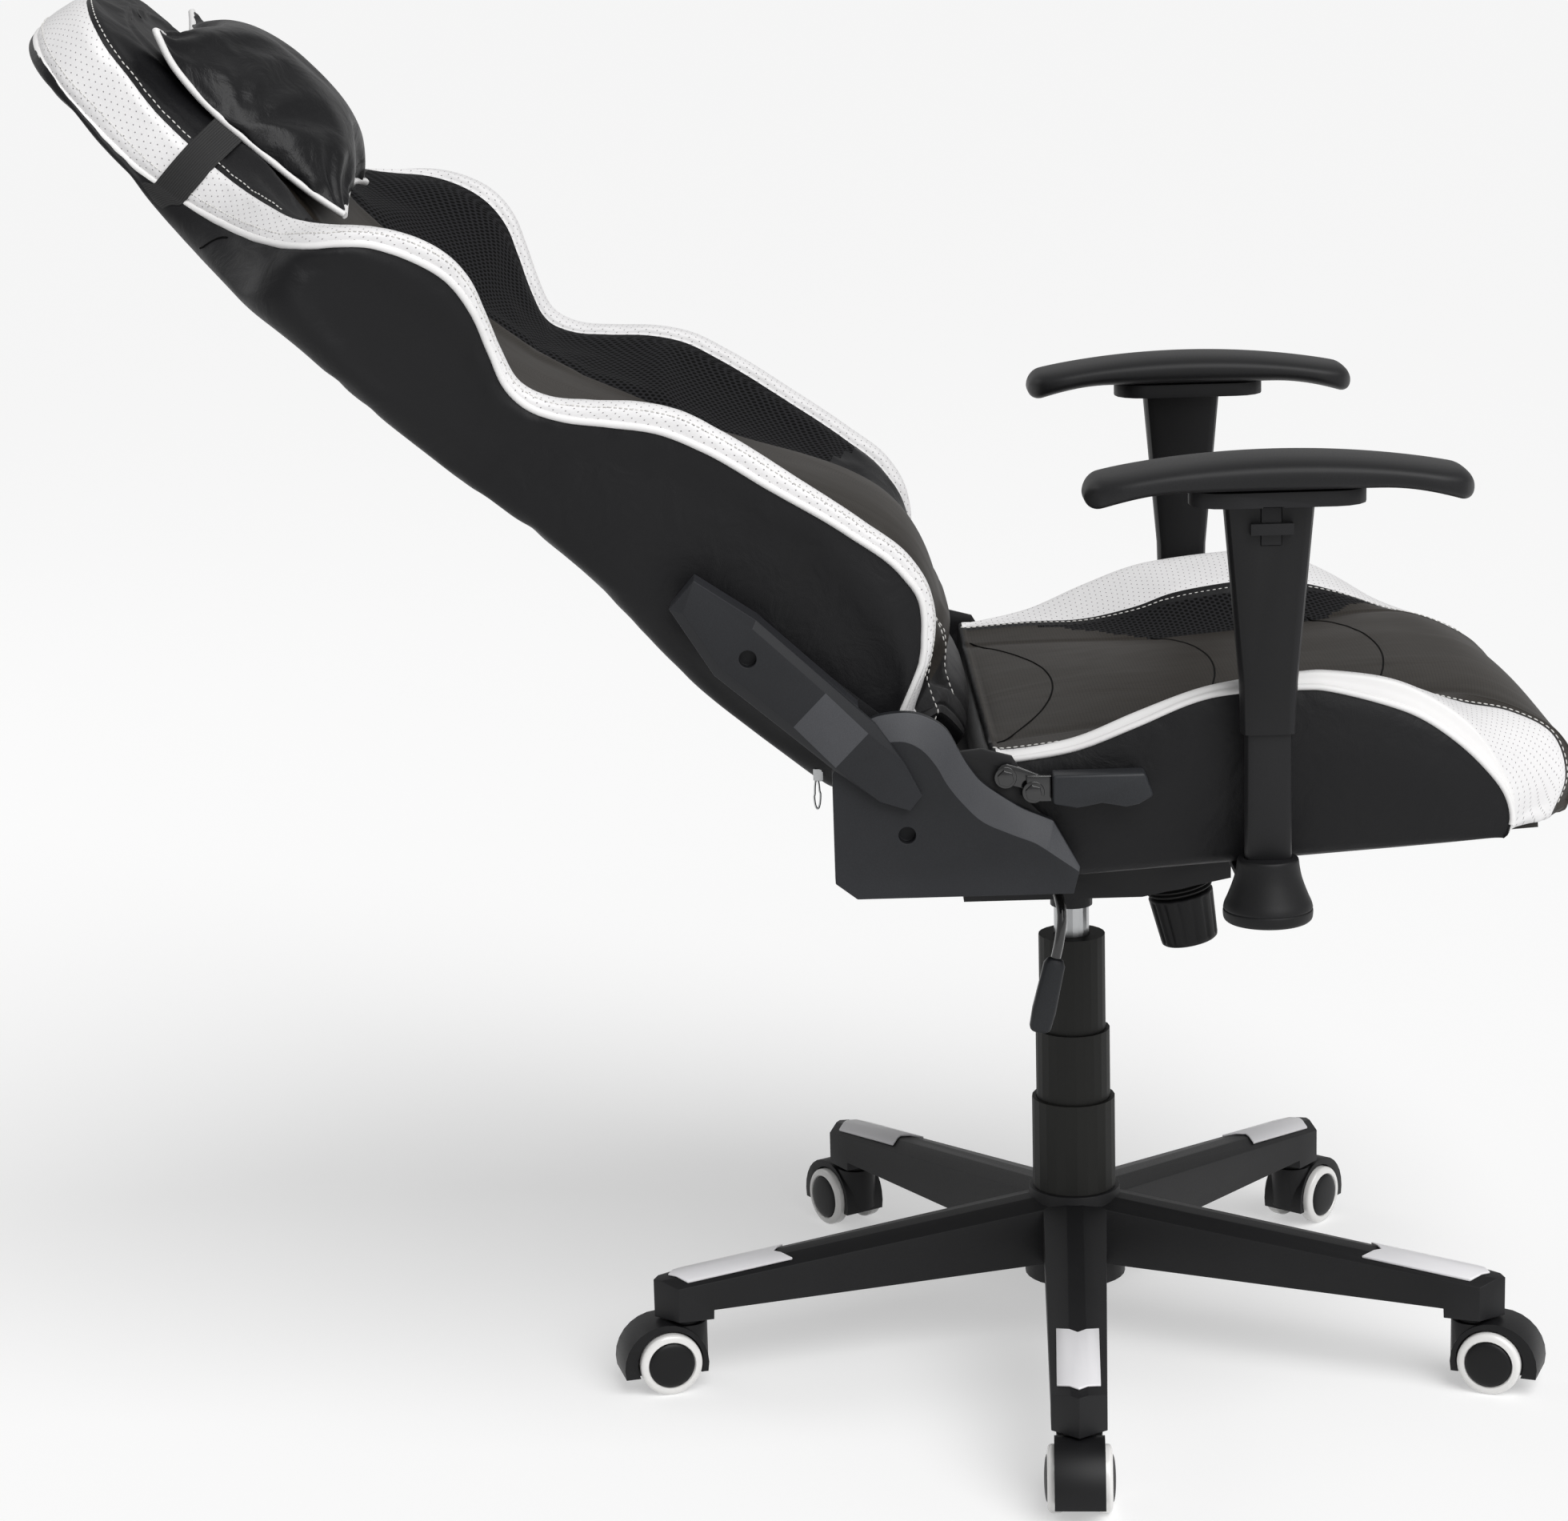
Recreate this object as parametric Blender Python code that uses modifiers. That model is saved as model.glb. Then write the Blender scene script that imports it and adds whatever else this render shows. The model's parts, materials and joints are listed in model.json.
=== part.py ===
# Reclining gaming chair on a five-star base, one object for each separate piece.
# Metres, +Z up. The floor is z = 0 and the gas column stands on the Z axis. The chair faces -Y, so the
# sitter's right hand is at -X. The seat is raised, and the backrest is let down to 47 degrees.

from math import cos, pi, radians, sin, sqrt, tan

import bmesh
import bpy
from mathutils import Euler, Matrix, Vector

# Fits
gap = 0.0003  # between pieces that touch
running_gap = 0.0005  # between a moving piece and what guides it

# Casters
wheel_radius = 0.0250
wheel_sides = 24
axle_height = wheel_radius * cos(pi / wheel_sides)  # one flat of the tread lies on the floor
wheel_inner_face = 0.0128
wheel_width = 0.0110
wheel_outer_face = wheel_inner_face + wheel_width
wheel_dome = 0.0024
wheel_edge = 0.0012
wheel_hub_wall = 0.0040  # outside the end of the axle
tread_rim = 0.0070  # from the hub cap's edge to the tread
axle_radius = 0.0030
caster_trail = 0.0170
web_half_width = wheel_inner_face - 0.0006
wheel_pocket_radius = wheel_radius + 0.0014
hood_wall = 0.0076
hood_radius = wheel_pocket_radius + hood_wall
hood_trail = caster_trail + 0.0030
hood_drop = 0.0022  # hood centre below the axle
hood_half_width = wheel_inner_face + 0.0057
hood_opening = 0.0100  # the hood ends this far below the axle
stem_housing_radius = 0.0170
stem_housing_top = axle_height + 0.0287
stem_housing_bottom = axle_height - 0.0068
neck_radius = 0.0130
stem_radius = 0.0055
leg_clearance = 0.0019  # over the hood

# Five-star base
leg_count = 5
first_leg_turn = radians(4.1)  # how far the leg at the sitter's right is turned backwards
leg_reach = 0.350
leg_point = 0.0155  # the pointed end stands this far past its corners
leg_end_half_width = 0.0203
leg_root_half_width = 0.0250
leg_end_bottom = axle_height - hood_drop + hood_radius + leg_clearance
leg_end_height = 0.0310
leg_end_top = leg_end_bottom + leg_end_height
leg_rise = 0.0345  # of the roof, from the leg's end to the hub
leg_root_top = leg_end_top + leg_rise
leg_root_bottom = leg_end_bottom + 0.0155
leg_roof_half_width = 0.0065  # the flat strip along the top
leg_roof_drop = 0.0050  # from the flat strip to the side
leg_end_block = 0.044  # length of the deep block over the caster socket
leg_block_step = 0.0075  # how much deeper that block is
stem_length = leg_end_height - 0.0090
caster_inset = 0.025  # from the leg's corners in to the caster stem
caster_circle = leg_reach - caster_inset

# Leg caps
cap_start = leg_reach - 0.110
cap_end = leg_reach - 0.012
cap_half_width = leg_end_half_width - 0.0043
cap_thickness = 0.0018
cap_notch = 0.012  # depth of the pointed ends

# Gas column
cylinder_radius = 0.0250
cylinder_length = 0.216
cylinder_floor = 0.006
hub_wall = 0.0112
hub_radius = cylinder_radius + gap + hub_wall
hub_flare = 0.004
hub_bottom = leg_end_bottom - 0.0025
hub_top = leg_root_top + 0.0060
cylinder_top = hub_bottom + cylinder_length
spindle_radius = 0.0140
spindle_inside = 0.122  # length of the spindle inside the cylinder
cover_walls = (0.0012, 0.0028, 0.0032)  # upper, middle, lower section
cover_play = 0.0004
lower_cover_length = 0.0747
middle_cover_length = 0.084
upper_cover_length = 0.108
lower_overlap = 0.027  # of the lower and the middle section
upper_overlap = 0.030  # of the middle and the upper section
upper_cover_lid = 0.0020
lower_cover_bottom = hub_top + gap
lower_cover_top = lower_cover_bottom + lower_cover_length
middle_cover_bottom = lower_cover_top - lower_overlap
middle_cover_top = middle_cover_bottom + middle_cover_length
upper_cover_bottom = middle_cover_top - upper_overlap
upper_cover_top = upper_cover_bottom + upper_cover_length
bare_spindle = 0.024  # seen between the covers and the mechanism

# Mechanism
boss_radius = spindle_radius + 0.0028
boss_height = 0.026
boss_bottom = upper_cover_top + bare_spindle
housing_bottom = boss_bottom + boss_height
spindle_grip = 0.028  # length of the spindle inside the housing
spindle_top = housing_bottom + spindle_grip
housing_half_width = 0.058
housing_front = -0.120
housing_back = 0.088
housing_front_top = housing_bottom + 0.044
housing_wall = 0.0040
boss_lid = 0.0030  # closes the spindle's bore inside the housing
housing_back_top = housing_bottom + 0.0185
tilt_axis_y = -0.040
tilt_axis_z = housing_bottom + 0.034
tilt_axle_radius = 0.0060
tilt_axle_wall = 0.0080  # of the housing above the axle
flange_gap = 0.0008
flange_thickness = 0.0040
flange_wall = 0.0060  # of the flange below the axle
knob_tilt = radians(11)
knob_inset = 0.037
knob_y = housing_front + knob_inset  # where the tension screw leaves the housing
knob_radius = 0.0262
knob_shoulder = 0.006  # the slanted face behind the knob
knob_taper = 0.0037
knob_edge = 0.0040
knob_length = 0.042
knob_flutes = 12
flute_depth = 0.0012
boot_length = 0.018
boot_folds = 4
boot_fold_depth = 0.0022

# Gas lever
lever_y = 0.0215
lever_z = housing_bottom + 0.019
lever_rod_radius = 0.0040
lever_rod_depth = 0.008  # inside the housing
lever_play = 0.0009  # round the rod where it rocks in the housing
lever_bends = ((0.054, 0, -0.001), (0.069, -0.005, -0.019), (0.073, -0.002, -0.039))  # out, back, up
paddle_grip = 0.0125  # length of the rod below its last bend
paddle_length = 0.060
paddle_width = 0.018
paddle_thickness = 0.011
paddle_corner = 0.0025
paddle_lean = radians(13)

# Seat
seat_slope = radians(3.4)  # the seat rises towards its front
seat_origin_z = tilt_axis_z + 0.028
seat_front_y = -0.372
seat_half_width = 0.262
seat_board_rim = 0.047  # padding beside the board
seat_front_rim = 0.045  # padding in front of the board
seat_board_thickness = 0.012
tilt_plate_thickness = 0.0040
tilt_plate_half_length = 0.094
tilt_plate_ledge = 0.030  # the plate reaches this far past its flanges

# Recline hinge
hinge_y = 0.142
hinge_height = 0.086  # above the seat's underside
hinge_z = seat_origin_z + hinge_height
recline = radians(47)
hinge_pin_radius = 0.0060
hinge_pin_wall = 0.0180  # of steel round the pin
steel_thickness = 0.0040
steel_play = 0.0015  # between the seat's and the backrest's side plates
lower_steel_x = seat_half_width + 0.0015  # inner face of the seat's side plate
upper_steel_x = lower_steel_x - steel_play - steel_thickness  # inner face of the backrest's side plate
hinge_foot_width = 0.1435
hinge_foot_front = hinge_y - 0.042
hinge_foot_rear = hinge_y + 0.008
lower_cover_thickness = 0.0160
upper_cover_thickness = 0.0130
hinge_head_radius = 0.0460  # round top of the lower cover
cover_rim = 0.0050  # the cover reaches this far past the steel
screw_radius = 0.0062
screw_depth = 0.0090
clear_radius = 0.0655  # round the hinge, the padding below seat level stays inside it
seat_rear_y = hinge_y + 0.024  # the low rear part of the seat lies under the backrest
seat_rear_gap = 0.0035  # between that part and the backrest's sweep

# Backrest
frame_tube_radius = 0.0100
frame_tube_x = 0.190
frame_tube_depth = 0.020
frame_cross_depth = 0.012
frame_plate_length = 0.190
padding_wall = 0.0020  # over the cross tube
back_foot = frame_tube_radius + padding_wall
back_lobe_rear = 0.0140
back_lobe_drop = 0.043  # the lumbar padding reaches this far below the hinge
back_half_width = seat_half_width - 0.012  # the backrest stands between the hinge plates
lumbar_height = 0.092
waist_rise = 0.288
shoulder_rise = 0.100
neck_rise = 0.120
head_rise = 0.212
waist_height = lumbar_height + waist_rise
shoulder_height = waist_height + shoulder_rise
neck_height = shoulder_height + neck_rise
head_height = neck_height + head_rise
lumbar_depth = 0.118
waist_depth = 0.028
shoulder_depth = 0.066
frame_tube_top = shoulder_height + 0.020

# Recline lever
grip_axis_y = hinge_y - 0.076
grip_axis_z = hinge_z - 0.002
lever_pin_radius = 0.0030
lever_eye_radius = 0.0075
lever_arm_half_height = 0.0060
lever_arm_length = 0.032
lever_arm_thickness = 0.0040
grip_length = 0.070
grip_height = 0.0230
grip_thickness = 0.020
grip_inset = 0.0012  # from the seat side to the grip
grip_wave = 0.0016

# Armrests
arm_x = seat_half_width + 0.024
arm_y = -0.119
arm_post_length = 0.033
arm_post_width = 0.0180
arm_post_corner = 0.0050
arm_post_height = 0.188  # above the seat's underside
arm_post_top = seat_origin_z + arm_post_height
sleeve_overlap = 0.075
sleeve_waist_rise = 0.0375
sleeve_rise = 0.091  # above the post
sleeve_bottom = arm_post_top - sleeve_overlap
sleeve_waist = sleeve_bottom + sleeve_waist_rise
sleeve_top = arm_post_top + sleeve_rise
sleeve_wall = 0.0024
sleeve_corner = 0.0070
sleeve_waist_length = arm_post_length + 0.0075
sleeve_top_length = arm_post_length + 0.030
sleeve_top_width = arm_post_width + 0.013
arm_plate_length = 0.124
arm_plate_width = 0.056
arm_plate_corner = 0.024
arm_plate_thickness = 0.010
arm_plate_top = sleeve_top + arm_plate_thickness
pad_length = 0.272
pad_width = 0.078
pad_thickness = 0.024
pad_corner = 0.010
pad_crown = 0.014  # the ends hang this far below the middle
pad_shift = -0.006  # the pad's middle lies this far in front of the post
cup_height = 0.047
cup_bottom = seat_origin_z - 0.0255
cup_top = cup_bottom + cup_height
cup_top_radius = 0.0192
cup_bottom_radius = 0.0325
arm_bar_thickness = 0.0055
arm_bar_width = 0.040
arm_bar_inner_x = housing_half_width + 0.042
arm_bar_end = 0.012  # the bar ends this far past the post's middle
trigger_width = 0.0140
trigger_height = 0.0265
trigger_top = sleeve_top - 0.0025
trigger_bottom = trigger_top - trigger_height
trigger_depth = 0.0060
trigger_lip_width = 0.030
trigger_lip_height = 0.0080
trigger_lip_reach = 0.0060
post_travel = 0.0500  # free height above the post inside the sleeve

# Head pillow
pillow_half_width = 0.116
pillow_bottom = neck_height - 0.044
pillow_height = 0.186
pillow_thickness = 0.055
pillow_edge = 0.022  # the pinched rim stands off the headrest
strap_bottom = neck_height + 0.052
strap_width = 0.026
strap_top = strap_bottom + strap_width
strap_thickness = 0.0014

side_plane = (pi / 2, 0, pi / 2)  # turns an outline drawn in (y, z) upright, facing along X
along_x = (0, pi / 2, 0)


# Tools


def clear_scene():
    for thing in list(bpy.data.objects):
        bpy.data.objects.remove(thing)


def material(name, color, roughness, metallic=0.0):
    made = bpy.data.materials.new(name)
    made.use_nodes = True
    shader = made.node_tree.nodes["Principled BSDF"]
    shader.inputs["Base Color"].default_value = (*color, 1)
    shader.inputs["Roughness"].default_value = roughness
    shader.inputs["Metallic"].default_value = metallic
    return made


def collection(name):
    made = bpy.data.collections.new(name)
    bpy.context.scene.collection.children.link(made)
    return made


def joint(name, parent=None, location=(0, 0, 0), rotation=(0, 0, 0)):
    """An empty on a joint's axis, which carries the pieces that move with it."""
    made = bpy.data.objects.new(name, None)
    chair.objects.link(made)
    made.parent = parent
    made.location = location
    made.rotation_euler = rotation
    return made


def place(name, data, finish, parent, location=(0, 0, 0), rotation=(0, 0, 0)):
    made = bpy.data.objects.new(name, data)
    if not data.materials:
        data.materials.append(finish)
    chair.objects.link(made)
    made.parent = parent
    made.location = location
    made.rotation_euler = rotation
    return made


def tool(target, operation, data, location=(0, 0, 0), rotation=(0, 0, 0)):
    """Cuts a shape from target, or joins it on. The shape's place is in target's own frame."""
    made = bpy.data.objects.new(target.name + "_tool", data)
    cutters.objects.link(made)
    made.parent = target
    made.location = location
    made.rotation_euler = rotation
    made.hide_render = True
    made.display_type = "WIRE"
    step = target.modifiers.new(operation.title(), "BOOLEAN")
    step.operation = operation
    step.solver = "EXACT"
    step.object = made
    return made


def to_mesh(name, shape):
    data = bpy.data.meshes.new(name)
    shape.to_mesh(data)
    shape.free()
    return data


def solid_of(guide, name, seam):
    """The finished mesh of a curve or of an object with modifiers, its seams closed and the guide removed."""
    bpy.context.view_layer.update()
    graph = bpy.context.evaluated_depsgraph_get()
    data = bpy.data.meshes.new_from_object(guide.evaluated_get(graph))
    shape = bmesh.new()
    shape.from_mesh(data)
    bpy.data.meshes.remove(data)
    for child in guide.children:
        bpy.data.objects.remove(child)
    bpy.data.objects.remove(guide)
    bmesh.ops.remove_doubles(shape, verts=shape.verts, dist=seam)
    bmesh.ops.recalc_face_normals(shape, faces=shape.faces)
    return to_mesh(name, shape)


def guide_object(name, data):
    guide = bpy.data.objects.new(name, data)
    bpy.context.scene.collection.objects.link(guide)
    return guide


def box(name, low, high):
    shape = bmesh.new()
    bmesh.ops.create_cube(shape, size=1)
    low, high = Vector(low), Vector(high)
    size = high - low
    bmesh.ops.scale(shape, vec=size, verts=shape.verts)
    bmesh.ops.translate(shape, vec=(low + high) / 2, verts=shape.verts)
    return to_mesh(name, shape)


def rod(name, radius, low, high, sides=20, end_radius=None):
    """A cylinder or cone along Z from low to high."""
    shape = bmesh.new()
    top = radius if end_radius is None else end_radius
    bmesh.ops.create_cone(
        shape, cap_ends=True, segments=sides, radius1=radius, radius2=top, depth=high - low
    )
    bmesh.ops.translate(shape, vec=(0, 0, (low + high) / 2), verts=shape.verts)
    return to_mesh(name, shape)


def outline(name, points, low, high):
    """A flat outline in the XY plane, from z = low to z = high."""
    curve = bpy.data.curves.new(name, "CURVE")
    curve.dimensions = "2D"
    curve.fill_mode = "BOTH"
    curve.extrude = (high - low) / 2
    line = curve.splines.new("POLY")
    line.points.add(len(points) - 1)
    line.use_cyclic_u = True
    for point, (x, y) in zip(line.points, points):
        point.co = (x, y, 0, 1)
    data = solid_of(guide_object(name, curve), name, 1e-5)
    data.transform(Matrix.Translation((0, 0, (low + high) / 2)))
    return data


def turned(name, profile, steps=24, hollow=False):
    """A profile of (radius, z) turned about Z. It runs down the outside, top to bottom."""
    data = bpy.data.meshes.new(name)
    edges = [(i, i + 1) for i in range(len(profile) - 1)]
    if hollow:
        edges.append((len(profile) - 1, 0))
    data.from_pydata([(r, 0, z) for r, z in profile], edges, [])
    guide = guide_object(name, data)
    spin = guide.modifiers.new("Turn", "SCREW")
    spin.steps = steps
    spin.render_steps = steps
    spin.use_merge_vertices = True
    spin.merge_threshold = 1e-5
    return solid_of(guide, name, 1e-6)


def loft(name, rings, ring_shaped=False):
    """Closed rings of equal length, joined in order. The ends are capped, or joined to each other."""
    shape = bmesh.new()
    rows = [[shape.verts.new(point) for point in ring] for ring in rings]
    count = len(rings[0])
    for near, far in zip(rows, rows[1:] + rows[:1] * ring_shaped):
        for i in range(count):
            j = (i + 1) % count
            shape.faces.new((near[i], near[j], far[j], far[i]))
    if not ring_shaped:
        shape.faces.new(list(reversed(rows[0])))
        shape.faces.new(rows[-1])
    bmesh.ops.recalc_face_normals(shape, faces=shape.faces)
    return to_mesh(name, shape)


def tube(name, points, radius):
    """A round rod along a smooth curve through a few points."""
    curve = bpy.data.curves.new(name, "CURVE")
    curve.dimensions = "3D"
    curve.bevel_depth = radius
    curve.bevel_resolution = 2
    curve.use_fill_caps = True
    line = curve.splines.new("POLY")
    line.points.add(len(points) - 1)
    for point, place_at in zip(line.points, points):
        point.co = (*place_at, 1)
    return solid_of(guide_object(name, curve), name, 1e-5)


def arc(center, radius, start, end, steps):
    """Points of an arc in degrees, ends included."""
    angles = [radians(start + (end - start) * i / steps) for i in range(steps + 1)]
    return [(center[0] + radius * cos(a), center[1] + radius * sin(a)) for a in angles]


def between(table, at):
    """Reads a table of (position, value) pairs at a position, in straight steps."""
    if at <= table[0][0]:
        return table[0][1]
    for (a, va), (b, vb) in zip(table, table[1:]):
        if at <= b:
            return va + (vb - va) * (at - a) / (b - a)
    return table[-1][1]


def rounded(half_x, half_y, corner, steps=3):
    """A rectangle with round corners, centred on the origin."""
    points = []
    for start, sx, sy in ((0, 1, 1), (90, -1, 1), (180, -1, -1), (270, 1, -1)):
        middle = (sx * (half_x - corner), sy * (half_y - corner))
        points += arc(middle, corner, start, start + 90, steps)
    return points


# Five-star base


def along_leg(root, end, reach):
    return root + (end - root) * (reach - hub_radius) / (leg_reach - hub_radius)


def roof(reach, across):
    """Height of a leg's roof at a distance from the column and from the leg's middle."""
    top = along_leg(leg_root_top, leg_end_top, reach)
    side = along_leg(leg_root_half_width, leg_end_half_width, reach)
    slope = leg_roof_drop / (side - leg_roof_half_width)
    return top - slope * max(0, abs(across) - leg_roof_half_width)


def leg_solid():
    """One leg along +X, with the deep block over the caster's stem and a pointed end."""
    block = leg_reach - leg_end_block
    shallow = leg_end_bottom + leg_block_step
    stations = ((0.3 * hub_radius, leg_root_bottom), (block, shallow))
    stations += ((block + gap, leg_end_bottom), (leg_reach + leg_point, leg_end_bottom))
    rings = []
    for reach, bottom in stations:
        side = along_leg(leg_root_half_width, leg_end_half_width, reach)
        flat = leg_roof_half_width
        ring = [(-side, bottom), (side, bottom), (side, roof(reach, side)), (flat, roof(reach, flat))]
        ring += [(-flat, roof(reach, flat)), (-side, roof(reach, side))]
        rings.append([(reach, across, z) for across, z in ring])
    data = loft("leg", rings)
    shape = bmesh.new()
    shape.from_mesh(data)
    for side in (-1, 1):
        normal = Vector((leg_end_half_width, side * leg_point, 0))
        everything = shape.verts[:] + shape.edges[:] + shape.faces[:]
        cut = bmesh.ops.bisect_plane(
            shape, geom=everything, plane_co=(leg_reach, 0, 0), plane_no=normal, clear_outer=True
        )
        rim = [part for part in cut["geom_cut"] if isinstance(part, bmesh.types.BMEdge)]
        bmesh.ops.contextual_create(shape, geom=rim)
    bmesh.ops.recalc_face_normals(shape, faces=shape.faces)
    bpy.data.meshes.remove(data)
    return to_mesh("leg", shape)


def build_base(root, legs):
    bore = cylinder_radius + gap
    hub = ((0, hub_top), (hub_radius, hub_top), (hub_radius + hub_flare, hub_bottom), (0, hub_bottom))
    base = place("five_star_base", turned("hub", hub, 30), black_nylon, root)
    leg = leg_solid()
    stem_end = leg_end_bottom + stem_length + 2 * running_gap
    stem_bore = rod("stem_bore", stem_radius + running_gap, 0, stem_end, 16)
    for leg_frame in legs:
        tool(base, "UNION", leg, rotation=leg_frame.rotation_euler)
    tool(base, "DIFFERENCE", rod("column_bore", bore, 0, 2 * hub_top, 30))
    for leg_frame in legs:
        angle = leg_frame.rotation_euler.z
        at = (caster_circle * cos(angle), caster_circle * sin(angle), 0)
        tool(base, "DIFFERENCE", stem_bore, at)


def build_leg_cap(number, leg_frame):
    """A thin cap that follows the leg's roof, with an arrow-shaped edge at each end."""
    rings = []
    for across in (-cap_half_width, -leg_roof_half_width, 0, leg_roof_half_width, cap_half_width):
        shift = cap_notch * (1 - abs(across) / cap_half_width)
        start = cap_start + shift
        end = cap_end - cap_notch + shift
        ring = [(start, roof(start, across) + gap), (end, roof(end, across) + gap)]
        ring += [(x, z + cap_thickness) for x, z in reversed(ring)]
        rings.append([(x, across, z) for x, z in ring])
    place(f"leg_cap_{number}", loft("leg_cap", rings), white_plastic, leg_frame)


# Casters


def caster_housing_mesh():
    """Stem, round housing and hood in one, with a pocket for each wheel and the fixed axle."""
    hood_height = axle_height - hood_drop
    sideways = (pi / 2, 0, 0)
    profile = (
        (0, leg_end_bottom + stem_length),
        (stem_radius, leg_end_bottom + stem_length),
        (stem_radius, leg_end_bottom - gap),
        (neck_radius, leg_end_bottom - gap),
        (neck_radius, stem_housing_top),
        (stem_housing_radius, stem_housing_top),
        (stem_housing_radius, stem_housing_bottom),
        (0, stem_housing_bottom),
    )
    body = place("caster_housing", turned("caster_housing", profile, 20), black_nylon, None)
    hood = rod("hood", hood_radius, -hood_half_width, hood_half_width, 28)
    tool(body, "UNION", hood, (hood_trail, 0, hood_height), sideways)
    for side in (-1, 1):
        low, high = sorted((side * web_half_width, side * 2 * hood_half_width))
        pocket = rod("wheel_pocket", wheel_pocket_radius, low, high, 28)
        tool(body, "DIFFERENCE", pocket, (caster_trail, 0, axle_height), sideways)
    reach = 3 * hood_radius
    floor_cut = box("floor_cut", (-reach, -reach, -reach), (reach, reach, axle_height - hood_opening))
    tool(body, "DIFFERENCE", floor_cut)
    axle_end = wheel_outer_face - wheel_hub_wall - running_gap
    axle = rod("axle", axle_radius, -axle_end, axle_end, 12)
    tool(body, "UNION", axle, (caster_trail, 0, axle_height), sideways)
    return solid_of(body, "caster_housing", 1e-6)


def wheel_mesh():
    """Twin-caster wheel with its domed hub cap outwards along +Z, and a blind bore for the axle."""
    bore = axle_radius + running_gap
    floor_of_bore = wheel_outer_face - wheel_hub_wall
    profile = (
        (0, wheel_outer_face + wheel_dome),
        (wheel_radius - tread_rim, wheel_outer_face),
        (wheel_radius - wheel_edge, wheel_outer_face),
        (wheel_radius, wheel_outer_face - wheel_edge),
        (wheel_radius, wheel_inner_face),
        (bore, wheel_inner_face),
        (bore, floor_of_bore),
        (0, floor_of_bore),
    )
    data = turned("caster_wheel", profile, wheel_sides)
    data.transform(Matrix.Rotation(pi / wheel_sides, 4, "Z"))
    return data


def build_caster(number, leg_frame, housing, wheel):
    swivel = joint(f"caster_swivel_{number}", leg_frame, (caster_circle, 0, 0))
    place(f"caster_housing_{number}", housing, black_nylon, swivel)
    axle = joint(f"caster_axle_{number}", swivel, (caster_trail, 0, axle_height))
    for side, turn in (("a", -pi / 2), ("b", pi / 2)):
        place(f"caster_wheel_{number}{side}", wheel, white_plastic, axle, rotation=(turn, 0, 0))


# Gas column


def cover_radii():
    """Inner and outer radius of each cover section, from the gas cylinder outwards."""
    radii = []
    inner = cylinder_radius + gap
    for wall in cover_walls:
        radii.append((inner, inner + wall))
        inner += wall + cover_play
    return radii


def build_column(root, upper_slide, middle_slide, lift):
    upper, middle, lower = cover_radii()
    bore = spindle_radius + running_gap
    floor_z = hub_bottom + cylinder_floor
    cylinder = ((0, floor_z), (bore, floor_z), (bore, cylinder_top), (cylinder_radius, cylinder_top))
    cylinder += ((cylinder_radius, hub_bottom), (0, hub_bottom))
    place("gas_cylinder", turned("gas_cylinder", cylinder), dark_steel, root)
    spindle = rod("gas_spindle", spindle_radius, cylinder_top - spindle_inside, spindle_top)
    place("gas_spindle", spindle, bright_steel, lift)
    lid = upper_cover_top - upper_cover_lid
    profile = ((upper[1], upper_cover_top), (upper[1], upper_cover_bottom), (upper[0], upper_cover_bottom))
    profile += ((upper[0], lid), (bore, lid), (bore, upper_cover_top))
    cover = turned("column_cover_upper", profile, hollow=True)
    place("column_cover_upper", cover, black_plastic, upper_slide)
    sections = (
        ("column_cover_middle", middle, middle_cover_bottom, middle_cover_top, middle_slide),
        ("column_cover_lower", lower, lower_cover_bottom, lower_cover_top, root),
    )
    for name, (inner, outer), low, high, parent in sections:
        profile = ((outer, high), (outer, low), (inner, low), (inner, high))
        place(name, turned(name, profile, hollow=True), black_plastic, parent)


# Tilt mechanism


def build_mechanism(swivel):
    """Wedge-shaped housing under the seat, so that the tilt plate can rock back over it."""
    shoulder = knob_y + knob_radius + knob_shoulder
    floor_z = housing_bottom - tan(knob_tilt) * (shoulder - knob_y)
    points = (
        (housing_front, housing_bottom + tan(knob_tilt) * (knob_y - housing_front)),
        (shoulder, floor_z),
        (housing_back, floor_z),
        (housing_back, housing_back_top),
        (tilt_axis_y, tilt_axis_z + tilt_axle_radius + tilt_axle_wall),
        (housing_front, housing_front_top),
    )
    plate = outline("tilt_housing", points, -housing_half_width, housing_half_width)
    housing = place("tilt_housing", plate, black_steel, swivel, rotation=side_plane)
    front, back = housing_front + housing_wall, housing_back - housing_wall
    open_top = housing_front_top + 2 * housing_wall
    hollow = (
        (front, points[0][1] + housing_wall),
        (shoulder, floor_z + housing_wall),
        (back, floor_z + housing_wall),
        (back, open_top),
        (front, open_top),
    )
    inside = housing_half_width - housing_wall
    tool(housing, "DIFFERENCE", outline("housing_hollow", hollow, -inside, inside))
    upright = (0, -pi / 2, -pi / 2)  # undoes side_plane, for shapes that stand along Z
    bore = spindle_radius + running_gap
    bore_top = spindle_top + 2 * running_gap
    boss = rod("boss", boss_radius, boss_bottom, bore_top + boss_lid)
    tool(housing, "UNION", boss, rotation=upright)
    bore_solid = rod("spindle_bore", bore, upper_cover_top, bore_top)
    tool(housing, "DIFFERENCE", bore_solid, rotation=upright)
    axle_end = housing_half_width + flange_gap + flange_thickness
    axle = rod("tilt_axle", tilt_axle_radius, -axle_end, axle_end, 16)
    tool(housing, "UNION", axle, (tilt_axis_y, tilt_axis_z, 0))
    slot_end = -housing_half_width + lever_rod_depth + lever_play
    slot = rod("lever_slot", lever_rod_radius + lever_play, -2 * housing_half_width, slot_end, 16)
    tool(housing, "DIFFERENCE", slot, (lever_y, lever_z, 0))


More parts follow.
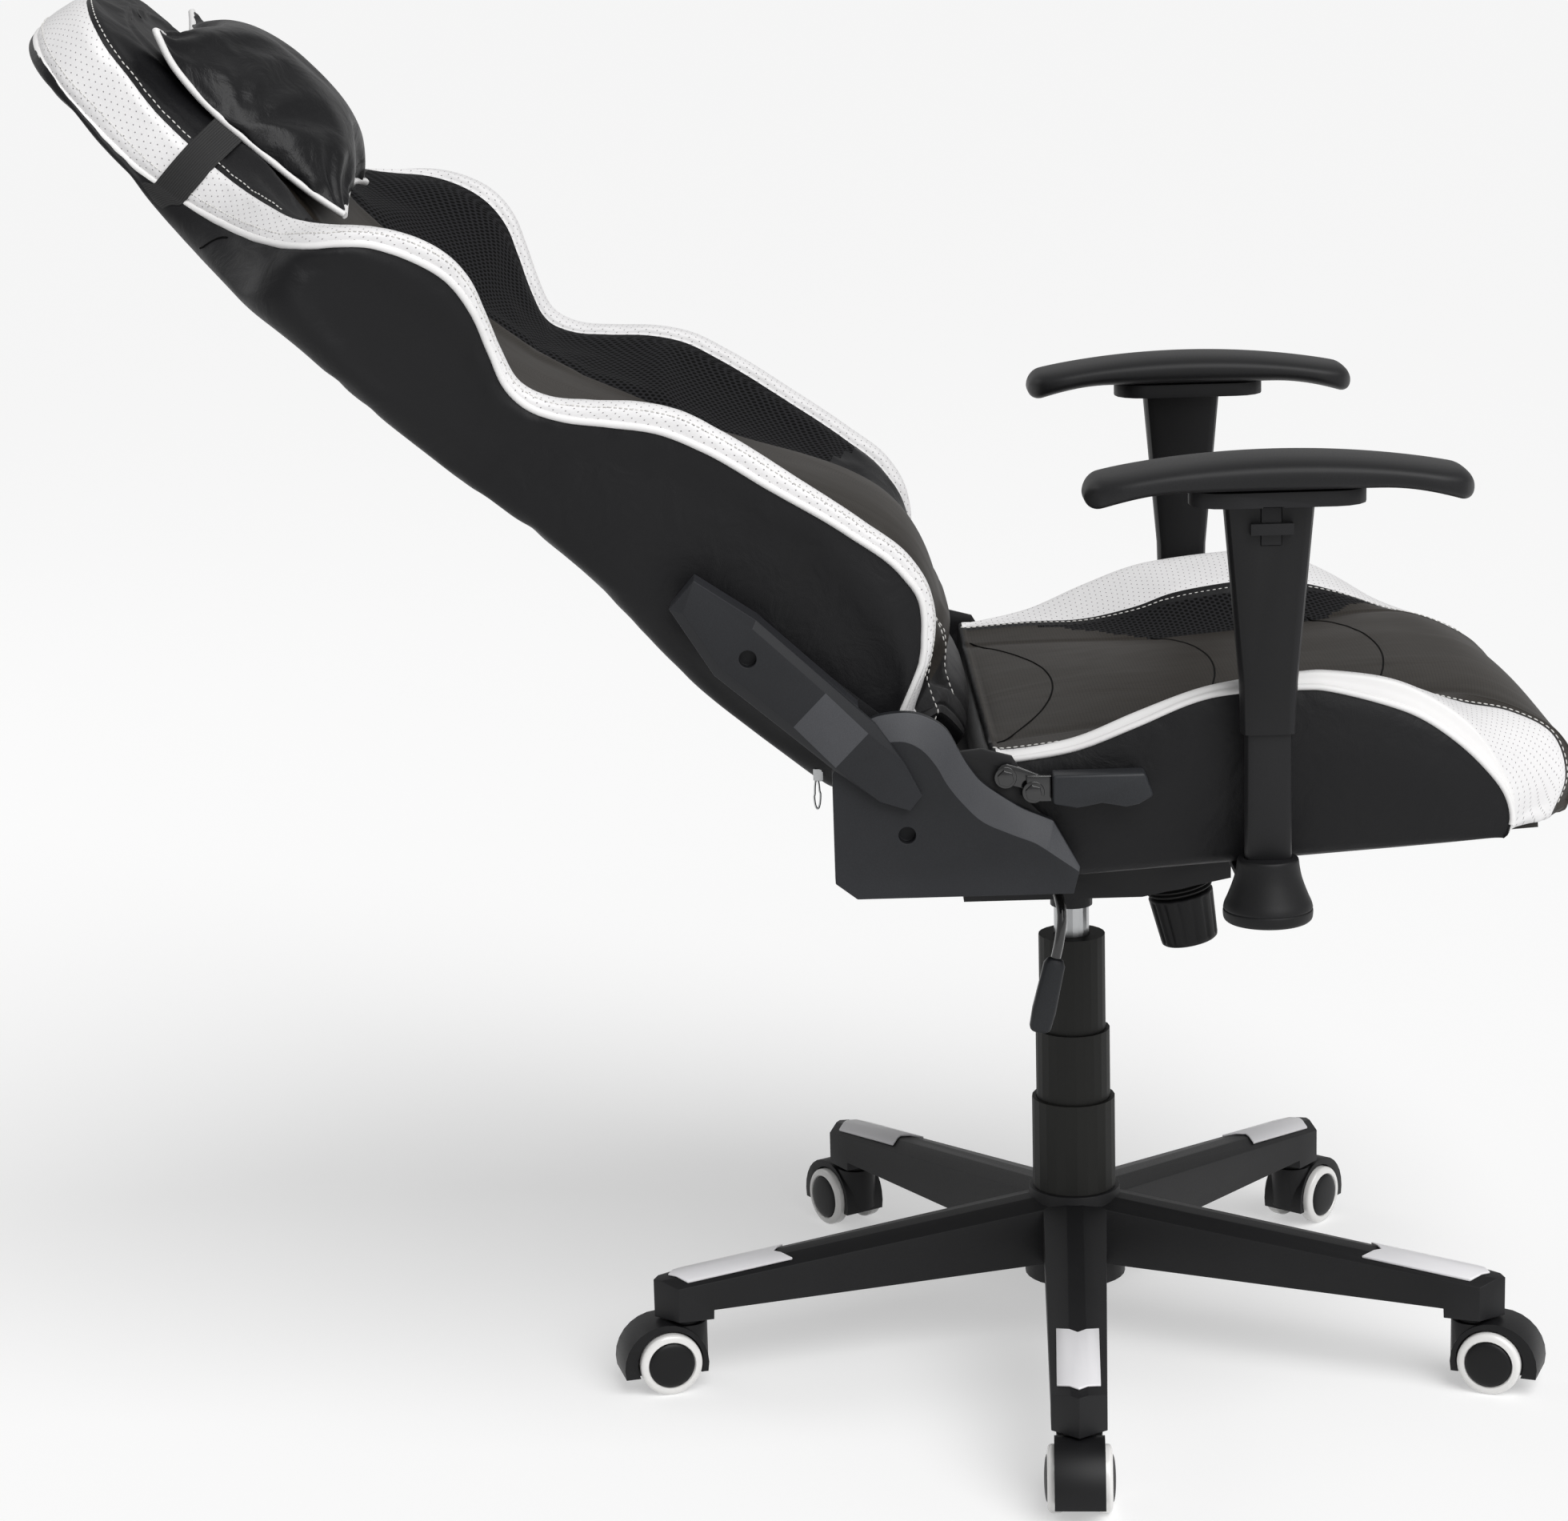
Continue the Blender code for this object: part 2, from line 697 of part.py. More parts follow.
def build_tension_knob(swivel):
    """Ribbed rubber boot, and the fluted knob on the tension screw that hangs under it."""
    leaning = (-knob_tilt, 0, 0)
    screw = joint("tension_screw", swivel, (0, knob_y, housing_bottom), leaning)
    fold = (boot_length - gap) / boot_folds
    valley = knob_radius - boot_fold_depth
    profile = [(0, -gap)]
    for i in range(boot_folds):
        top = -gap - i * fold
        profile += [(knob_radius, top - 0.15 * fold), (knob_radius, top - 0.55 * fold)]
        profile += [(valley, top - 0.75 * fold), (valley, top - 0.95 * fold)]
    profile.append((0, -boot_length))
    place("spring_boot", turned("spring_boot", profile, 18), black_rubber, screw)
    top = -boot_length - gap
    end_radius = knob_radius - knob_taper
    stations = (
        (knob_radius, top),
        (end_radius, top - knob_length + knob_edge),
        (end_radius - knob_edge, top - knob_length),
    )
    rings = [fluted_ring(radius, z) for radius, z in stations]
    place("tension_knob", loft("tension_knob", rings), black_plastic, screw)


def fluted_ring(radius, z):
    ring = []
    for i in range(2 * knob_flutes):
        at = radius - flute_depth * (i % 2)
        angle = pi * i / knob_flutes
        ring.append((at * cos(angle), at * sin(angle), z))
    return ring


def build_gas_lever(swivel):
    """A rod that rocks in the housing's side and hangs down at its outer end, with a flat paddle on it."""
    start = Vector((-housing_half_width, lever_y, lever_z))
    axis = joint("gas_lever_axis", swivel, start + Vector((lever_rod_depth / 2, 0, 0)))
    down = Vector((0, sin(paddle_lean), -cos(paddle_lean)))
    points = [start + Vector((lever_rod_depth, 0, 0))]
    points += [start + Vector((-out, along, up)) for out, along, up in lever_bends]
    foot = points[-1] + paddle_grip * down
    points = [point - axis.location for point in points + [foot]]
    place("gas_lever_rod", tube("gas_lever_rod", points, lever_rod_radius), black_steel, axis)
    rings = []
    for share, wide in ((0, 0.62), (0.08, 0.9), (0.7, 1), (0.95, 0.9), (1, 0.6)):
        ring = rounded(wide * paddle_thickness / 2, wide * paddle_width / 2, paddle_corner, 2)
        rings.append([(x, y, -share * paddle_length) for x, y in ring])
    at = foot + gap * down - axis.location
    leaning = (paddle_lean, 0, 0)
    place("gas_lever_paddle", loft("gas_lever_paddle", rings), grey_plastic, axis, at, leaning)


# Seat


def seat_local(y, z):
    """A point's y and z in the seat's own frame, whose floor is the sloping underside of the seat."""
    z = z - seat_origin_z
    return y * cos(seat_slope) - z * sin(seat_slope), y * sin(seat_slope) + z * cos(seat_slope)


# Heights of the side ridge and of the middle, and how far the side curves in, by distance from the front.
ridge_heights = (
    (0.000, 0.030),
    (0.042, 0.052),
    (0.072, 0.062),
    (0.102, 0.084),
    (0.132, 0.106),
    (0.172, 0.130),
    (0.212, 0.138),
    (0.262, 0.135),
    (0.312, 0.126),
    (0.372, 0.108),
    (0.412, 0.098),
    (0.472, 0.095),
)
centre_heights = (
    (0.000, 0.045),
    (0.012, 0.066),
    (0.042, 0.092),
    (0.082, 0.101),
    (0.222, 0.101),
    (0.372, 0.096),
    (0.472, 0.089),
)
side_insets = (
    (0.000, 0.112),
    (0.022, 0.062),
    (0.052, 0.026),
    (0.092, 0.008),
    (0.172, 0.000),
    (0.472, 0.002),
)
seat_stations = (0, 0.013, 0.036, 0.067, 0.099, 0.134, 0.170, 0.211, 0.255, 0.314, 0.381)


def seat_ring(y):
    along = y - seat_front_y
    centre = between(centre_heights, along)
    ridge = max(between(ridge_heights, along), 0.7 * centre)
    side = seat_half_width - between(side_insets, along)
    half = [
        (side - 0.004, 0),
        (side, 0.25 * ridge),
        (side, 0.75 * ridge),
        (side - 0.010, ridge),
        (side - 0.042, ridge - 0.004),
        (0.62 * side, centre),
    ]
    ring = half + [(-x, z) for x, z in reversed(half)]
    return [(x, y, z) for x, z in ring]


def build_seat(seat):
    """Padded seat round a plywood board. Under the backrest it goes on as a low shelf."""
    pivot_y, pivot_z = seat_local(hinge_y, hinge_z)
    back = pivot_y - clear_radius - running_gap
    shelf = pivot_z - clear_radius - seat_rear_gap
    stations = [seat_front_y + along for along in seat_stations]
    rings = [seat_ring(y) for y in stations if y < back - 0.02] + [seat_ring(back)]
    step = [(x, y + gap, min(z, shelf)) for x, y, z in rings[-1]]
    rings += [step, [(x, seat_rear_y, z) for x, _, z in step]]
    cushion = place("seat_cushion", loft("seat_cushion", rings), black_leather, seat)
    board_x = seat_half_width - seat_board_rim
    board_low = Vector((-board_x, seat_front_y + seat_front_rim, 0))
    board_high = Vector((board_x, seat_rear_y - seat_front_rim / 4, seat_board_thickness))
    place("seat_board", box("seat_board", board_low, board_high), board_wood, seat)
    play = Vector((gap, gap, gap))
    tool(cushion, "DIFFERENCE", box("board_pocket", board_low - 5 * play, board_high + play))
    foot_low, foot_high = hinge_foot(1)
    for side in (-1, 1):
        low, high = sorted((side * (foot_low.z - gap), side * 2 * foot_high.z))
        slot_low = (low, foot_low.x - gap, seat_board_thickness - gap)
        slot = box("foot_slot", slot_low, (high, foot_high.x + gap, foot_high.y + gap))
        tool(cushion, "DIFFERENCE", slot)


def build_tilt_plate(seat):
    """Steel plate under the seat board, with two flanges that turn on the housing's axle."""
    half_x = housing_half_width + flange_gap + flange_thickness
    ledge = half_x + tilt_plate_ledge
    bottom = -gap - tilt_plate_thickness
    length = tilt_plate_half_length
    plate = place("tilt_plate", box("tilt_plate", (-ledge, -length, bottom), (ledge, length, -gap)),
                  black_steel, seat)
    axis_y, axis_z = seat_local(tilt_axis_y, tilt_axis_z)
    round_end = tilt_axle_radius + flange_wall
    for side in (-1, 1):
        near, far = sorted((side * (housing_half_width + flange_gap), side * half_x))
        points = arc((axis_y, axis_z), round_end, 180, 360, 6)
        for reach in (round_end, -round_end):
            points.append((axis_y + 1.8 * reach, bottom + tilt_plate_thickness / 2))
        tool(plate, "UNION", outline("flange", points, near, far), rotation=side_plane)
    hole = rod("axle_hole", tilt_axle_radius + gap, -2 * half_x, 2 * half_x, 16)
    tool(plate, "DIFFERENCE", hole, (0, axis_y, axis_z), along_x)


# Recline hinge. Its outlines are (back, up) from the hinge pin.


def lower_cover_points(inset=0.0):
    """Side cover's outline: round over the hinge, hollow in front, straight below."""
    back = 0.049 - inset
    bottom = inset - hinge_height - 0.003
    front = inset - 0.128
    points = [(back, 0.007), (back, bottom + 0.012), (back - 0.016, bottom), (front + 0.006, bottom)]
    points += [(front, bottom + 0.018), (-0.111, -0.036 - inset), (-0.088, -0.026 - inset)]
    points += [(-0.070, -0.015 - inset), (-0.056, 0.002 - inset / 2)]
    return points + list(reversed(arc((0, 0), hinge_head_radius - inset, 50, 160, 8)))


def hinge_plate_points():
    """Inside the cover, but with an ear in front that carries the lever."""
    covered = lower_cover_points(cover_rim)
    pivot_y = grip_axis_y - hinge_y
    pivot_z = grip_axis_z - hinge_z
    ear = [(pivot_y + 0.018, pivot_z + 0.018), (pivot_y - 0.004, pivot_z + 0.012)]
    ear += [(pivot_y - 0.010, pivot_z + 0.002), (pivot_y - 0.010, pivot_z - 0.016)]
    ear.append((pivot_y - 0.035, pivot_z - 0.041))
    return covered[:5] + list(reversed(ear)) + covered[9:]


def hinge_foot(side):
    """Corners of the side plate's foot, which lies on the seat board, as (along, up, across)."""
    outer = lower_steel_x + steel_thickness / 2
    low_x, high_x = sorted((side * (outer - hinge_foot_width), side * outer))
    low = seat_board_thickness + gap
    return Vector((hinge_foot_front, low, low_x)), Vector((hinge_foot_rear, low + steel_thickness, high_x))


def build_hinge_side(name, side, pin_line):
    """Steel side plate, its plastic cover and the hinge pin, on one side of the seat."""
    steel_end = lower_steel_x + steel_thickness
    low, high = sorted((side * lower_steel_x, side * steel_end))
    steel_shape = outline("hinge_plate", hinge_plate_points(), low, high)
    steel = place(f"hinge_plate_{name}", steel_shape, black_steel, pin_line, rotation=side_plane)
    floor_at = (-hinge_y, -hinge_height, 0)
    tool(steel, "UNION", box("foot", *hinge_foot(side)), floor_at, (0, 0, -seat_slope))
    low, high = sorted((side * lower_steel_x / 2, side * 2 * lower_steel_x))
    tool(steel, "DIFFERENCE", rod("pin_hole", hinge_pin_radius + gap, low, high, 16))
    lever_hole = rod("lever_hole", lever_pin_radius + gap, low, high, 12)
    tool(steel, "DIFFERENCE", lever_hole, (grip_axis_y - hinge_y, grip_axis_z - hinge_z, 0))
    low, high = sorted((side * upper_steel_x, side * steel_end))
    pin = rod("hinge_pin", hinge_pin_radius, low, high, 16)
    place(f"hinge_pin_{name}", pin, bright_steel, pin_line, rotation=along_x)
    start = steel_end + gap
    end = start + lower_cover_thickness
    low, high = sorted((side * start, side * end))
    shape = outline("lower_cover", lower_cover_points(), low, high)
    cover = place(f"lower_hinge_cover_{name}", shape, grey_plastic, pin_line, rotation=side_plane)
    low, high = sorted((side * (end - screw_depth), side * 2 * end))
    tool(cover, "DIFFERENCE", rod("screw_hole", screw_radius, low, high, 14), (-0.0035, -0.042, 0))


def build_recline_lever(tilt):
    """Pull-up lever at the sitter's right: a steel arm on its own pin, with a moulded grip."""
    axis = joint("recline_lever_axis", tilt, (0, grip_axis_y, grip_axis_z))
    near = -(lower_steel_x + steel_thickness + gap)
    half = lever_arm_half_height
    middle = -0.5 * grip_height + 0.001
    points = arc((0, 0), lever_eye_radius, -60, 120, 6)
    points += [(gap - lever_arm_length, middle + half), (gap - lever_arm_length, middle - half)]
    arm = outline("recline_lever_arm", points, near - lever_arm_thickness, near)
    lever = place("recline_lever_arm", arm, black_steel, axis, rotation=side_plane)
    pin = rod("lever_pin", lever_pin_radius, near - lever_arm_thickness / 2, -lower_steel_x, 12)
    tool(lever, "UNION", pin)
    back = -lever_arm_length
    front = back - grip_length
    top = middle + grip_height / 2
    bottom = middle - grip_height / 2
    waves = [(front + grip_length * i / 8, bottom + grip_wave * cos(i * pi / 2)) for i in range(1, 9)]
    points = [(back, top), (front + 0.004, top), (front - 0.002, bottom + 0.006)] + waves
    inner = -(lower_steel_x + grip_inset)
    grip = outline("recline_lever_grip", points, inner - grip_thickness, inner)
    place("recline_lever_grip", grip, grey_plastic, axis, rotation=side_plane)


# Backrest. Its frame has Z up along the back and -Y towards the sitter. The tables give depths towards the
# sitter by height: of the rear face, the side piping, the side ridge and the middle.


rear_depths = (
    (back_foot, -0.048),
    (lumbar_height + 0.108, -0.053),
    (waist_height - 0.080, -0.050),
    (shoulder_height - 0.050, -0.056),
    (neck_height - 0.015, -0.056),
    (neck_height + 0.034, -0.060),
    (neck_height + 0.063, -0.056),
    (head_height - 0.075, -0.048),
    (head_height - 0.028, -0.041),
    (head_height, -0.035),
)
piping_depths = (
    (back_foot, 0.020),
    (back_foot + 0.022, 0.058),
    (lumbar_height - 0.026, lumbar_depth - 0.020),
    (lumbar_height, lumbar_depth - 0.010),
    (lumbar_height + 0.058, lumbar_depth - 0.015),
    (waist_height - 0.123, lumbar_depth - 0.037),
    (waist_height - 0.088, lumbar_depth - 0.049),
    (waist_height - 0.033, waist_depth + 0.004),
    (waist_height, waist_depth - 0.008),
    (shoulder_height - 0.063, shoulder_depth - 0.032),
    (shoulder_height - 0.008, shoulder_depth - 0.010),
    (shoulder_height + 0.021, shoulder_depth - 0.011),
    (shoulder_height + 0.045, shoulder_depth - 0.025),
    (neck_height - 0.047, 0.013),
    (neck_height - 0.019, -0.012),
    (neck_height + 0.018, -0.032),
    (neck_height + 0.064, -0.044),
    (neck_height + 0.089, -0.047),
    (head_height - 0.048, -0.042),
    (head_height, -0.032),
)
ridge_depths = (
    (back_foot, 0.030),
    (back_foot + 0.022, 0.072),
    (lumbar_height - 0.026, lumbar_depth - 0.010),
    (lumbar_height, lumbar_depth),
    (lumbar_height + 0.058, lumbar_depth - 0.004),
    (waist_height - 0.123, lumbar_depth - 0.021),
    (waist_height - 0.067, waist_depth + 0.044),
    (waist_height - 0.019, waist_depth + 0.008),
    (waist_height, waist_depth),
    (shoulder_height - 0.043, shoulder_depth - 0.014),
    (shoulder_height, shoulder_depth),
    (shoulder_height + 0.036, shoulder_depth - 0.011),
    (neck_height - 0.040, 0.024),
    (neck_height, 0.004),
    (neck_height + 0.050, -0.008),
    (neck_height + 0.105, -0.007),
    (head_height - 0.064, 0.001),
    (head_height - 0.025, 0.010),
    (head_height, -0.004),
)
middle_depths = (
    (back_foot, 0.084),
    (back_foot + 0.028, lumbar_depth - 0.015),
    (lumbar_height - 0.012, lumbar_depth - 0.001),
    (lumbar_height + 0.028, lumbar_depth - 0.002),
    (lumbar_height + 0.108, lumbar_depth - 0.032),
    (waist_height - 0.080, waist_depth + 0.014),
    (waist_height, waist_depth - 0.016),
    (shoulder_height - 0.020, 0.004),
    (neck_height - 0.040, 0.008),
    (neck_height + 0.050, 0.020),
    (head_height - 0.057, 0.020),
    (head_height - 0.024, 0.012),
    (head_height, -0.006),
)
side_widths = (
    (back_foot, back_half_width - 0.012),
    (lumbar_height - 0.012, back_half_width - 0.002),
    (waist_height - 0.130, back_half_width),
    (waist_height, back_half_width - 0.010),
    (shoulder_height - 0.030, back_half_width + 0.012),
    (shoulder_height + 0.020, back_half_width + 0.022),
    (shoulder_height + 0.070, back_half_width + 0.028),
    (neck_height - 0.010, back_half_width - 0.025),
    (neck_height + 0.040, back_half_width - 0.085),
    (neck_height + 0.078, back_half_width - 0.099),
    (head_height - 0.072, back_half_width - 0.104),
    (head_height - 0.044, back_half_width - 0.111),
    (head_height - 0.020, back_half_width - 0.128),
    (head_height - 0.006, back_half_width - 0.152),
    (head_height, back_half_width - 0.180),
)
back_stations = (
    back_foot,
    back_foot + 0.022,
    lumbar_height - 0.026,
    lumbar_height + 0.008,
    lumbar_height + 0.058,
    lumbar_height + 0.118,
    waist_height - 0.123,
    waist_height - 0.080,
    waist_height - 0.033,
    waist_height,
    waist_height + 0.037,
    shoulder_height - 0.020,
    shoulder_height + 0.020,
    shoulder_height + 0.050,
    neck_height - 0.040,
    neck_height,
    strap_bottom,
    strap_top,
    head_height - 0.105,
    head_height - 0.072,
    head_height - 0.044,
    head_height - 0.020,
    head_height - 0.006,
    head_height,
)


def mirrored(half):
    return half + [(-x, depth) for x, depth in reversed(half)]


def back_section(s, grow=0.0):
    """The backrest's outline in (across, depth) at a height along the back."""
    if strap_bottom <= s <= strap_top:
        s = (strap_bottom + strap_top) / 2  # straight under the strap
    side = between(side_widths, s) + grow
    rear = between(rear_depths, s) - grow
    middle = between(middle_depths, s) + grow
    piping = between(piping_depths, s) + grow
    ridge = between(ridge_depths, s) + grow
    corner = min(0.008, 0.35 * (piping - rear))
    half = [
        (side - 0.030, rear),
        (side - 0.004, rear + corner),
        (side, (rear + piping) / 2),
        (side - 0.002, piping),
        (side - 0.020, ridge),
        (0.60 * side, middle),
    ]
    return mirrored(half)


def lobe_section(drop):
    """The lower end of the lumbar padding. It hangs in front of the cross tube, inside the hinge's sweep."""
    side = back_half_width - 0.050 - drop
    middle = sqrt((clear_radius - 2 * running_gap) ** 2 - drop**2) - 0.15 * drop
    rear = back_lobe_rear
    half = [(side - 0.030, rear), (side - 0.004, rear + 0.004), (side, (rear + middle) / 2)]
    half += [(side - 0.002, middle - 0.008), (side - 0.020, middle - 0.003), (0.60 * side, middle)]
    return mirrored(half)


def build_backrest(back):
    sections = [(-share * back_lobe_drop, lobe_section(share * back_lobe_drop)) for share in (1, 0.75, 0.16)]
    sections.append((back_foot - gap, lobe_section(back_foot / 2)))
    sections += [(s, back_section(s)) for s in sorted(back_stations)]
    rings = [[(x, -depth, s) for x, depth in ring] for s, ring in sections]
    cushion = place("back_cushion", loft("back_cushion", rings), black_leather, back)
    for side in (-1, 1):
        channel = rod("tube_channel", frame_tube_radius + gap, 0, frame_tube_top + gap, 12)
        tool(cushion, "DIFFERENCE", channel, (side * frame_tube_x, frame_tube_depth, 0))


def build_back_frame(back):
    """Steel frame: a cross tube under the padding, two uprights inside it and a side plate at each end."""
    reach = upper_steel_x + steel_thickness / 2
    cross = rod("back_frame", frame_tube_radius, -reach, reach, 12)
    frame = place("back_frame", cross, black_steel, back, (0, frame_cross_depth, 0), along_x)
    # In the cross tube's own frame, the back's X, Y and Z run along Z, Y and -X.
    upright_turn = (0, -pi / 2, 0)
    shift = frame_tube_depth - frame_cross_depth
    round_end = hinge_pin_radius + hinge_pin_wall
    narrow = round_end - 0.008
    points = arc((0, 0), round_end, 180, 360, 8) + [(round_end, frame_plate_length - 0.070)]
    points += [(round_end - 0.004, frame_plate_length), (-narrow + 0.006, frame_plate_length)]
    points.append((-narrow, frame_plate_length - 0.070))
    for side in (-1, 1):
        upright = rod("upright", frame_tube_radius, -frame_tube_radius / 2, frame_tube_top, 12)
        tool(frame, "UNION", upright, (0, shift, side * frame_tube_x), upright_turn)
        low, high = sorted((side * upper_steel_x, side * (upper_steel_x + steel_thickness)))
        plate = outline("side_plate", points, low, high)
        plate.transform(Euler(side_plane).to_matrix().to_4x4())
        tool(frame, "UNION", plate, (0, -frame_cross_depth, 0), upright_turn)
    for side in (-1, 1):
        low, high = sorted((side * (upper_steel_x - steel_thickness / 2), side * 2 * upper_steel_x))
        hole = rod("pin_hole", hinge_pin_radius + gap, low, high, 16)
        tool(frame, "DIFFERENCE", hole, (0, -frame_cross_depth, 0))


def build_upper_cover(name, side, back):
    """Moulded arm cover: thin over the lower cover, thick where it stands on the side plate."""
    thin_start = lower_steel_x + steel_thickness + lower_cover_thickness + 2 * gap + running_gap
    thick_start = upper_steel_x + steel_thickness + gap
    thick_foot = hinge_head_radius + 0.011
    end = thin_start + upper_cover_thickness
    tip = [(0.013, -0.020), (-0.001, -0.019), (-0.010, 0.007), (-0.017, 0.041)]
    top = [(-0.019, 0.154), (-0.011, 0.206), (0.016, 0.205), (0.031, 0.150)]
    rear = [(0.024, 0.039), (0.026, 0.024), (0.022, 0.001)]
    low, high = sorted((side * thin_start, side * end))
    whole = outline("upper_cover", tip + top + rear, low, high)
    cover = place(f"upper_hinge_cover_{name}", whole, grey_plastic, back, rotation=side_plane)
    thick = [(-0.0172, thick_foot)] + top + [(0.0255, thick_foot)]
    low, high = sorted((side * thick_start, side * (thin_start + upper_cover_thickness / 3)))
    tool(cover, "UNION", outline("thick_part", thick, low, high))
    low, high = sorted((side * (end - screw_depth), side * 2 * end))
    tool(cover, "DIFFERENCE", rod("screw_hole", screw_radius, low, high, 14), (0.005, 0.141, 0))


def build_pillow(back):
    """Cushion in front of the head, on the elastic band that holds it round the back."""
    half = pillow_height / 2
    middle = pillow_bottom + half
    rear = between(middle_depths, (strap_bottom + strap_top) / 2) + strap_thickness + 3 * gap
    rings = []
    for share in (-1, -0.85, -0.5, 0, 0.5, 0.85, 1):
        full = sqrt(max(0.02, 1 - share**2))
        thick = pillow_thickness * full
        wide = pillow_half_width * (0.90 + 0.10 * abs(share))
        depth = rear + (1 - full) * pillow_edge
        front = mirrored([(wide, 0.3), (wide * 0.8, 0.75), (wide * 0.35, 1)])
        ring = front + [(-wide, 0.1), (-wide * 0.8, 0), (wide * 0.8, 0), (wide, 0.1)]
        rings.append([(x, -depth - thick * part, middle + half * share) for x, part in ring])
    place("head_pillow", loft("head_pillow", rings), black_leather, back)
    rings = []
    near = 2 * gap
    far = near + strap_thickness
    for grow, s in ((near, strap_bottom), (far, strap_bottom), (far, strap_top), (near, strap_top)):
        rings.append([(x, -depth, s) for x, depth in back_section(s, grow)])
    place("pillow_strap", loft("pillow_strap", rings, ring_shaped=True), black_elastic, back)


# Armrests


def post_ring(play, z):
    """The post's outline, or a pocket that clears it, at one height."""
    ring = rounded(arm_post_width / 2 + play, arm_post_length / 2 + play, arm_post_corner, 2)
    return [(x, y, z) for x, y in ring]


def build_armrest(name, side, tilt, seat):
    """A bar under the seat carries the post, and a cup covers the joint between them."""
    x = side * arm_x
    bar_y = seat_local(arm_y, seat_origin_z)[0]
    low_x, high_x = sorted((side * arm_bar_inner_x, side * (arm_x + arm_bar_end)))
    low = Vector((low_x, bar_y - arm_bar_width / 2, -gap - arm_bar_thickness))
    high = Vector((high_x, bar_y + arm_bar_width / 2, -gap))
    place(f"arm_bar_{name}", box("arm_bar", low, high), black_steel, seat)

    foot = seat_origin_z + (arm_post_length / 2 - arm_y) * sin(seat_slope) + gap
    post = loft("arm_post", [post_ring(0, foot), post_ring(0, arm_post_top)])
    place(f"arm_post_{name}", post, black_plastic, tilt, (x, arm_y, 0))

    shape = rod("arm_cup", cup_bottom_radius, cup_bottom, cup_top, 24, cup_top_radius)
    cup = place(f"arm_cup_{name}", shape, black_plastic, tilt, (x, arm_y, 0))
    tool(cup, "DIFFERENCE", loft("post_hole", [post_ring(gap, foot - 0.002), post_ring(gap, 2 * cup_top)]))
    play = Vector((gap, gap, gap))
    slot = box("bar_slot", low - play, Vector((high.x, high.y, foot - seat_origin_z)) + play)
    tool(cup, "DIFFERENCE", slot, (-x, -arm_y, seat_origin_z), (-seat_slope, 0, 0))

    lift = joint(f"arm_slide_{name}", tilt, (x, arm_y, 0))
    build_arm_sleeve(name, side, lift)
    build_arm_trigger(name, side, lift)
    build_arm_pad(name, lift)


def build_arm_sleeve(name, side, lift):
    """Tapered sleeve that slides on the post, with the plate that carries the pad."""
    half_x = arm_post_width / 2 + running_gap + sleeve_wall
    half_y = arm_post_length / 2 + running_gap + sleeve_wall
    stations = (
        (sleeve_bottom, half_x, half_y),
        (sleeve_waist, half_x + 0.001, sleeve_waist_length / 2),
        (sleeve_top, sleeve_top_width / 2, sleeve_top_length / 2),
    )
    rings = [[(x, y, z) for x, y in rounded(wide, long, sleeve_corner, 2)] for z, wide, long in stations]
    sleeve = place(f"arm_sleeve_{name}", loft("arm_sleeve", rings), black_plastic, lift)
    corners = rounded(arm_plate_width / 2, arm_plate_length / 2, arm_plate_corner, 4)
    shape = [(x, y + pad_shift) for x, y in corners]
    tool(sleeve, "UNION", outline("arm_plate", shape, sleeve_top - arm_plate_thickness / 10, arm_plate_top))
    pocket = [post_ring(running_gap, 0), post_ring(running_gap, arm_post_top + post_travel)]
    tool(sleeve, "DIFFERENCE", loft("post_pocket", pocket))
    face = sleeve_top_width / 2
    near, far = sorted((side * (face - trigger_depth), side * 2 * face))
    low = (near, -trigger_width / 2 - gap, trigger_bottom - gap)
    tool(sleeve, "DIFFERENCE", box("recess", low, (far, trigger_width / 2 + gap, sleeve_top - gap)))


def build_arm_trigger(name, side, lift):
    """Finger lever that lets the sleeve go: a tongue in the sleeve's recess, with a lip to pull."""
    face = sleeve_top_width / 2
    pivot = Vector((side * (face - trigger_depth + 2 * gap), 0, trigger_top))
    axis = joint(f"arm_trigger_axis_{name}", lift, pivot)
    near, far = sorted((0, side * trigger_depth))
    low = Vector((near, -trigger_width / 2, -trigger_height))
    tongue = box("arm_trigger", low, (far, trigger_width / 2, 0))
    trigger = place(f"arm_trigger_{name}", tongue, black_plastic, axis)
    near, far = sorted((side * (trigger_depth - gap), side * (trigger_depth + trigger_lip_reach)))
    low_z = -trigger_height + trigger_lip_height
    low = (near, -trigger_lip_width / 2, low_z)
    lip = box("lip", low, (far, trigger_lip_width / 2, low_z + trigger_lip_height))
    tool(trigger, "UNION", lip)


def build_arm_pad(name, lift):
    """Crowned pad whose ends hang a little lower than its middle."""
    half = pad_length / 2
    flat = arm_plate_length / 2 + pad_corner / 2
    base = arm_plate_top + gap
    stations = ((0, 1, 1), (0.48, 1, 1), (0.82, 1, 1), (0.96, 0.85, 1), (1, 0.55, 0.5))
    rings = []
    for share, narrow, low in stations[:0:-1]:
        rings.append((-share, narrow, low))
    rings += stations
    sections = []
    for share, narrow, low in rings:
        under = pad_crown * (max(0, abs(share) * half - flat) / (half - flat)) ** 2
        thick = pad_thickness + under - pad_crown * share**2
        corner = min(pad_corner, 0.45 * thick * low)
        ring = rounded(narrow * pad_width / 2, low * thick / 2, corner, 2)
        middle = base - under + thick / 2
        sections.append([(x, share * half + pad_shift, middle + z) for x, z in ring])
    place(f"arm_pad_{name}", loft("arm_pad", sections), black_rubber, lift)


# Assembly


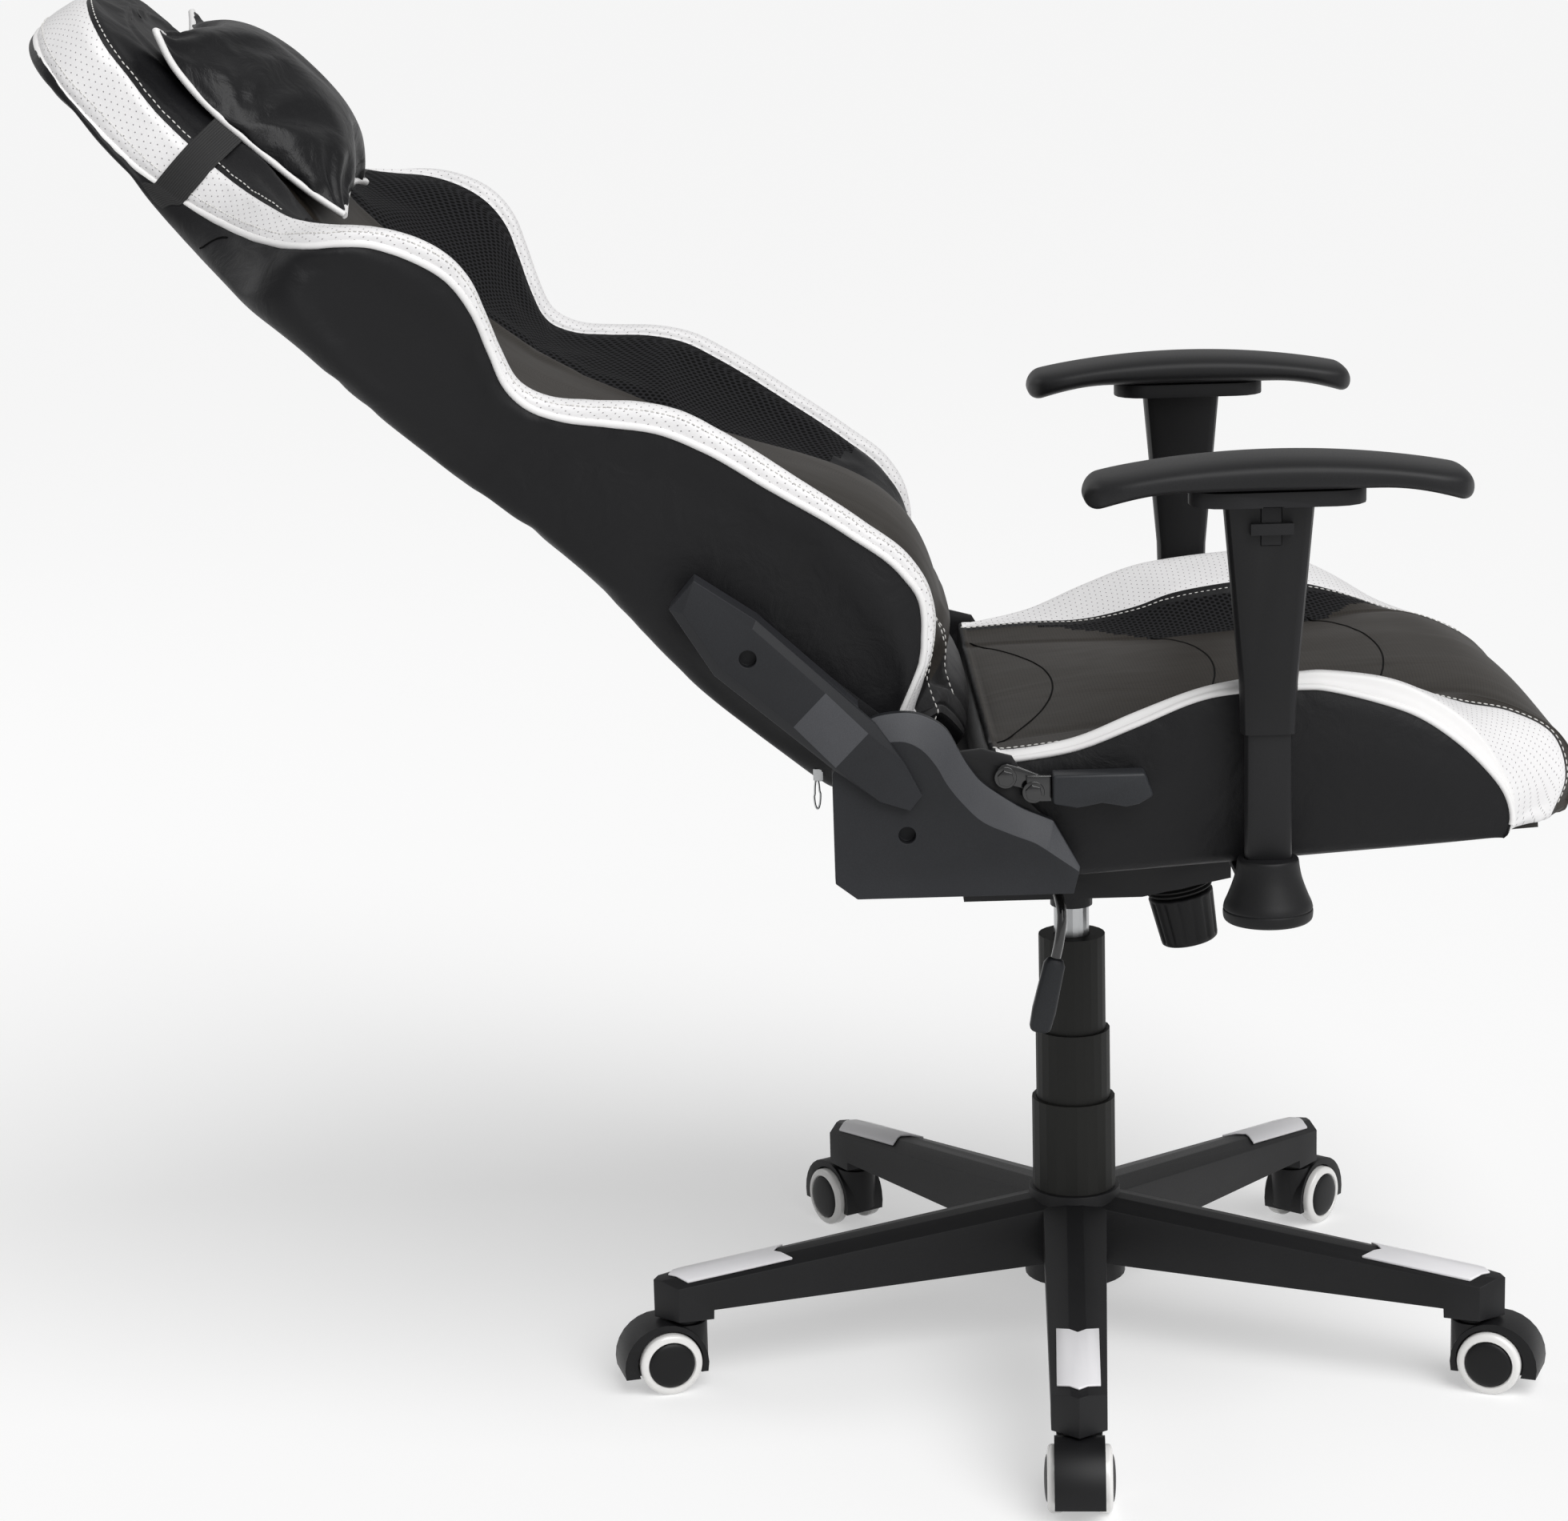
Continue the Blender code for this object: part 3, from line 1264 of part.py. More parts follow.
def build_chair():
    root = joint("chair_base")
    legs = []
    for i in range(leg_count):
        turn = pi - (first_leg_turn + 2 * pi * i / leg_count)
        legs.append(joint(f"leg_{i + 1}", root, rotation=(0, 0, turn)))
    build_base(root, legs)
    housing = caster_housing_mesh()
    wheel = wheel_mesh()
    for number, leg_frame in enumerate(legs, 1):
        build_leg_cap(number, leg_frame)
        build_caster(number, leg_frame, housing, wheel)

    lift = joint("gas_lift", root)
    build_column(root, joint("upper_cover_slide", root), joint("middle_cover_slide", root), lift)
    swivel = joint("seat_swivel", lift)
    build_mechanism(swivel)
    build_tension_knob(swivel)
    build_gas_lever(swivel)

    tilt = joint("seat_tilt", swivel)
    seat = joint("seat_plane", tilt, (0, 0, seat_origin_z), (-seat_slope, 0, 0))
    build_tilt_plate(seat)
    build_seat(seat)
    pin_line = joint("hinge_pin_line", tilt, (0, hinge_y, hinge_z))
    back = joint("backrest_hinge", tilt, (0, hinge_y, hinge_z), (-recline, 0, 0))
    build_back_frame(back)
    build_backrest(back)
    build_pillow(back)
    build_recline_lever(tilt)
    for name, side in (("right", -1), ("left", 1)):
        build_hinge_side(name, side, pin_line)
        build_upper_cover(name, side, back)
        build_armrest(name, side, tilt, seat)


clear_scene()
chair = collection("gaming_chair")
cutters = collection("cutters")
cutters.hide_render = True
black_nylon = material("black_nylon", (0.018, 0.018, 0.019), 0.50)
black_plastic = material("black_plastic", (0.012, 0.012, 0.012), 0.45)
grey_plastic = material("grey_plastic", (0.060, 0.060, 0.066), 0.50)
white_plastic = material("white_plastic", (0.80, 0.80, 0.80), 0.25)
black_rubber = material("black_rubber", (0.015, 0.015, 0.015), 0.60)
black_steel = material("black_steel", (0.010, 0.010, 0.010), 0.35, 0.6)
dark_steel = material("dark_steel", (0.05, 0.05, 0.05), 0.40, 0.8)
bright_steel = material("bright_steel", (0.60, 0.60, 0.60), 0.25, 1.0)
black_leather = material("black_leather", (0.012, 0.012, 0.012), 0.40)
black_elastic = material("black_elastic", (0.010, 0.010, 0.010), 0.80)
board_wood = material("board_wood", (0.40, 0.28, 0.16), 0.70)
build_chair()
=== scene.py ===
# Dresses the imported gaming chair: leather, mesh, piping, stitching, mouldings, light and camera.
import json
import math

import bmesh
import bpy
import numpy as np
from mathutils import Matrix, Vector
from mathutils.bvhtree import BVHTree

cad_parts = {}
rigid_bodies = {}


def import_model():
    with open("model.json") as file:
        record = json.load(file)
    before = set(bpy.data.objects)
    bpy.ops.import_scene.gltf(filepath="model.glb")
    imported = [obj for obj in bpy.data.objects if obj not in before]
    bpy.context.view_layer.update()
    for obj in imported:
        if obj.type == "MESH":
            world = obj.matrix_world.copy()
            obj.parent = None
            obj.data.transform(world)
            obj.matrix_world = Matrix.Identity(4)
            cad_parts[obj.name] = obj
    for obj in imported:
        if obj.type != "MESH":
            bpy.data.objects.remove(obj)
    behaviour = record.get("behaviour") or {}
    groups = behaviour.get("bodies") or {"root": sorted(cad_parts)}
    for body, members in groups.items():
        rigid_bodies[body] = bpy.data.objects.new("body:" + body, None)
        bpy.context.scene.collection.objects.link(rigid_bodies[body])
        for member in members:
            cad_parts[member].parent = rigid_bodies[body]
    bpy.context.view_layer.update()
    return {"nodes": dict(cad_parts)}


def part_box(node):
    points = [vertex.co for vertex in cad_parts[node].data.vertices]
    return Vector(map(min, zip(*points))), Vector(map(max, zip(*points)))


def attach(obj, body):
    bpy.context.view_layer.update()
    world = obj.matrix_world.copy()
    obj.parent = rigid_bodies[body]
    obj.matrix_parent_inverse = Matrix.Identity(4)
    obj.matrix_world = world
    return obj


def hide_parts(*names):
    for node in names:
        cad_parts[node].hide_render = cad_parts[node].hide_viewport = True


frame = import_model()
print("frame loaded:", len(frame["nodes"]), "nodes")

sides = {"right": -1, "left": 1}  # the sitter's right hand is at -X


# Small tools


def linearColor(code):
    parts = [int(code[i : i + 2], 16) / 255 for i in (1, 3, 5)]
    return tuple(c / 12.92 if c <= 0.04045 else ((c + 0.055) / 1.055) ** 2.4 for c in parts) + (1.0,)


def addNode(tree, kind, inputs=None, **settings):
    node = tree.nodes.new(kind)
    for name, value in settings.items():
        setattr(node, name, value)
    for key, value in (inputs or {}).items():
        if isinstance(value, bpy.types.NodeSocket):
            tree.links.new(value, node.inputs[key])
        else:
            node.inputs[key].default_value = value
    return node


def newPiece(name, mesh, *materials):
    piece = bpy.data.objects.new(name, mesh)
    bpy.context.scene.collection.objects.link(piece)
    for finish in materials:
        mesh.materials.append(finish)
    return piece


def meshFrom(name, points, faces):
    mesh = bpy.data.meshes.new(name)
    mesh.from_pydata([tuple(map(float, p)) for p in points], [], [tuple(map(int, f)) for f in faces])
    mesh.update()
    return mesh


def between(first, second, count):
    # The faces between two rings of points that start at these numbers.
    ahead = [(i + 1) % count for i in range(count)]
    return [(first + i, first + k, second + k, second + i) for i, k in enumerate(ahead)]


def endFaces(total, count):
    return [tuple(range(count)), tuple(range(total - count, total))]


def coordsOf(mesh, kind="co"):
    values = np.empty(len(mesh.vertices) * 3)
    mesh.vertices.foreach_get(kind, values)
    return values.reshape(-1, 3)


def cleaned(mesh, distance=0.00002):
    work = bmesh.new()
    work.from_mesh(mesh)
    bmesh.ops.remove_doubles(work, verts=work.verts, dist=distance)
    bmesh.ops.dissolve_degenerate(work, edges=work.edges, dist=distance / 2)
    bmesh.ops.recalc_face_normals(work, faces=work.faces)
    work.to_mesh(mesh)
    work.free()
    return mesh


def shadeSmooth(mesh, angle=None):
    mesh.polygons.foreach_set("use_smooth", [True] * len(mesh.polygons))
    if angle is not None:
        mesh.set_sharp_from_angle(angle=math.radians(angle))


def applied(piece, *modifiers):
    # Adds modifiers as (type, settings) pairs and keeps what they make.
    for kind, settings in modifiers:
        modifier = piece.modifiers.new(kind.lower(), kind)
        for name, value in settings.items():
            setattr(modifier, name, value)
    graph = bpy.context.evaluated_depsgraph_get()
    made = bpy.data.meshes.new_from_object(piece.evaluated_get(graph), depsgraph=graph)
    piece.modifiers.clear()
    piece.data = made
    return piece


def softened(piece):
    shadeSmooth(piece.data)
    applied(piece, ("SUBSURF", {"levels": 1, "render_levels": 1}))
    shadeSmooth(piece.data)


def smoothTable(table, at):
    # A smooth curve through rows of (position, value, value...), read at the given positions.
    rows = np.array(table, float)
    spot, value = rows[:, 0], rows[:, 1:]
    step = np.diff(spot)
    slope = np.diff(value, axis=0) / step[:, None]
    tangent = np.empty_like(value)
    tangent[0], tangent[-1] = slope[0], slope[-1]
    share = (step[1:] / (step[:-1] + step[1:]))[:, None]
    tangent[1:-1] = slope[:-1] * share + slope[1:] * (1 - share)
    at = np.atleast_1d(np.asarray(at, float))
    i = np.clip(np.searchsorted(spot, at, side="right") - 1, 0, len(spot) - 2)
    u = np.clip((at - spot[i]) / step[i], 0, 1)[:, None]
    width = step[i][:, None]
    start = (2 * u**3 - 3 * u**2 + 1) * value[i] + (u**3 - 2 * u**2 + u) * width * tangent[i]
    return start + (3 * u**2 - 2 * u**3) * value[i + 1] + (u**3 - u**2) * width * tangent[i + 1]


def ramp(low, high, at):
    u = np.clip((np.asarray(at, float) - low) / (high - low), 0, 1)
    return u * u * (3 - 2 * u)


def alongPath(path, count):
    # count points on a smooth curve through the path's points, evenly between them.
    return smoothTable([(i, *spot) for i, spot in enumerate(path)], np.linspace(0, len(path) - 1, count))


# Finishes


def newFinish(name, **shader):
    finish = bpy.data.materials.new(name)
    finish.use_nodes = True
    tree = finish.node_tree
    tree.nodes.clear()
    surface = addNode(tree, "ShaderNodeBsdfPrincipled", {k.replace("_", " "): v for k, v in shader.items()})
    addNode(tree, "ShaderNodeOutputMaterial", {"Surface": surface.outputs["BSDF"]})
    place = addNode(tree, "ShaderNodeTexCoord")
    return finish, tree, surface, place


def noise(tree, spot, scale, detail, **more):
    inputs = {"Vector": spot, "Scale": scale, "Detail": detail} | {k.capitalize(): v for k, v in more.items()}
    return addNode(tree, "ShaderNodeTexNoise", inputs).outputs["Fac"]


def cells(tree, spot, pitch):
    inputs = {"Vector": spot, "Scale": 1 / pitch}
    return addNode(tree, "ShaderNodeTexVoronoi", inputs, feature="DISTANCE_TO_EDGE").outputs["Distance"]


def mapped(tree, value, **span):
    inputs = {"Value": value} | {k.replace("_", " ").title(): v for k, v in span.items()}
    return addNode(tree, "ShaderNodeMapRange", inputs).outputs[0]


def combined(tree, operation, *values, **settings):
    return addNode(tree, "ShaderNodeMath", dict(enumerate(values)), operation=operation, **settings).outputs[0]


def mixedColor(tree, share, low, high):
    low, high = (linearColor(c) if isinstance(c, str) else c for c in (low, high))
    return addNode(tree, "ShaderNodeMix", {0: share, 6: low, 7: high}, data_type="RGBA").outputs[2]


def tinted(tree, surface, share, low, high):
    tree.links.new(mixedColor(tree, share, low, high), surface.inputs["Base Color"])


def roughened(tree, surface, share, low, high):
    tree.links.new(mapped(tree, share, to_min=low, to_max=high), surface.inputs["Roughness"])


def bumped(tree, surface, *layers):
    # Each layer is (height socket, strength, depth in metres), from the coarsest to the finest.
    normal = None
    for height, strength, depth in layers:
        inputs = {"Height": height, "Strength": strength, "Distance": depth}
        if normal is not None:
            inputs["Normal"] = normal
        normal = addNode(tree, "ShaderNodeBump", inputs).outputs[0]
    tree.links.new(normal, surface.inputs["Normal"])


def staggeredDots(tree, vector, pitch):
    # Distance to the nearest dot of a staggered pattern, in metres. Rows stand pitch * 0.866 apart.
    tall = pitch * math.sqrt(3)
    nearest = []
    for shift in (0.0, 0.5):
        inputs = {0: vector, 1: (1 / pitch, 1 / tall, 0), 2: (shift, shift, 0)}
        spot = addNode(tree, "ShaderNodeVectorMath", inputs, operation="MULTIPLY_ADD")
        cell = addNode(tree, "ShaderNodeVectorMath", {0: spot.outputs[0]}, operation="FRACTION")
        inputs = {0: cell.outputs[0], 1: (pitch, tall, 0), 2: (-pitch / 2, -tall / 2, 0)}
        offset = addNode(tree, "ShaderNodeVectorMath", inputs, operation="MULTIPLY_ADD")
        nearest.append(addNode(tree, "ShaderNodeVectorMath", {0: offset.outputs[0]}, operation="LENGTH").outputs[1])
    return combined(tree, "MINIMUM", *nearest)


leatherLook = {
    "grain": 0.0011,  # metres across one pebble of the embossed grain
    "crease": 0.028,  # length of the soft creases over the foam
    "dark": "#0d0d0f",
    "light": "#161618",
}


def coatedLeather(name, dark, light, low, high, crease=0.5):
    # PU-coated fabric, embossed with a fine pebble: soft broad highlights, faint creases.
    finish, tree, surface, place = newFinish(name, Specular_IOR_Level=0.24)
    spot = place.outputs["Object"]
    pebbles = mapped(tree, cells(tree, spot, leatherLook["grain"]), from_max=0.22)
    creases = noise(tree, spot, 1 / leatherLook["crease"], 5.0, roughness=0.55, distortion=0.6)
    tinted(tree, surface, noise(tree, spot, 9.0, 3.0), dark, light)
    roughened(tree, surface, creases, low, high)
    bumped(tree, surface, (creases, crease, 0.003), (pebbles, 0.22, 0.00012))
    return finish


blackLeather = coatedLeather("black_pu_leather", leatherLook["dark"], leatherLook["light"], 0.40, 0.54)
pillowLeather = coatedLeather("pillow_pu_leather", "#0c0c0e", "#141416", 0.30, 0.44, crease=0.8)


def embossedLeather():
    # Brown-black PU pressed with close rows of tiny steps: the panel reads as finely ribbed.
    warm = {"Specular_IOR_Level": 0.3, "Specular_Tint": (1.0, 0.93, 0.85, 1.0)}
    finish, tree, surface, place = newFinish("embossed_brown_black_leather", **warm)
    spot = place.outputs["Object"]
    # The real rows stand about 1.3 mm apart. They are drawn at 2.6 mm, so that they show.
    rows = {"Scale": 1 / 0.0052, "Mortar Size": 0.06, "Mortar Smooth": 0.6, "Brick Width": 0.9, "Row Height": 0.5}
    bricks = addNode(tree, "ShaderNodeTexBrick", {"Vector": place.outputs["UV"]} | rows).outputs["Fac"]
    long = addNode(tree, "ShaderNodeMapping", {"Vector": spot, "Scale": (22.0, 9.0, 14.0)})
    folds = noise(tree, long.outputs[0], 1.0, 4.0, distortion=0.7)
    base = mixedColor(tree, noise(tree, spot, 11.0, 3.0), "#221f1b", "#2f2a25")
    # The grooves between the rows are painted near-black: painted shade in the grooves.
    tinted(tree, surface, bricks, base, "#0c0b0a")
    roughened(tree, surface, folds, 0.46, 0.6)
    bumped(tree, surface, (folds, 0.3, 0.002), (bricks, -0.6, 0.0004))
    return finish


def airMesh():
    # Knitted polyester spacer mesh: dull black threads round staggered openings, which are painted darker: painted
    # shade inside the openings.
    dull = {"Roughness": 0.9, "Specular_IOR_Level": 0.12, "Sheen_Weight": 0.02, "Sheen_Roughness": 0.5}
    finish, tree, surface, place = newFinish("black_air_mesh", **dull)
    spot = place.outputs["UV"]
    depth = mapped(tree, staggeredDots(tree, spot, 0.0046), from_min=0.0011, from_max=0.0019)
    threads = noise(tree, spot, 900.0, 2.0)
    weave = combined(tree, "MULTIPLY_ADD", threads, 0.35, 0.65)
    tinted(tree, surface, combined(tree, "MULTIPLY", depth, weave), "#020202", "#2a2a2c")
    bumped(tree, surface, (depth, 0.8, 0.0009), (threads, 0.3, 0.0002))
    return finish


def perforatedWhite():
    # White PU pricked with 0.8 mm holes in staggered rows about 5 mm apart: crisp grey dots, painted shade inside the
    # holes.
    finish, tree, surface, place = newFinish("white_perforated_pu", Specular_IOR_Level=0.45, Subsurface_Weight=0.0)
    spot = place.outputs["Object"]
    solid = mapped(tree, staggeredDots(tree, place.outputs["UV"], 0.0052), from_min=0.00038, from_max=0.00062)
    cloud = noise(tree, spot, 30.0, 4.0)
    tinted(tree, surface, solid, "#8d8a8c", mixedColor(tree, cloud, "#ecebec", "#f4f3f3"))
    roughened(tree, surface, cloud, 0.4, 0.52)
    bumped(tree, surface, (cloud, 0.25, 0.002), (solid, 0.6, 0.0004), (cells(tree, spot, 0.0012), 0.1, 0.0001))
    return finish


def plainCoat(name, dark, light, low, high, scale=40.0, depth=0.0002, **shader):
    # A surface with one fine texture, a little colour drift and uneven gloss.
    finish, tree, surface, place = newFinish(name, **shader)
    spot = place.outputs["Object"]
    fine = noise(tree, spot, scale, 3.0, roughness=0.7)
    tinted(tree, surface, noise(tree, spot, 14.0, 4.0, roughness=0.6), dark, light)
    roughened(tree, surface, fine, low, high)
    bumped(tree, surface, (fine, 0.15, depth))
    return finish


def mouldedPlastic(name, dark, light, low, high, grit=0.0009, strength=0.35):
    # Spark-eroded mould texture, grit about 0.3 mm, drawn at 0.9 mm: a dry, even, sparkling satin.
    finish, tree, surface, place = newFinish(name, Specular_IOR_Level=0.27)
    spot = place.outputs["Object"]
    grain = noise(tree, spot, 1 / grit, 2.0, roughness=0.6)
    speck = combined(tree, "MULTIPLY", grain, noise(tree, spot, 12.0, 4.0))
    # Convex edges are made lighter through Pointiness: a painted highlight along the edges.
    edge = addNode(tree, "ShaderNodeNewGeometry").outputs["Pointiness"]
    edgeHighlight = mapped(tree, edge, from_min=0.515, from_max=0.6, to_max=0.55)
    tinted(tree, surface, combined(tree, "ADD", speck, edgeHighlight, use_clamp=True), dark, light)
    roughened(tree, surface, grain, low, high)
    bumped(tree, surface, (grain, strength, 0.00012))
    return finish


whitePiping = plainCoat("white_pu_piping", "#f2f1f1", "#f9f8f7", 0.34, 0.46, Specular_IOR_Level=0.45)
# A near-black cord finish laid along seams: painted shade of the seam grooves.
seamShadeCord = plainCoat("black_sewing_thread", "#050505", "#0a0a0a", 0.8, 0.9, scale=900.0, Specular_IOR_Level=0.1)
whiteThread = plainCoat("white_polyester_thread", "#dcdad6", "#efeeeb", 0.6, 0.75, scale=900.0, depth=0.0001)
blackPlastic = mouldedPlastic("black_moulded_nylon", "#0a0a0b", "#212123", 0.42, 0.6)
coverPlastic = mouldedPlastic("charcoal_abs_cover", "#151618", "#313236", 0.46, 0.62)
# A lighter copy of the charcoal cover plastic for the covers' bevels and one facet: a painted highlight on them.
coverLitBevel = mouldedPlastic("charcoal_abs_satin", "#37383b", "#5c5d61", 0.36, 0.5, grit=0.0007)
gripPlastic = mouldedPlastic("charcoal_abs_grip", "#191a1c", "#36383c", 0.34, 0.5)
basePlastic = mouldedPlastic("glass_filled_nylon", "#0f0f10", "#262628", 0.44, 0.62, grit=0.0012)
capPlastic = plainCoat("white_abs_cap", "#eeedf0", "#f7f6f8", 0.28, 0.36, scale=120.0)
treadPlastic = plainCoat("white_polyurethane_tread", "#efeeec", "#f8f7f5", 0.16, 0.26, Coat_Weight=0.4, Coat_Roughness=0.1)
casterPlastic = mouldedPlastic("black_caster_nylon", "#09090a", "#1a1a1c", 0.36, 0.55)
coverSleeve = mouldedPlastic("black_column_cover", "#0d0d0c", "#20201e", 0.5, 0.66)

zincSteel = plainCoat("zinc_plated_steel", "#a9abad", "#c3c4c4", 0.22, 0.42, scale=400.0, Metallic=1.0)
glossSteel = plainCoat("black_enamelled_steel", "#070708", "#101012", 0.10, 0.2, scale=60.0, Coat_Weight=0.6, Coat_Roughness=0.06)
powderSteel = mouldedPlastic("black_powder_coated_steel", "#0c0c0d", "#202022", 0.4, 0.58, grit=0.0011)
boardWood = plainCoat("stained_plywood", "#15130f", "#221e18", 0.55, 0.75, scale=160.0, depth=0.0004)
blackRubber = plainCoat("black_rubber", "#0b0b0b", "#171717", 0.45, 0.65, scale=350.0)
padSkin = mouldedPlastic("soft_touch_polyurethane", "#111112", "#28282a", 0.4, 0.52, grit=0.0016, strength=0.22)


def ribbedElastic():
    # Knitted elastic webbing: fine lengthwise ribs about 1.4 mm apart, drawn as they are.
    dull = {"Roughness": 0.8, "Sheen_Weight": 0.2, "Sheen_Roughness": 0.4}
    finish, tree, surface, place = newFinish("black_ribbed_elastic", **dull)
    spot = place.outputs["UV"]
    waves = {"Vector": spot, "Scale": 1 / 0.0029 / 6.2832 * 3.1416, "Distortion": 0.4, "Detail": 1.0}
    ribs = addNode(tree, "ShaderNodeTexWave", waves, wave_type="BANDS", bands_direction="X").outputs["Fac"]
    knit = noise(tree, spot, 1400.0, 1.0)
    # The colour follows the ribs, darker between them: painted shade in the rib valleys.
    tinted(tree, surface, combined(tree, "MULTIPLY", ribs, knit), "#101010", "#333334")
    bumped(tree, surface, (ribs, 0.7, 0.0005), (knit, 0.3, 0.0002))
    return finish


embossedPanel = embossedLeather()
blackMesh = airMesh()
whiteBand = perforatedWhite()
elasticBand = ribbedElastic()
print("finishes made")


# Padding tools


mirrorX = np.array((-1.0, 1.0, 1.0))


def wholeRings(half):
    # Rows of half rings that run from x = 0 round to x = 0 become rows of closed rings, with their faces.
    ring = np.concatenate((half, half[:, -2:0:-1] * mirrorX), axis=1)
    rows, around, _ = ring.shape
    at = np.arange(rows * around).reshape(rows, around)
    ahead = np.roll(at, -1, axis=1)
    faces = np.stack((at[:-1], ahead[:-1], ahead[1:], at[1:]), axis=-1).reshape(-1, 4)
    return ring, faces


def sheetFaces(rows, columns):
    at = np.arange(rows * columns).reshape(rows, columns)
    return np.stack((at[:-1, :-1], at[:-1, 1:], at[1:, 1:], at[1:, :-1]), axis=-1).reshape(-1, 4)


def nearColumn(columns, at, width):
    # 1 on one column of a grid, falling off over width columns to each side.
    return np.exp(-(((np.arange(columns) - at) / width) ** 2))[None, :]


def clothLengths(grid, seam):
    # Metres across each row from the seam's column, and metres along each column.
    rows, columns, _ = grid.shape
    across = np.cumsum(np.linalg.norm(np.diff(grid, axis=1), axis=2), axis=1)
    across = np.concatenate((np.zeros((rows, 1)), across), axis=1)
    along = np.cumsum(np.linalg.norm(np.diff(grid, axis=0), axis=2), axis=0)
    return across - across[:, seam, None], np.concatenate((np.zeros((1, columns)), along), axis=0)


def setUvs(mesh, values):
    layer = mesh.uv_layers.new(name="panel")
    loops = np.empty(len(mesh.loops), int)
    mesh.loops.foreach_get("vertex_index", loops)
    layer.data.foreach_set("uv", values[loops].astype(np.float32).ravel())


def placed(points, matrix):
    flat = np.asarray(points, float).reshape(-1, 3)
    turned = flat @ np.array(matrix.to_3x3()).T + np.array(matrix.translation)
    return turned.reshape(np.shape(points))


def smoothed(values, rounds):
    for _ in range(rounds):
        values[1:-1] = 0.25 * values[:-2] + 0.5 * values[1:-1] + 0.25 * values[2:]
    return values


padding = {
    "frames": 20,
    "pressure": 4.0,
    "stiffness": 30.0,
    "bending": 3.0,
    "start": 0.002,  # the cover starts this far inside its finished form
}


def puffed(piece, held, cap, slack=0.012):
    # Blows the cover up a little between its seams, so that it wrinkles as a stuffed cover does.
    scene = bpy.context.scene
    mesh = piece.data
    rest, normal = coordsOf(mesh), coordsOf(mesh, "normal")
    loose = 1 - np.asarray(held, float)
    trial = bpy.data.objects.new("puff_trial", mesh.copy())
    scene.collection.objects.link(trial)
    start = rest - normal * (padding["start"] * loose)[:, None]
    trial.data.vertices.foreach_set("co", start.ravel())
    group = trial.vertex_groups.new(name="seams")
    for index in np.nonzero(loose < 0.999)[0]:
        group.add([int(index)], float(1 - loose[index]), "REPLACE")
    cloth = trial.modifiers.new("cloth", "CLOTH")
    feel = {
        "quality": 6,
        "mass": 0.3,
        "tension_stiffness": padding["stiffness"],
        "compression_stiffness": padding["stiffness"],
        "shear_stiffness": 8.0,
        "bending_stiffness": padding["bending"],
        "use_pressure": True,
        "uniform_pressure_force": padding["pressure"],
        "vertex_group_mass": "seams",
        "shrink_min": -slack,  # the cover is cut a little larger than its form
    }
    for name, value in feel.items():
        setattr(cloth.settings, name, value)
    cloth.settings.effector_weights.gravity = 0.0
    cloth.collision_settings.use_collision = False
    scene.frame_start, scene.frame_end = 1, padding["frames"]
    cloth.point_cache.frame_start, cloth.point_cache.frame_end = 1, padding["frames"]
    for number in range(1, padding["frames"] + 1):
        scene.frame_set(number)
    shown = trial.evaluated_get(bpy.context.evaluated_depsgraph_get()).data
    move = coordsOf(shown) - rest
    length = np.linalg.norm(move, axis=1)
    print(f"  {piece.name}: cover moved {1000 * length.mean():.2f} mm, {1000 * length.max():.1f} mm at most")
    move *= (cap * np.tanh(length / cap) / np.maximum(length, 1e-9))[:, None]
    mesh.vertices.foreach_set("co", (rest + move * loose[:, None]).ravel())
    mesh.update()
    scene.frame_set(1)
    bpy.data.objects.remove(trial)


def edgeLines(name, lines):
    # Polylines as one mesh of loose edges, for piping and stitches to follow.
    points, edges = [], []
    for line in lines:
        first = len(points)
        points += [tuple(map(float, p)) for p in line]
        edges += [(i, i + 1) for i in range(first, len(points) - 1)]
    mesh = bpy.data.meshes.new(name)
    mesh.from_pydata(points, edges, [])
    return bpy.data.objects.new(name, mesh)


def newTree(name, **sizes):
    tree = bpy.data.node_groups.new(name, "GeometryNodeTree")
    tree.interface.new_socket("Geometry", in_out="INPUT", socket_type="NodeSocketGeometry")
    for label, value in sizes.items():
        kind = "NodeSocketMaterial" if value is None else "NodeSocketFloat"
        socket = tree.interface.new_socket(label, in_out="INPUT", socket_type=kind)
        if value is not None:
            socket.default_value = value
    tree.interface.new_socket("Geometry", in_out="OUTPUT", socket_type="NodeSocketGeometry")
    return tree, tree.nodes.new("NodeGroupInput")


def finishTree(tree, geometry, inputs):
    real = addNode(tree, "GeometryNodeRealizeInstances", {"Geometry": geometry})
    material = inputs.outputs["Material"]
    coat = addNode(tree, "GeometryNodeSetMaterial", {"Geometry": real.outputs[0], "Material": material})
    smooth = addNode(tree, "GeometryNodeSetShadeSmooth", {"Geometry": coat.outputs[0]})
    addNode(tree, "NodeGroupOutput", {"Geometry": smooth.outputs[0]})
    return tree


def spacedCurve(tree, inputs, length):
    line = addNode(tree, "GeometryNodeMeshToCurve", {"Mesh": inputs.outputs["Geometry"]})
    spacing = {"Curve": line.outputs[0], "Length": inputs.outputs[length]}
    return addNode(tree, "GeometryNodeResampleCurve", spacing, mode="LENGTH").outputs[0]


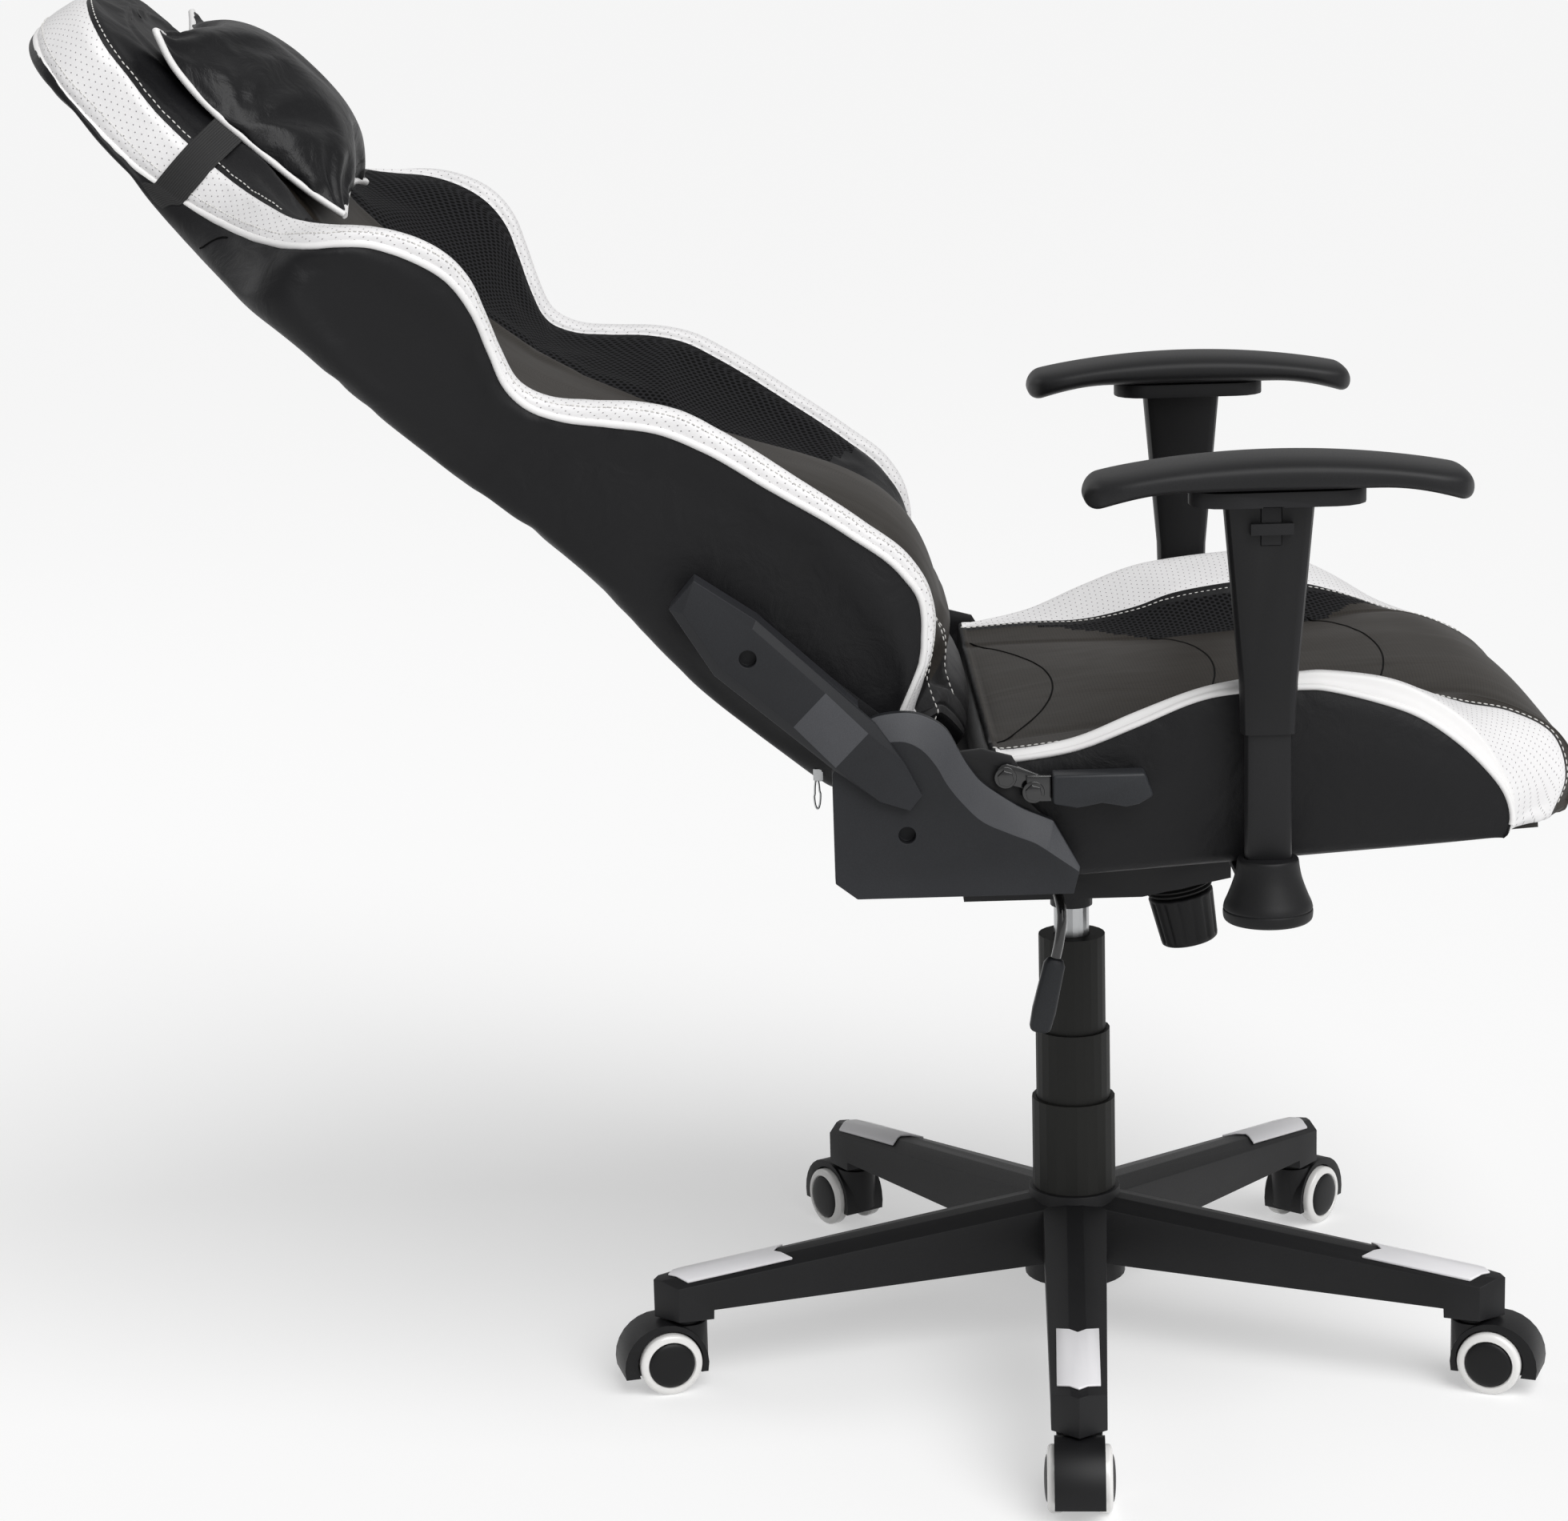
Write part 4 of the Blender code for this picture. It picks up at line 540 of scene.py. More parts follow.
def stitchTree():
    # Short threads laid end to end along every line, each a six-sided bead.
    tree, inputs = newTree("stitch_rows", Pitch=0.0048, Length=0.0034, Thickness=0.0007, Material=None)
    curve = spacedCurve(tree, inputs, "Pitch")
    bead = addNode(tree, "GeometryNodeMeshUVSphere", {"Segments": 6, "Rings": 5, "Radius": 1.0})
    thick = inputs.outputs["Thickness"]
    half = combined(tree, "MULTIPLY", inputs.outputs["Length"], 0.5)
    size = addNode(tree, "ShaderNodeCombineXYZ", {0: thick, 1: thick, 2: half})
    tangent = addNode(tree, "GeometryNodeInputTangent")
    turn = addNode(tree, "FunctionNodeAlignEulerToVector", {"Vector": tangent.outputs[0]}, axis="Z")
    row = {"Points": curve, "Instance": bead.outputs["Mesh"], "Rotation": turn.outputs[0], "Scale": size.outputs[0]}
    beads = addNode(tree, "GeometryNodeInstanceOnPoints", row)
    return finishTree(tree, beads.outputs[0], inputs)


def pipingTree():
    # A round cord under its cover, swept along every line.
    tree, inputs = newTree("piping", Radius=0.0026, Step=0.004, Material=None)
    round_ = {"Resolution": 12, "Radius": inputs.outputs["Radius"]}
    ring = addNode(tree, "GeometryNodeCurvePrimitiveCircle", round_, mode="RADIUS")
    sweep = {"Curve": spacedCurve(tree, inputs, "Step"), "Profile Curve": ring.outputs[0], "Fill Caps": True}
    cord = addNode(tree, "GeometryNodeCurveToMesh", sweep)
    return finishTree(tree, cord.outputs[0], inputs)


stitchRows = stitchTree()
pipingCord = pipingTree()


def grown(name, lines, tree, finish, **sizes):
    # Runs one of the trees along the lines and keeps the result as a plain mesh piece.
    guide = edgeLines(name, lines)
    bpy.context.scene.collection.objects.link(guide)
    modifier = guide.modifiers.new("grow", "NODES")
    modifier.node_group = tree
    keys = {item.name: item.identifier for item in tree.interface.items_tree if item.in_out == "INPUT"}
    modifier[keys["Material"]] = finish
    for label, value in sizes.items():
        modifier[keys[label]] = value
    graph = bpy.context.evaluated_depsgraph_get()
    mesh = bpy.data.meshes.new_from_object(guide.evaluated_get(graph), depsgraph=graph)
    bpy.data.objects.remove(guide)
    piece = newPiece(name, mesh)
    if not mesh.materials:
        mesh.materials.append(finish)
    return piece


def surfaceOf(piece):
    mesh = piece.data
    return BVHTree.FromPolygons([v.co for v in mesh.vertices], [p.vertices for p in mesh.polygons])


def laid(lines, piece, lift, drop=None):
    # Lays lines of points on a cover: each one goes to the nearest place on it, or straight down to it.
    tree = surfaceOf(piece)
    out = []
    for line in lines:
        found = []
        for point in line:
            spot, normal = (tree.ray_cast(Vector(point), drop) if drop else tree.find_nearest(Vector(point)))[:2]
            if spot is not None:
                found.append(np.array(spot + normal * lift))
        out.append(smoothed(np.array(found), 2))
    return out


def offsetLine(points, at, first, last, out, center=None):
    # Follows one column of a cover's points from row first to row last, lifted off the cover by out.
    around = points.shape[1]
    track, ahead, behind = (points[first:last, (at + k) % around] for k in (0, 1, -1))
    normal = np.cross(np.gradient(track, axis=0), ahead - behind)
    normal /= np.maximum(np.linalg.norm(normal, axis=1), 1e-9)[:, None]
    middle = points[first:last].mean(axis=1) if center is None else center
    flip = np.where(np.einsum("ij,ij->i", normal, track - middle) < 0, -1.0, 1.0)
    return track + normal * flip[:, None] * out


# Backrest. Its own frame: X across, Y away from the sitter, Z up along the back, from the hinge.

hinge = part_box("hinge_pin_right")
hingeLine = ((hinge[0][1] + hinge[1][1]) / 2, (hinge[0][2] + hinge[1][2]) / 2)
backPlace = Matrix.Translation((0, hingeLine[0], hingeLine[1])) @ Matrix.Rotation(math.radians(-47), 4, "X")

backShape = {
    # height along the back, half width, depth towards the sitter
    "piping": [
        (0.012, 0.237, 0.018), (0.027, 0.240, 0.035), (0.034, 0.241, 0.058), (0.050, 0.242, 0.083),
        (0.066, 0.243, 0.099), (0.092, 0.246, 0.107), (0.141, 0.248, 0.1035), (0.207, 0.250, 0.091),
        (0.257, 0.249, 0.081), (0.292, 0.247, 0.068), (0.320, 0.245, 0.049), (0.347, 0.243, 0.030),
        (0.369, 0.241, 0.0205), (0.390, 0.242, 0.021), (0.417, 0.247, 0.034), (0.444, 0.256, 0.048),
        (0.472, 0.264, 0.0545), (0.498, 0.271, 0.0505), (0.516, 0.274, 0.044), (0.528, 0.276, 0.038),
        (0.542, 0.276, 0.026), (0.559, 0.269, 0.007), (0.581, 0.240, -0.012), (0.599, 0.213, -0.023),
        (0.618, 0.187, -0.032), (0.638, 0.168, -0.039), (0.664, 0.1555, -0.044), (0.689, 0.151, -0.047),
        (0.716, 0.149, -0.0465), (0.740, 0.146, -0.045),
    ],
    "crest": [
        (0.012, 0.229, 0.022), (0.020, 0.231, 0.040), (0.033, 0.232, 0.072), (0.046, 0.233, 0.092),
        (0.066, 0.234, 0.109), (0.094, 0.237, 0.1185), (0.137, 0.239, 0.116), (0.192, 0.241, 0.1085),
        (0.257, 0.240, 0.0975), (0.288, 0.239, 0.089), (0.313, 0.237, 0.0745), (0.340, 0.234, 0.052),
        (0.361, 0.232, 0.036), (0.387, 0.232, 0.029), (0.410, 0.237, 0.038), (0.437, 0.246, 0.0525),
        (0.458, 0.253, 0.063), (0.482, 0.261, 0.067), (0.512, 0.267, 0.060), (0.536, 0.269, 0.046),
        (0.558, 0.263, 0.026), (0.578, 0.240, 0.006), (0.599, 0.2155, -0.007), (0.620, 0.188, -0.017),
        (0.651, 0.1640, -0.0250), (0.690, 0.1540, -0.0275), (0.740, 0.1480, -0.022),
    ],
    "inner": [
        (0.012, 0.214, 0.030), (0.020, 0.216, 0.044), (0.033, 0.217, 0.069), (0.046, 0.218, 0.087),
        (0.066, 0.219, 0.102), (0.094, 0.222, 0.110), (0.137, 0.224, 0.108), (0.192, 0.226, 0.1005),
        (0.257, 0.225, 0.0895), (0.288, 0.224, 0.081), (0.313, 0.222, 0.0665), (0.340, 0.219, 0.044),
        (0.361, 0.217, 0.028), (0.387, 0.217, 0.021), (0.410, 0.222, 0.030), (0.437, 0.231, 0.0445),
        (0.458, 0.238, 0.055), (0.482, 0.246, 0.059), (0.512, 0.252, 0.053), (0.536, 0.255, 0.041),
        (0.558, 0.250, 0.025), (0.578, 0.233, 0.0125), (0.599, 0.208, 0.004), (0.620, 0.181, -0.003),
        (0.651, 0.157, -0.008), (0.676, 0.150, -0.0085), (0.705, 0.147, -0.007), (0.740, 0.1445, 0.000),
    ],
    "valley": [
        (0.012, 0.172, 0.052), (0.035, 0.170, 0.075), (0.060, 0.166, 0.089), (0.090, 0.163, 0.095),
        (0.120, 0.160, 0.090), (0.160, 0.153, 0.076), (0.200, 0.145, 0.060), (0.250, 0.136, 0.044),
        (0.300, 0.130, 0.030), (0.340, 0.127, 0.016), (0.380, 0.126, 0.007), (0.420, 0.127, 0.002),
        (0.470, 0.130, -0.001), (0.520, 0.130, -0.001), (0.560, 0.124, 0.003), (0.600, 0.114, 0.009),
        (0.650, 0.100, 0.0135), (0.740, 0.092, 0.015),
    ],
    # height along the back, depth at the middle
    "middle": [
        (0.012, 0.084), (0.026, 0.094), (0.050, 0.108), (0.078, 0.117), (0.105, 0.118), (0.130, 0.113),
        (0.165, 0.100), (0.205, 0.081), (0.250, 0.061), (0.300, 0.040), (0.340, 0.024), (0.380, 0.0125),
        (0.420, 0.007), (0.470, 0.0045), (0.520, 0.006), (0.560, 0.009), (0.600, 0.014), (0.650, 0.019), (0.740, 0.0205),
    ],
    "rear": [
        (0.012, -0.045), (0.032, -0.046), (0.099, -0.050), (0.155, -0.0545), (0.202, -0.053), (0.237, -0.050),
        (0.282, -0.049), (0.417, -0.052), (0.484, -0.053), (0.540, -0.0515), (0.585, -0.056), (0.623, -0.0595),
        (0.645, -0.059), (0.663, -0.057), (0.687, -0.054), (0.712, -0.052), (0.740, -0.050),
    ],
    # over the top of the head: piping (x, s, d), crest, inner edge, top of the front panel (s, d), rear spine (s, d)
    "head": [
        ((0.141, 0.762, -0.0425), (0.1435, 0.7625, -0.021), (0.1375, 0.760, 0.0030), (0.747, 0.0205), (0.749, -0.0490)),
        ((0.134, 0.777, -0.0400), (0.1360, 0.7775, -0.019), (0.1295, 0.7735, 0.0065), (0.753, 0.0205), (0.757, -0.0480)),
        ((0.122, 0.790, -0.0380), (0.1230, 0.7910, -0.017), (0.1165, 0.7850, 0.0095), (0.758, 0.0200), (0.764, -0.0470)),
        ((0.105, 0.8005, -0.0360), (0.1055, 0.8015, -0.015), (0.0990, 0.7930, 0.0115), (0.762, 0.0198), (0.770, -0.0460)),
        ((0.084, 0.808, -0.0345), (0.0840, 0.8090, -0.014), (0.0790, 0.7985, 0.0120), (0.765, 0.0195), (0.775, -0.0450)),
        ((0.058, 0.8125, -0.0330), (0.0580, 0.8130, -0.013), (0.0550, 0.8010, 0.0118), (0.767, 0.0195), (0.779, -0.0445)),
        ((0.029, 0.8145, -0.0325), (0.0290, 0.8145, -0.012), (0.0280, 0.8020, 0.0110), (0.768, 0.0192), (0.781, -0.0440)),
        ((0.000, 0.8150, -0.0325), (0.0000, 0.8150, -0.012), (0.0000, 0.8022, 0.0108), (0.769, 0.0190), (0.782, -0.0440)),
    ],
    "span": (0.012, 0.740),  # from the hinge to the foot of the head
    "rowStep": 0.0062,
    "headRows": 28,
    # below the hinge: height, share of the width, share of the depth
    "lobe": [
        (0.004, 0.97, 0.97), (-0.006, 0.78, 1.0), (-0.020, 0.72, 1.0),
        (-0.034, 0.66, 1.0), (-0.042, 0.58, 0.72), (-0.044, 0.46, 0.42),
    ],
    "lobeDepth": 0.0145,  # the lobe starts this far in front of the hinge line
    "waistSeam": 0.378,
    "clear": 0.0645,  # the lumbar padding below the hinge stays this close to it
    "cap": 0.0045,
}

backColumns = {"rear": 9, "corner": 7, "side": 11, "roll": 12, "wing": 15, "panel": 13}


def backRow(pipe, crest, inner, valley, middle, spine):
    # One line round half of the backrest, from the rear spine to the middle of the front: (x, s, d) points.
    count = backColumns
    pipe, crest, inner, valley, middle, spine = map(np.asarray, (pipe, crest, inner, valley, middle, spine))
    room = pipe[2] - spine[2]
    corner = min(0.024, 0.55 * room)
    bulge = min(0.0035, 0.05 * room)
    width = pipe[0] + bulge
    line = []
    reach = max(0.0, width - corner)
    climb = pipe[1] - spine[1]
    for i in range(count["rear"]):
        x = reach * i / count["rear"]
        share = (x / max(width, 1e-6)) ** 2
        line.append((x, spine[1] + climb * share, spine[2] - 0.0008 * (1 - share)))
    for i in range(count["corner"]):
        turn = math.pi / 2 * i / count["corner"]
        x = reach + min(corner, width) * math.sin(turn)
        share = (x / max(width, 1e-6)) ** 2
        line.append((x, spine[1] + climb * share, spine[2] + corner * (1 - math.cos(turn))))
    foot = np.array((width, pipe[1], spine[2] + corner))
    for i in range(count["side"]):
        u = i / count["side"]
        point = foot + (pipe - foot) * u
        point[0] = width + (pipe[0] - width) * u**2.2
        line.append(point)
    # The roll: a quarter turn up to the crest and another one down to the band's inner seam.
    # Beside the head it only rises, so there it is one smooth bow through the crest.
    half = count["roll"] // 2
    bowed = float(ramp(-0.004, 0.008, inner[2] - crest[2]))
    control = 2 * crest - 0.5 * (pipe + inner)
    for i in range(2 * half):
        turn = math.pi / 2 * (i % half) / half
        sine, drawn = math.sin(turn), 1 - math.cos(turn)
        if i < half:
            point = pipe + (crest - pipe) * np.array((drawn, 0.5 * sine + 0.5 * i / half, sine))
        else:
            point = crest + (inner - crest) * np.array((sine, i / half - 1, drawn))
        u = i / (2 * half)
        bow = (1 - u) ** 2 * pipe + 2 * u * (1 - u) * control + u * u * inner
        line.append(point + (bow - point) * bowed)
    steep = (inner - valley) * 0.30
    knee = valley + np.array((0.42 * (inner[0] - valley[0]), 0.4 * (inner[1] - valley[1]), steep[2]))
    for i in range(count["wing"]):
        u = i / count["wing"]
        line.append((1 - u) ** 2 * inner + 2 * u * (1 - u) * knee + u * u * valley)
    rise = middle[2] - valley[2]
    for i in range(count["panel"] + 1):
        u = i / count["panel"]
        swell = 1 - (1 - u) ** (2.0 + 55 * max(0.0, rise - 0.004))
        line.append(valley + (middle - valley) * np.array((u, u, swell)))
    return np.array(line)


def backGrid():
    shape = backShape
    low, high = shape["span"]
    heights = np.linspace(low, high, int((high - low) / shape["rowStep"]) + 1)
    seams = ("piping", "crest", "inner", "valley")
    curves = {key: smoothTable(shape[key], heights) for key in (*seams, "middle", "rear")}
    rows = []
    for i, s in enumerate(heights):
        at = [(curves[key][i][0], s, curves[key][i][1]) for key in seams]
        rows.append(backRow(*at, (0, s, curves["middle"][i][0]), (0, s, curves["rear"][i][0])))
    head = [(*at, (0, s, curves["middle"][-1][0]), (0, s, curves["rear"][-1][0]))]
    for pipe, crest, inner, front, spine in shape["head"]:
        share = pipe[0] / curves["piping"][-1][0]
        height = front[0] + (inner[1] - front[0]) * 0.35 * (1 - share)
        valley = (0.64 * pipe[0], height, front[1] - 0.005 * share)
        head.append((pipe, crest, inner, valley, (0, *front), (0, *spine)))
    # The rows over the head are spaced evenly along a smooth path through these stations.
    stations = np.array([np.concatenate([np.asarray(k, float) for k in row]) for row in head])
    table = np.column_stack((np.arange(len(head)), stations))
    for at in np.linspace(0, len(head) - 1, shape["headRows"] + 1)[1:]:
        keys = smoothTable(table, at)[0].reshape(6, 3)
        if at == len(head) - 1:
            keys[:, 0] = 0
        rows.append(backRow(*keys))
    # Below the hinge line the padding narrows to a rounded lobe that hangs in front of the cross tube.
    lobe = []
    first = rows[0]
    for drop, narrow, squeeze in shape["lobe"]:
        low, high = shape["lobeDepth"], math.sqrt(shape["clear"] ** 2 - drop**2) - 0.001
        center = (low + high) / 2
        row = first.copy()
        row[:, 0] *= narrow
        span = (row[:, 2] - first[:, 2].min()) / (first[:, 2].max() - first[:, 2].min())
        row[:, 2] = center + (low + (high - low) * np.clip(span, 0, 1) ** 0.8 - center) * squeeze
        row[:, 1] = drop
        lobe.append(row)
    return np.array(lobe[::-1] + rows), len(lobe), heights


def buildBackrest():
    grid, lobeRows, heights = backGrid()
    # (x, s, d) to the backrest's own axes
    local = np.stack((grid[..., 0], -grid[..., 2], grid[..., 1]), axis=-1)
    rows, columns, _ = local.shape
    c = backColumns
    edge = {"pipe": c["rear"] + c["corner"] + c["side"]}
    edge["crest"] = edge["pipe"] + c["roll"] // 2
    edge["inner"] = edge["pipe"] + c["roll"]
    edge["valley"] = edge["inner"] + c["wing"]
    # Channels where the panels are sewn together.
    work = local.copy()
    level = grid[..., 1]
    across = np.arange(columns)
    fade = 1 - 0.85 * ramp(0.58, 0.64, level[:, :1])
    work[..., 1] += 0.0030 * fade * nearColumn(columns, edge["valley"], 0.9)
    work[..., 1] += 0.0016 * nearColumn(columns, edge["inner"], 0.7)
    work[..., 0] -= 0.0012 * nearColumn(columns, edge["pipe"], 0.8)
    # The mesh wing is two panels: a cross seam at the waist.
    wing = ((across > edge["inner"]) & (across < edge["valley"]))[None, :]
    seamAt = backShape["waistSeam"]
    work[..., 1] += np.where(wing, 0.0022 * np.exp(-(((level - seamAt) / 0.004) ** 2)), 0)
    ring, faces = wholeRings(work)
    around = ring.shape[1]
    mesh = meshFrom("backrest_cushion", placed(ring, backPlace).reshape(-1, 3), faces)
    u, v = clothLengths(work, edge["inner"])
    v[:, edge["pipe"] : edge["inner"] + 1] = v[:, [edge["crest"]]]
    uv = np.stack((u, v), axis=-1)
    setUvs(mesh, np.concatenate((uv, uv[:, -2:0:-1, :]), axis=1).reshape(-1, 2))
    # Which cover each face has.
    index = np.zeros((rows - 1, around), int)
    for j in range(around):
        k = j if j < columns - 1 else around - 1 - j
        for i in range(rows - 1):
            s = grid[i, edge["inner"], 1]
            if edge["pipe"] <= k < edge["inner"] and i >= lobeRows:
                index[i, j] = 1
            elif edge["inner"] <= k < edge["valley"] and 0.118 + 0.0017 * (k - edge["inner"]) < s < 0.572:
                index[i, j] = 2
            elif edge["valley"] <= k and i >= lobeRows and s < 0.66:
                index[i, j] = 3
    mesh.polygons.foreach_set("material_index", index.ravel().astype(np.int32))
    piece = newPiece("backrest_cushion", mesh, blackLeather, whiteBand, blackMesh, embossedPanel)
    # Seams hold still while the cover is blown up.
    hold = np.zeros((rows, columns))
    for key, wide in (("pipe", 1.2), ("inner", 1.0), ("valley", 1.0), ("crest", 3.0)):
        hold = np.maximum(hold, nearColumn(columns, edge[key], wide))
    hold[:, : c["rear"]] = np.maximum(hold[:, : c["rear"]], 0.55)
    hold[: lobeRows + 2] = 1
    hold = np.maximum(hold, np.where(wing, np.exp(-(((level - seamAt) / 0.005) ** 2)), 0))
    hold = np.concatenate((hold, hold[:, -2:0:-1]), axis=1)
    puffed(piece, np.clip(hold.ravel(), 0, 1), backShape["cap"])
    now = coordsOf(mesh).reshape(rows, around, 3)
    work = bmesh.new()
    work.from_mesh(mesh)
    work.verts.ensure_lookup_table()
    rim = [e for e in work.edges if e.is_boundary and all(v.index < around for v in e.verts)]
    bmesh.ops.holes_fill(work, edges=rim, sides=0)
    bmesh.ops.remove_doubles(work, verts=work.verts, dist=0.00005)
    bmesh.ops.recalc_face_normals(work, faces=work.faces)
    work.to_mesh(mesh)
    work.free()
    softened(piece)
    return piece, now, edge, grid, lobeRows, heights


backrest, backPoints, backEdge, backForm, lobeRows, backHeights = buildBackrest()
print("backrest padded:", len(backrest.data.vertices), "points")


def backLines(column, first, last, out):
    # One column of the backrest's points on both sides.
    around = backPoints.shape[1]
    return [offsetLine(backPoints, at, first, last, out) for at in (column, (around - column) % around)]


backTrim = {
    "pipingRadius": 0.0027,
    "stitch": {"Pitch": 0.0050, "Length": 0.0037, "Thickness": 0.00055},
    "whiteStitch": {"Pitch": 0.0038, "Length": 0.0027, "Thickness": 0.00045},
    "neckSeam": [(0.6180, -0.0560), (0.6120, -0.0500), (0.6040, -0.0420), (0.5930, -0.0330)],
    # half width, then (height along the back, depth) points
    "cornerRows": [
        (0.13, [(0.0324, 0.0881), (0.0163, 0.0842), (-0.0022, 0.0715), (-0.0112, 0.0648), (-0.014, 0.0564), (-0.0155, 0.0468)]),
        (0.20, [(0.0259, 0.0713), (0.0146, 0.0653), (0.0049, 0.0596), (-0.0017, 0.0512), (-0.0001, 0.0373)]),
    ],
}

# The piping runs up one side, over the head and down the other.
right, left = backLines(backEdge["pipe"], lobeRows, len(backPoints), 0.0006)
cord = [np.concatenate((right, left[-2::-1]))]
backPiping = grown("backrest_piping", cord, pipingCord, whitePiping, Radius=backTrim["pipingRadius"])

firstHead = lobeRows + int(np.searchsorted(backHeights, 0.585))
waist = lobeRows + int(np.searchsorted(backHeights, 0.20))
rows = backLines(backEdge["inner"] + 1, firstHead, len(backPoints) - 3, 0.0004)
rows += backLines(backEdge["valley"] + 2, lobeRows + 2, waist, 0.0005)
# Two rows round the lower corner of the lumbar padding, with a smooth strip between them.
for x, path in backTrim["cornerRows"]:
    track = alongPath(path, 40)
    for side in (-1, 1):
        rows += laid([placed([(side * x, -d, s) for s, d in track], backPlace)], backrest, 0.0005)
backStitches = grown("backrest_stitching", rows, stitchRows, whiteThread, **backTrim["stitch"])
# A thin black cord lies along each neck seam: painted shade of the seam.
track = alongPath([(-0.190, -d, s) for s, d in backTrim["neckSeam"]], 24)
rows = laid([placed(track, backPlace), placed(track * mirrorX, backPlace)], backrest, 0.0002)
neckSeamShade = grown("backrest_neck_seams", rows, pipingCord, seamShadeCord, Radius=0.0007)
rows = backLines(backEdge["pipe"] + 3, lobeRows + 3, len(backPoints) - 1, 0.0003)
bandStitches = grown("backrest_band_stitching", rows, stitchRows, whiteThread, **backTrim["whiteStitch"])

# Seat. Its own frame has the sloping underside of the seat as its floor, with Y along the slope.

seatSlope = math.radians(3.4)
seatPlace = Matrix.Translation((0, 0, 0.45198612)) @ Matrix.Rotation(-seatSlope, 4, "X")

seatShape = {
    # rows from the rear to the front: piping y, z, half width
    "piping": [
        (0, 0.066, 0.0922, 0.247), (1, 0.051, 0.0928, 0.250), (2, 0.009, 0.0977, 0.2525), (3, -0.0336, 0.1111, 0.254),
        (4, -0.0764, 0.1259, 0.255), (5, -0.1087, 0.1301, 0.255), (6, -0.1545, 0.1289, 0.255), (7, -0.1765, 0.1256, 0.255),
        (8, -0.2148, 0.1122, 0.254), (9, -0.242, 0.0984, 0.2525), (10, -0.2688, 0.0759, 0.250), (11, -0.290, 0.051, 0.246),
        (12, -0.3004, 0.0328, 0.243), (13, -0.3035, 0.016, 0.2425), (14, -0.300, 0.003, 0.243),
    ],
    "crest": [
        (0, 0.066, 0.0988, 0.241), (1, 0.0506, 0.0985, 0.2435), (2, 0.0081, 0.1048, 0.246), (3, -0.0348, 0.1197, 0.2475),
        (4, -0.0775, 0.1325, 0.2485), (5, -0.1098, 0.1368, 0.2485), (6, -0.1559, 0.1388, 0.2485), (7, -0.1781, 0.1374, 0.2485),
        (8, -0.2166, 0.1285, 0.248), (9, -0.2438, 0.1150, 0.247), (10, -0.2707, 0.0940, 0.245), (11, -0.2875, 0.0725, 0.242),
        (12, -0.2985, 0.0505, 0.2395), (13, -0.3055, 0.0300, 0.2385), (14, -0.304, 0.006, 0.239),
    ],
    "inner": [
        (0, 0.066, 0.0978, 0.231), (1, 0.050, 0.0978, 0.232), (2, 0.009, 0.0988, 0.227), (3, -0.034, 0.0995, 0.213),
        (4, -0.077, 0.1080, 0.202), (5, -0.110, 0.1178, 0.200), (6, -0.154, 0.1224, 0.200), (7, -0.178, 0.1220, 0.200),
        (8, -0.216, 0.1170, 0.200), (9, -0.2489, 0.1061, 0.198), (10, -0.282, 0.0925, 0.187), (11, -0.317, 0.0820, 0.181),
        (12, -0.347, 0.0630, 0.184), (13, -0.353, 0.0330, 0.196), (14, -0.338, 0.0050, 0.207),
    ],
    "valley": [
        (0, 0.066, 0.0925, 0.180), (1, 0.050, 0.0930, 0.178), (2, 0.009, 0.0935, 0.168), (3, -0.034, 0.0930, 0.158),
        (4, -0.077, 0.0915, 0.152), (5, -0.112, 0.0925, 0.150), (6, -0.158, 0.0935, 0.150), (7, -0.184, 0.0940, 0.151),
        (8, -0.228, 0.0955, 0.154), (9, -0.262, 0.0970, 0.159), (10, -0.295, 0.0935, 0.163), (11, -0.328, 0.0800, 0.163),
        (12, -0.357, 0.0580, 0.165), (13, -0.366, 0.0300, 0.175), (14, -0.353, 0.0040, 0.186),
    ],
    # rows from the rear to the front: middle y, z
    "middle": [
        (0, 0.066, 0.0895), (1, 0.050, 0.0930), (2, 0.009, 0.0968), (3, -0.034, 0.0993), (4, -0.079, 0.1003),
        (5, -0.115, 0.1007), (6, -0.162, 0.1011), (7, -0.190, 0.1015), (8, -0.238, 0.1022), (9, -0.274, 0.1015),
        (10, -0.312, 0.0955), (11, -0.345, 0.0740), (12, -0.3695, 0.0430), (13, -0.3795, 0.0180), (14, -0.372, 0.003),
    ],
    # the side's lower edge: y, half width
    "foot": [
        (0, 0.066, 0.249), (3, -0.0336, 0.2515), (6, -0.1545, 0.2525), (9, -0.242, 0.250), (10, -0.264, 0.248),
        (11, -0.280, 0.2455), (12, -0.290, 0.2435), (13, -0.295, 0.243), (14, -0.2965, 0.243),
    ],
    "rows": 112,
    "shelf": 0.0245,
    "shelfEnd": 0.1655,
    "wallY": 0.0703,
    "bulge": 0.0085,
    "cap": 0.0055,
    "boardClear": 0.0131,
    "rim": 0.0009,  # the cover's lower rim stands this far above the underside
    # the rear wall from its rounded edge down: how far back, share of its height left, fall of the edge
    "wall": [
        (-0.0012, 1.0, 0.0012), (0.0, 1.0, 0.0045), (0.0003, 0.75, 0.0), (0.0006, 0.45, 0.0),
        (0.0009, 0.2, 0.0), (0.0016, 0.02, 0.0), (0.006, 0.0, 0.0), (0.0297, 0.0, 0.0), (0.0597, 0.0, 0.0), (0.0912, 0.0, 0.0),
    ],
    "seams": [(0.008, 0.040, 0.226), (-0.118, 0.036, 0.152), (-0.248, 0.034, 0.158)],  # middle, bow, half length
}

seatColumns = {"side": 13, "roll": 6, "band": 9, "wing": 12, "panel": 15}


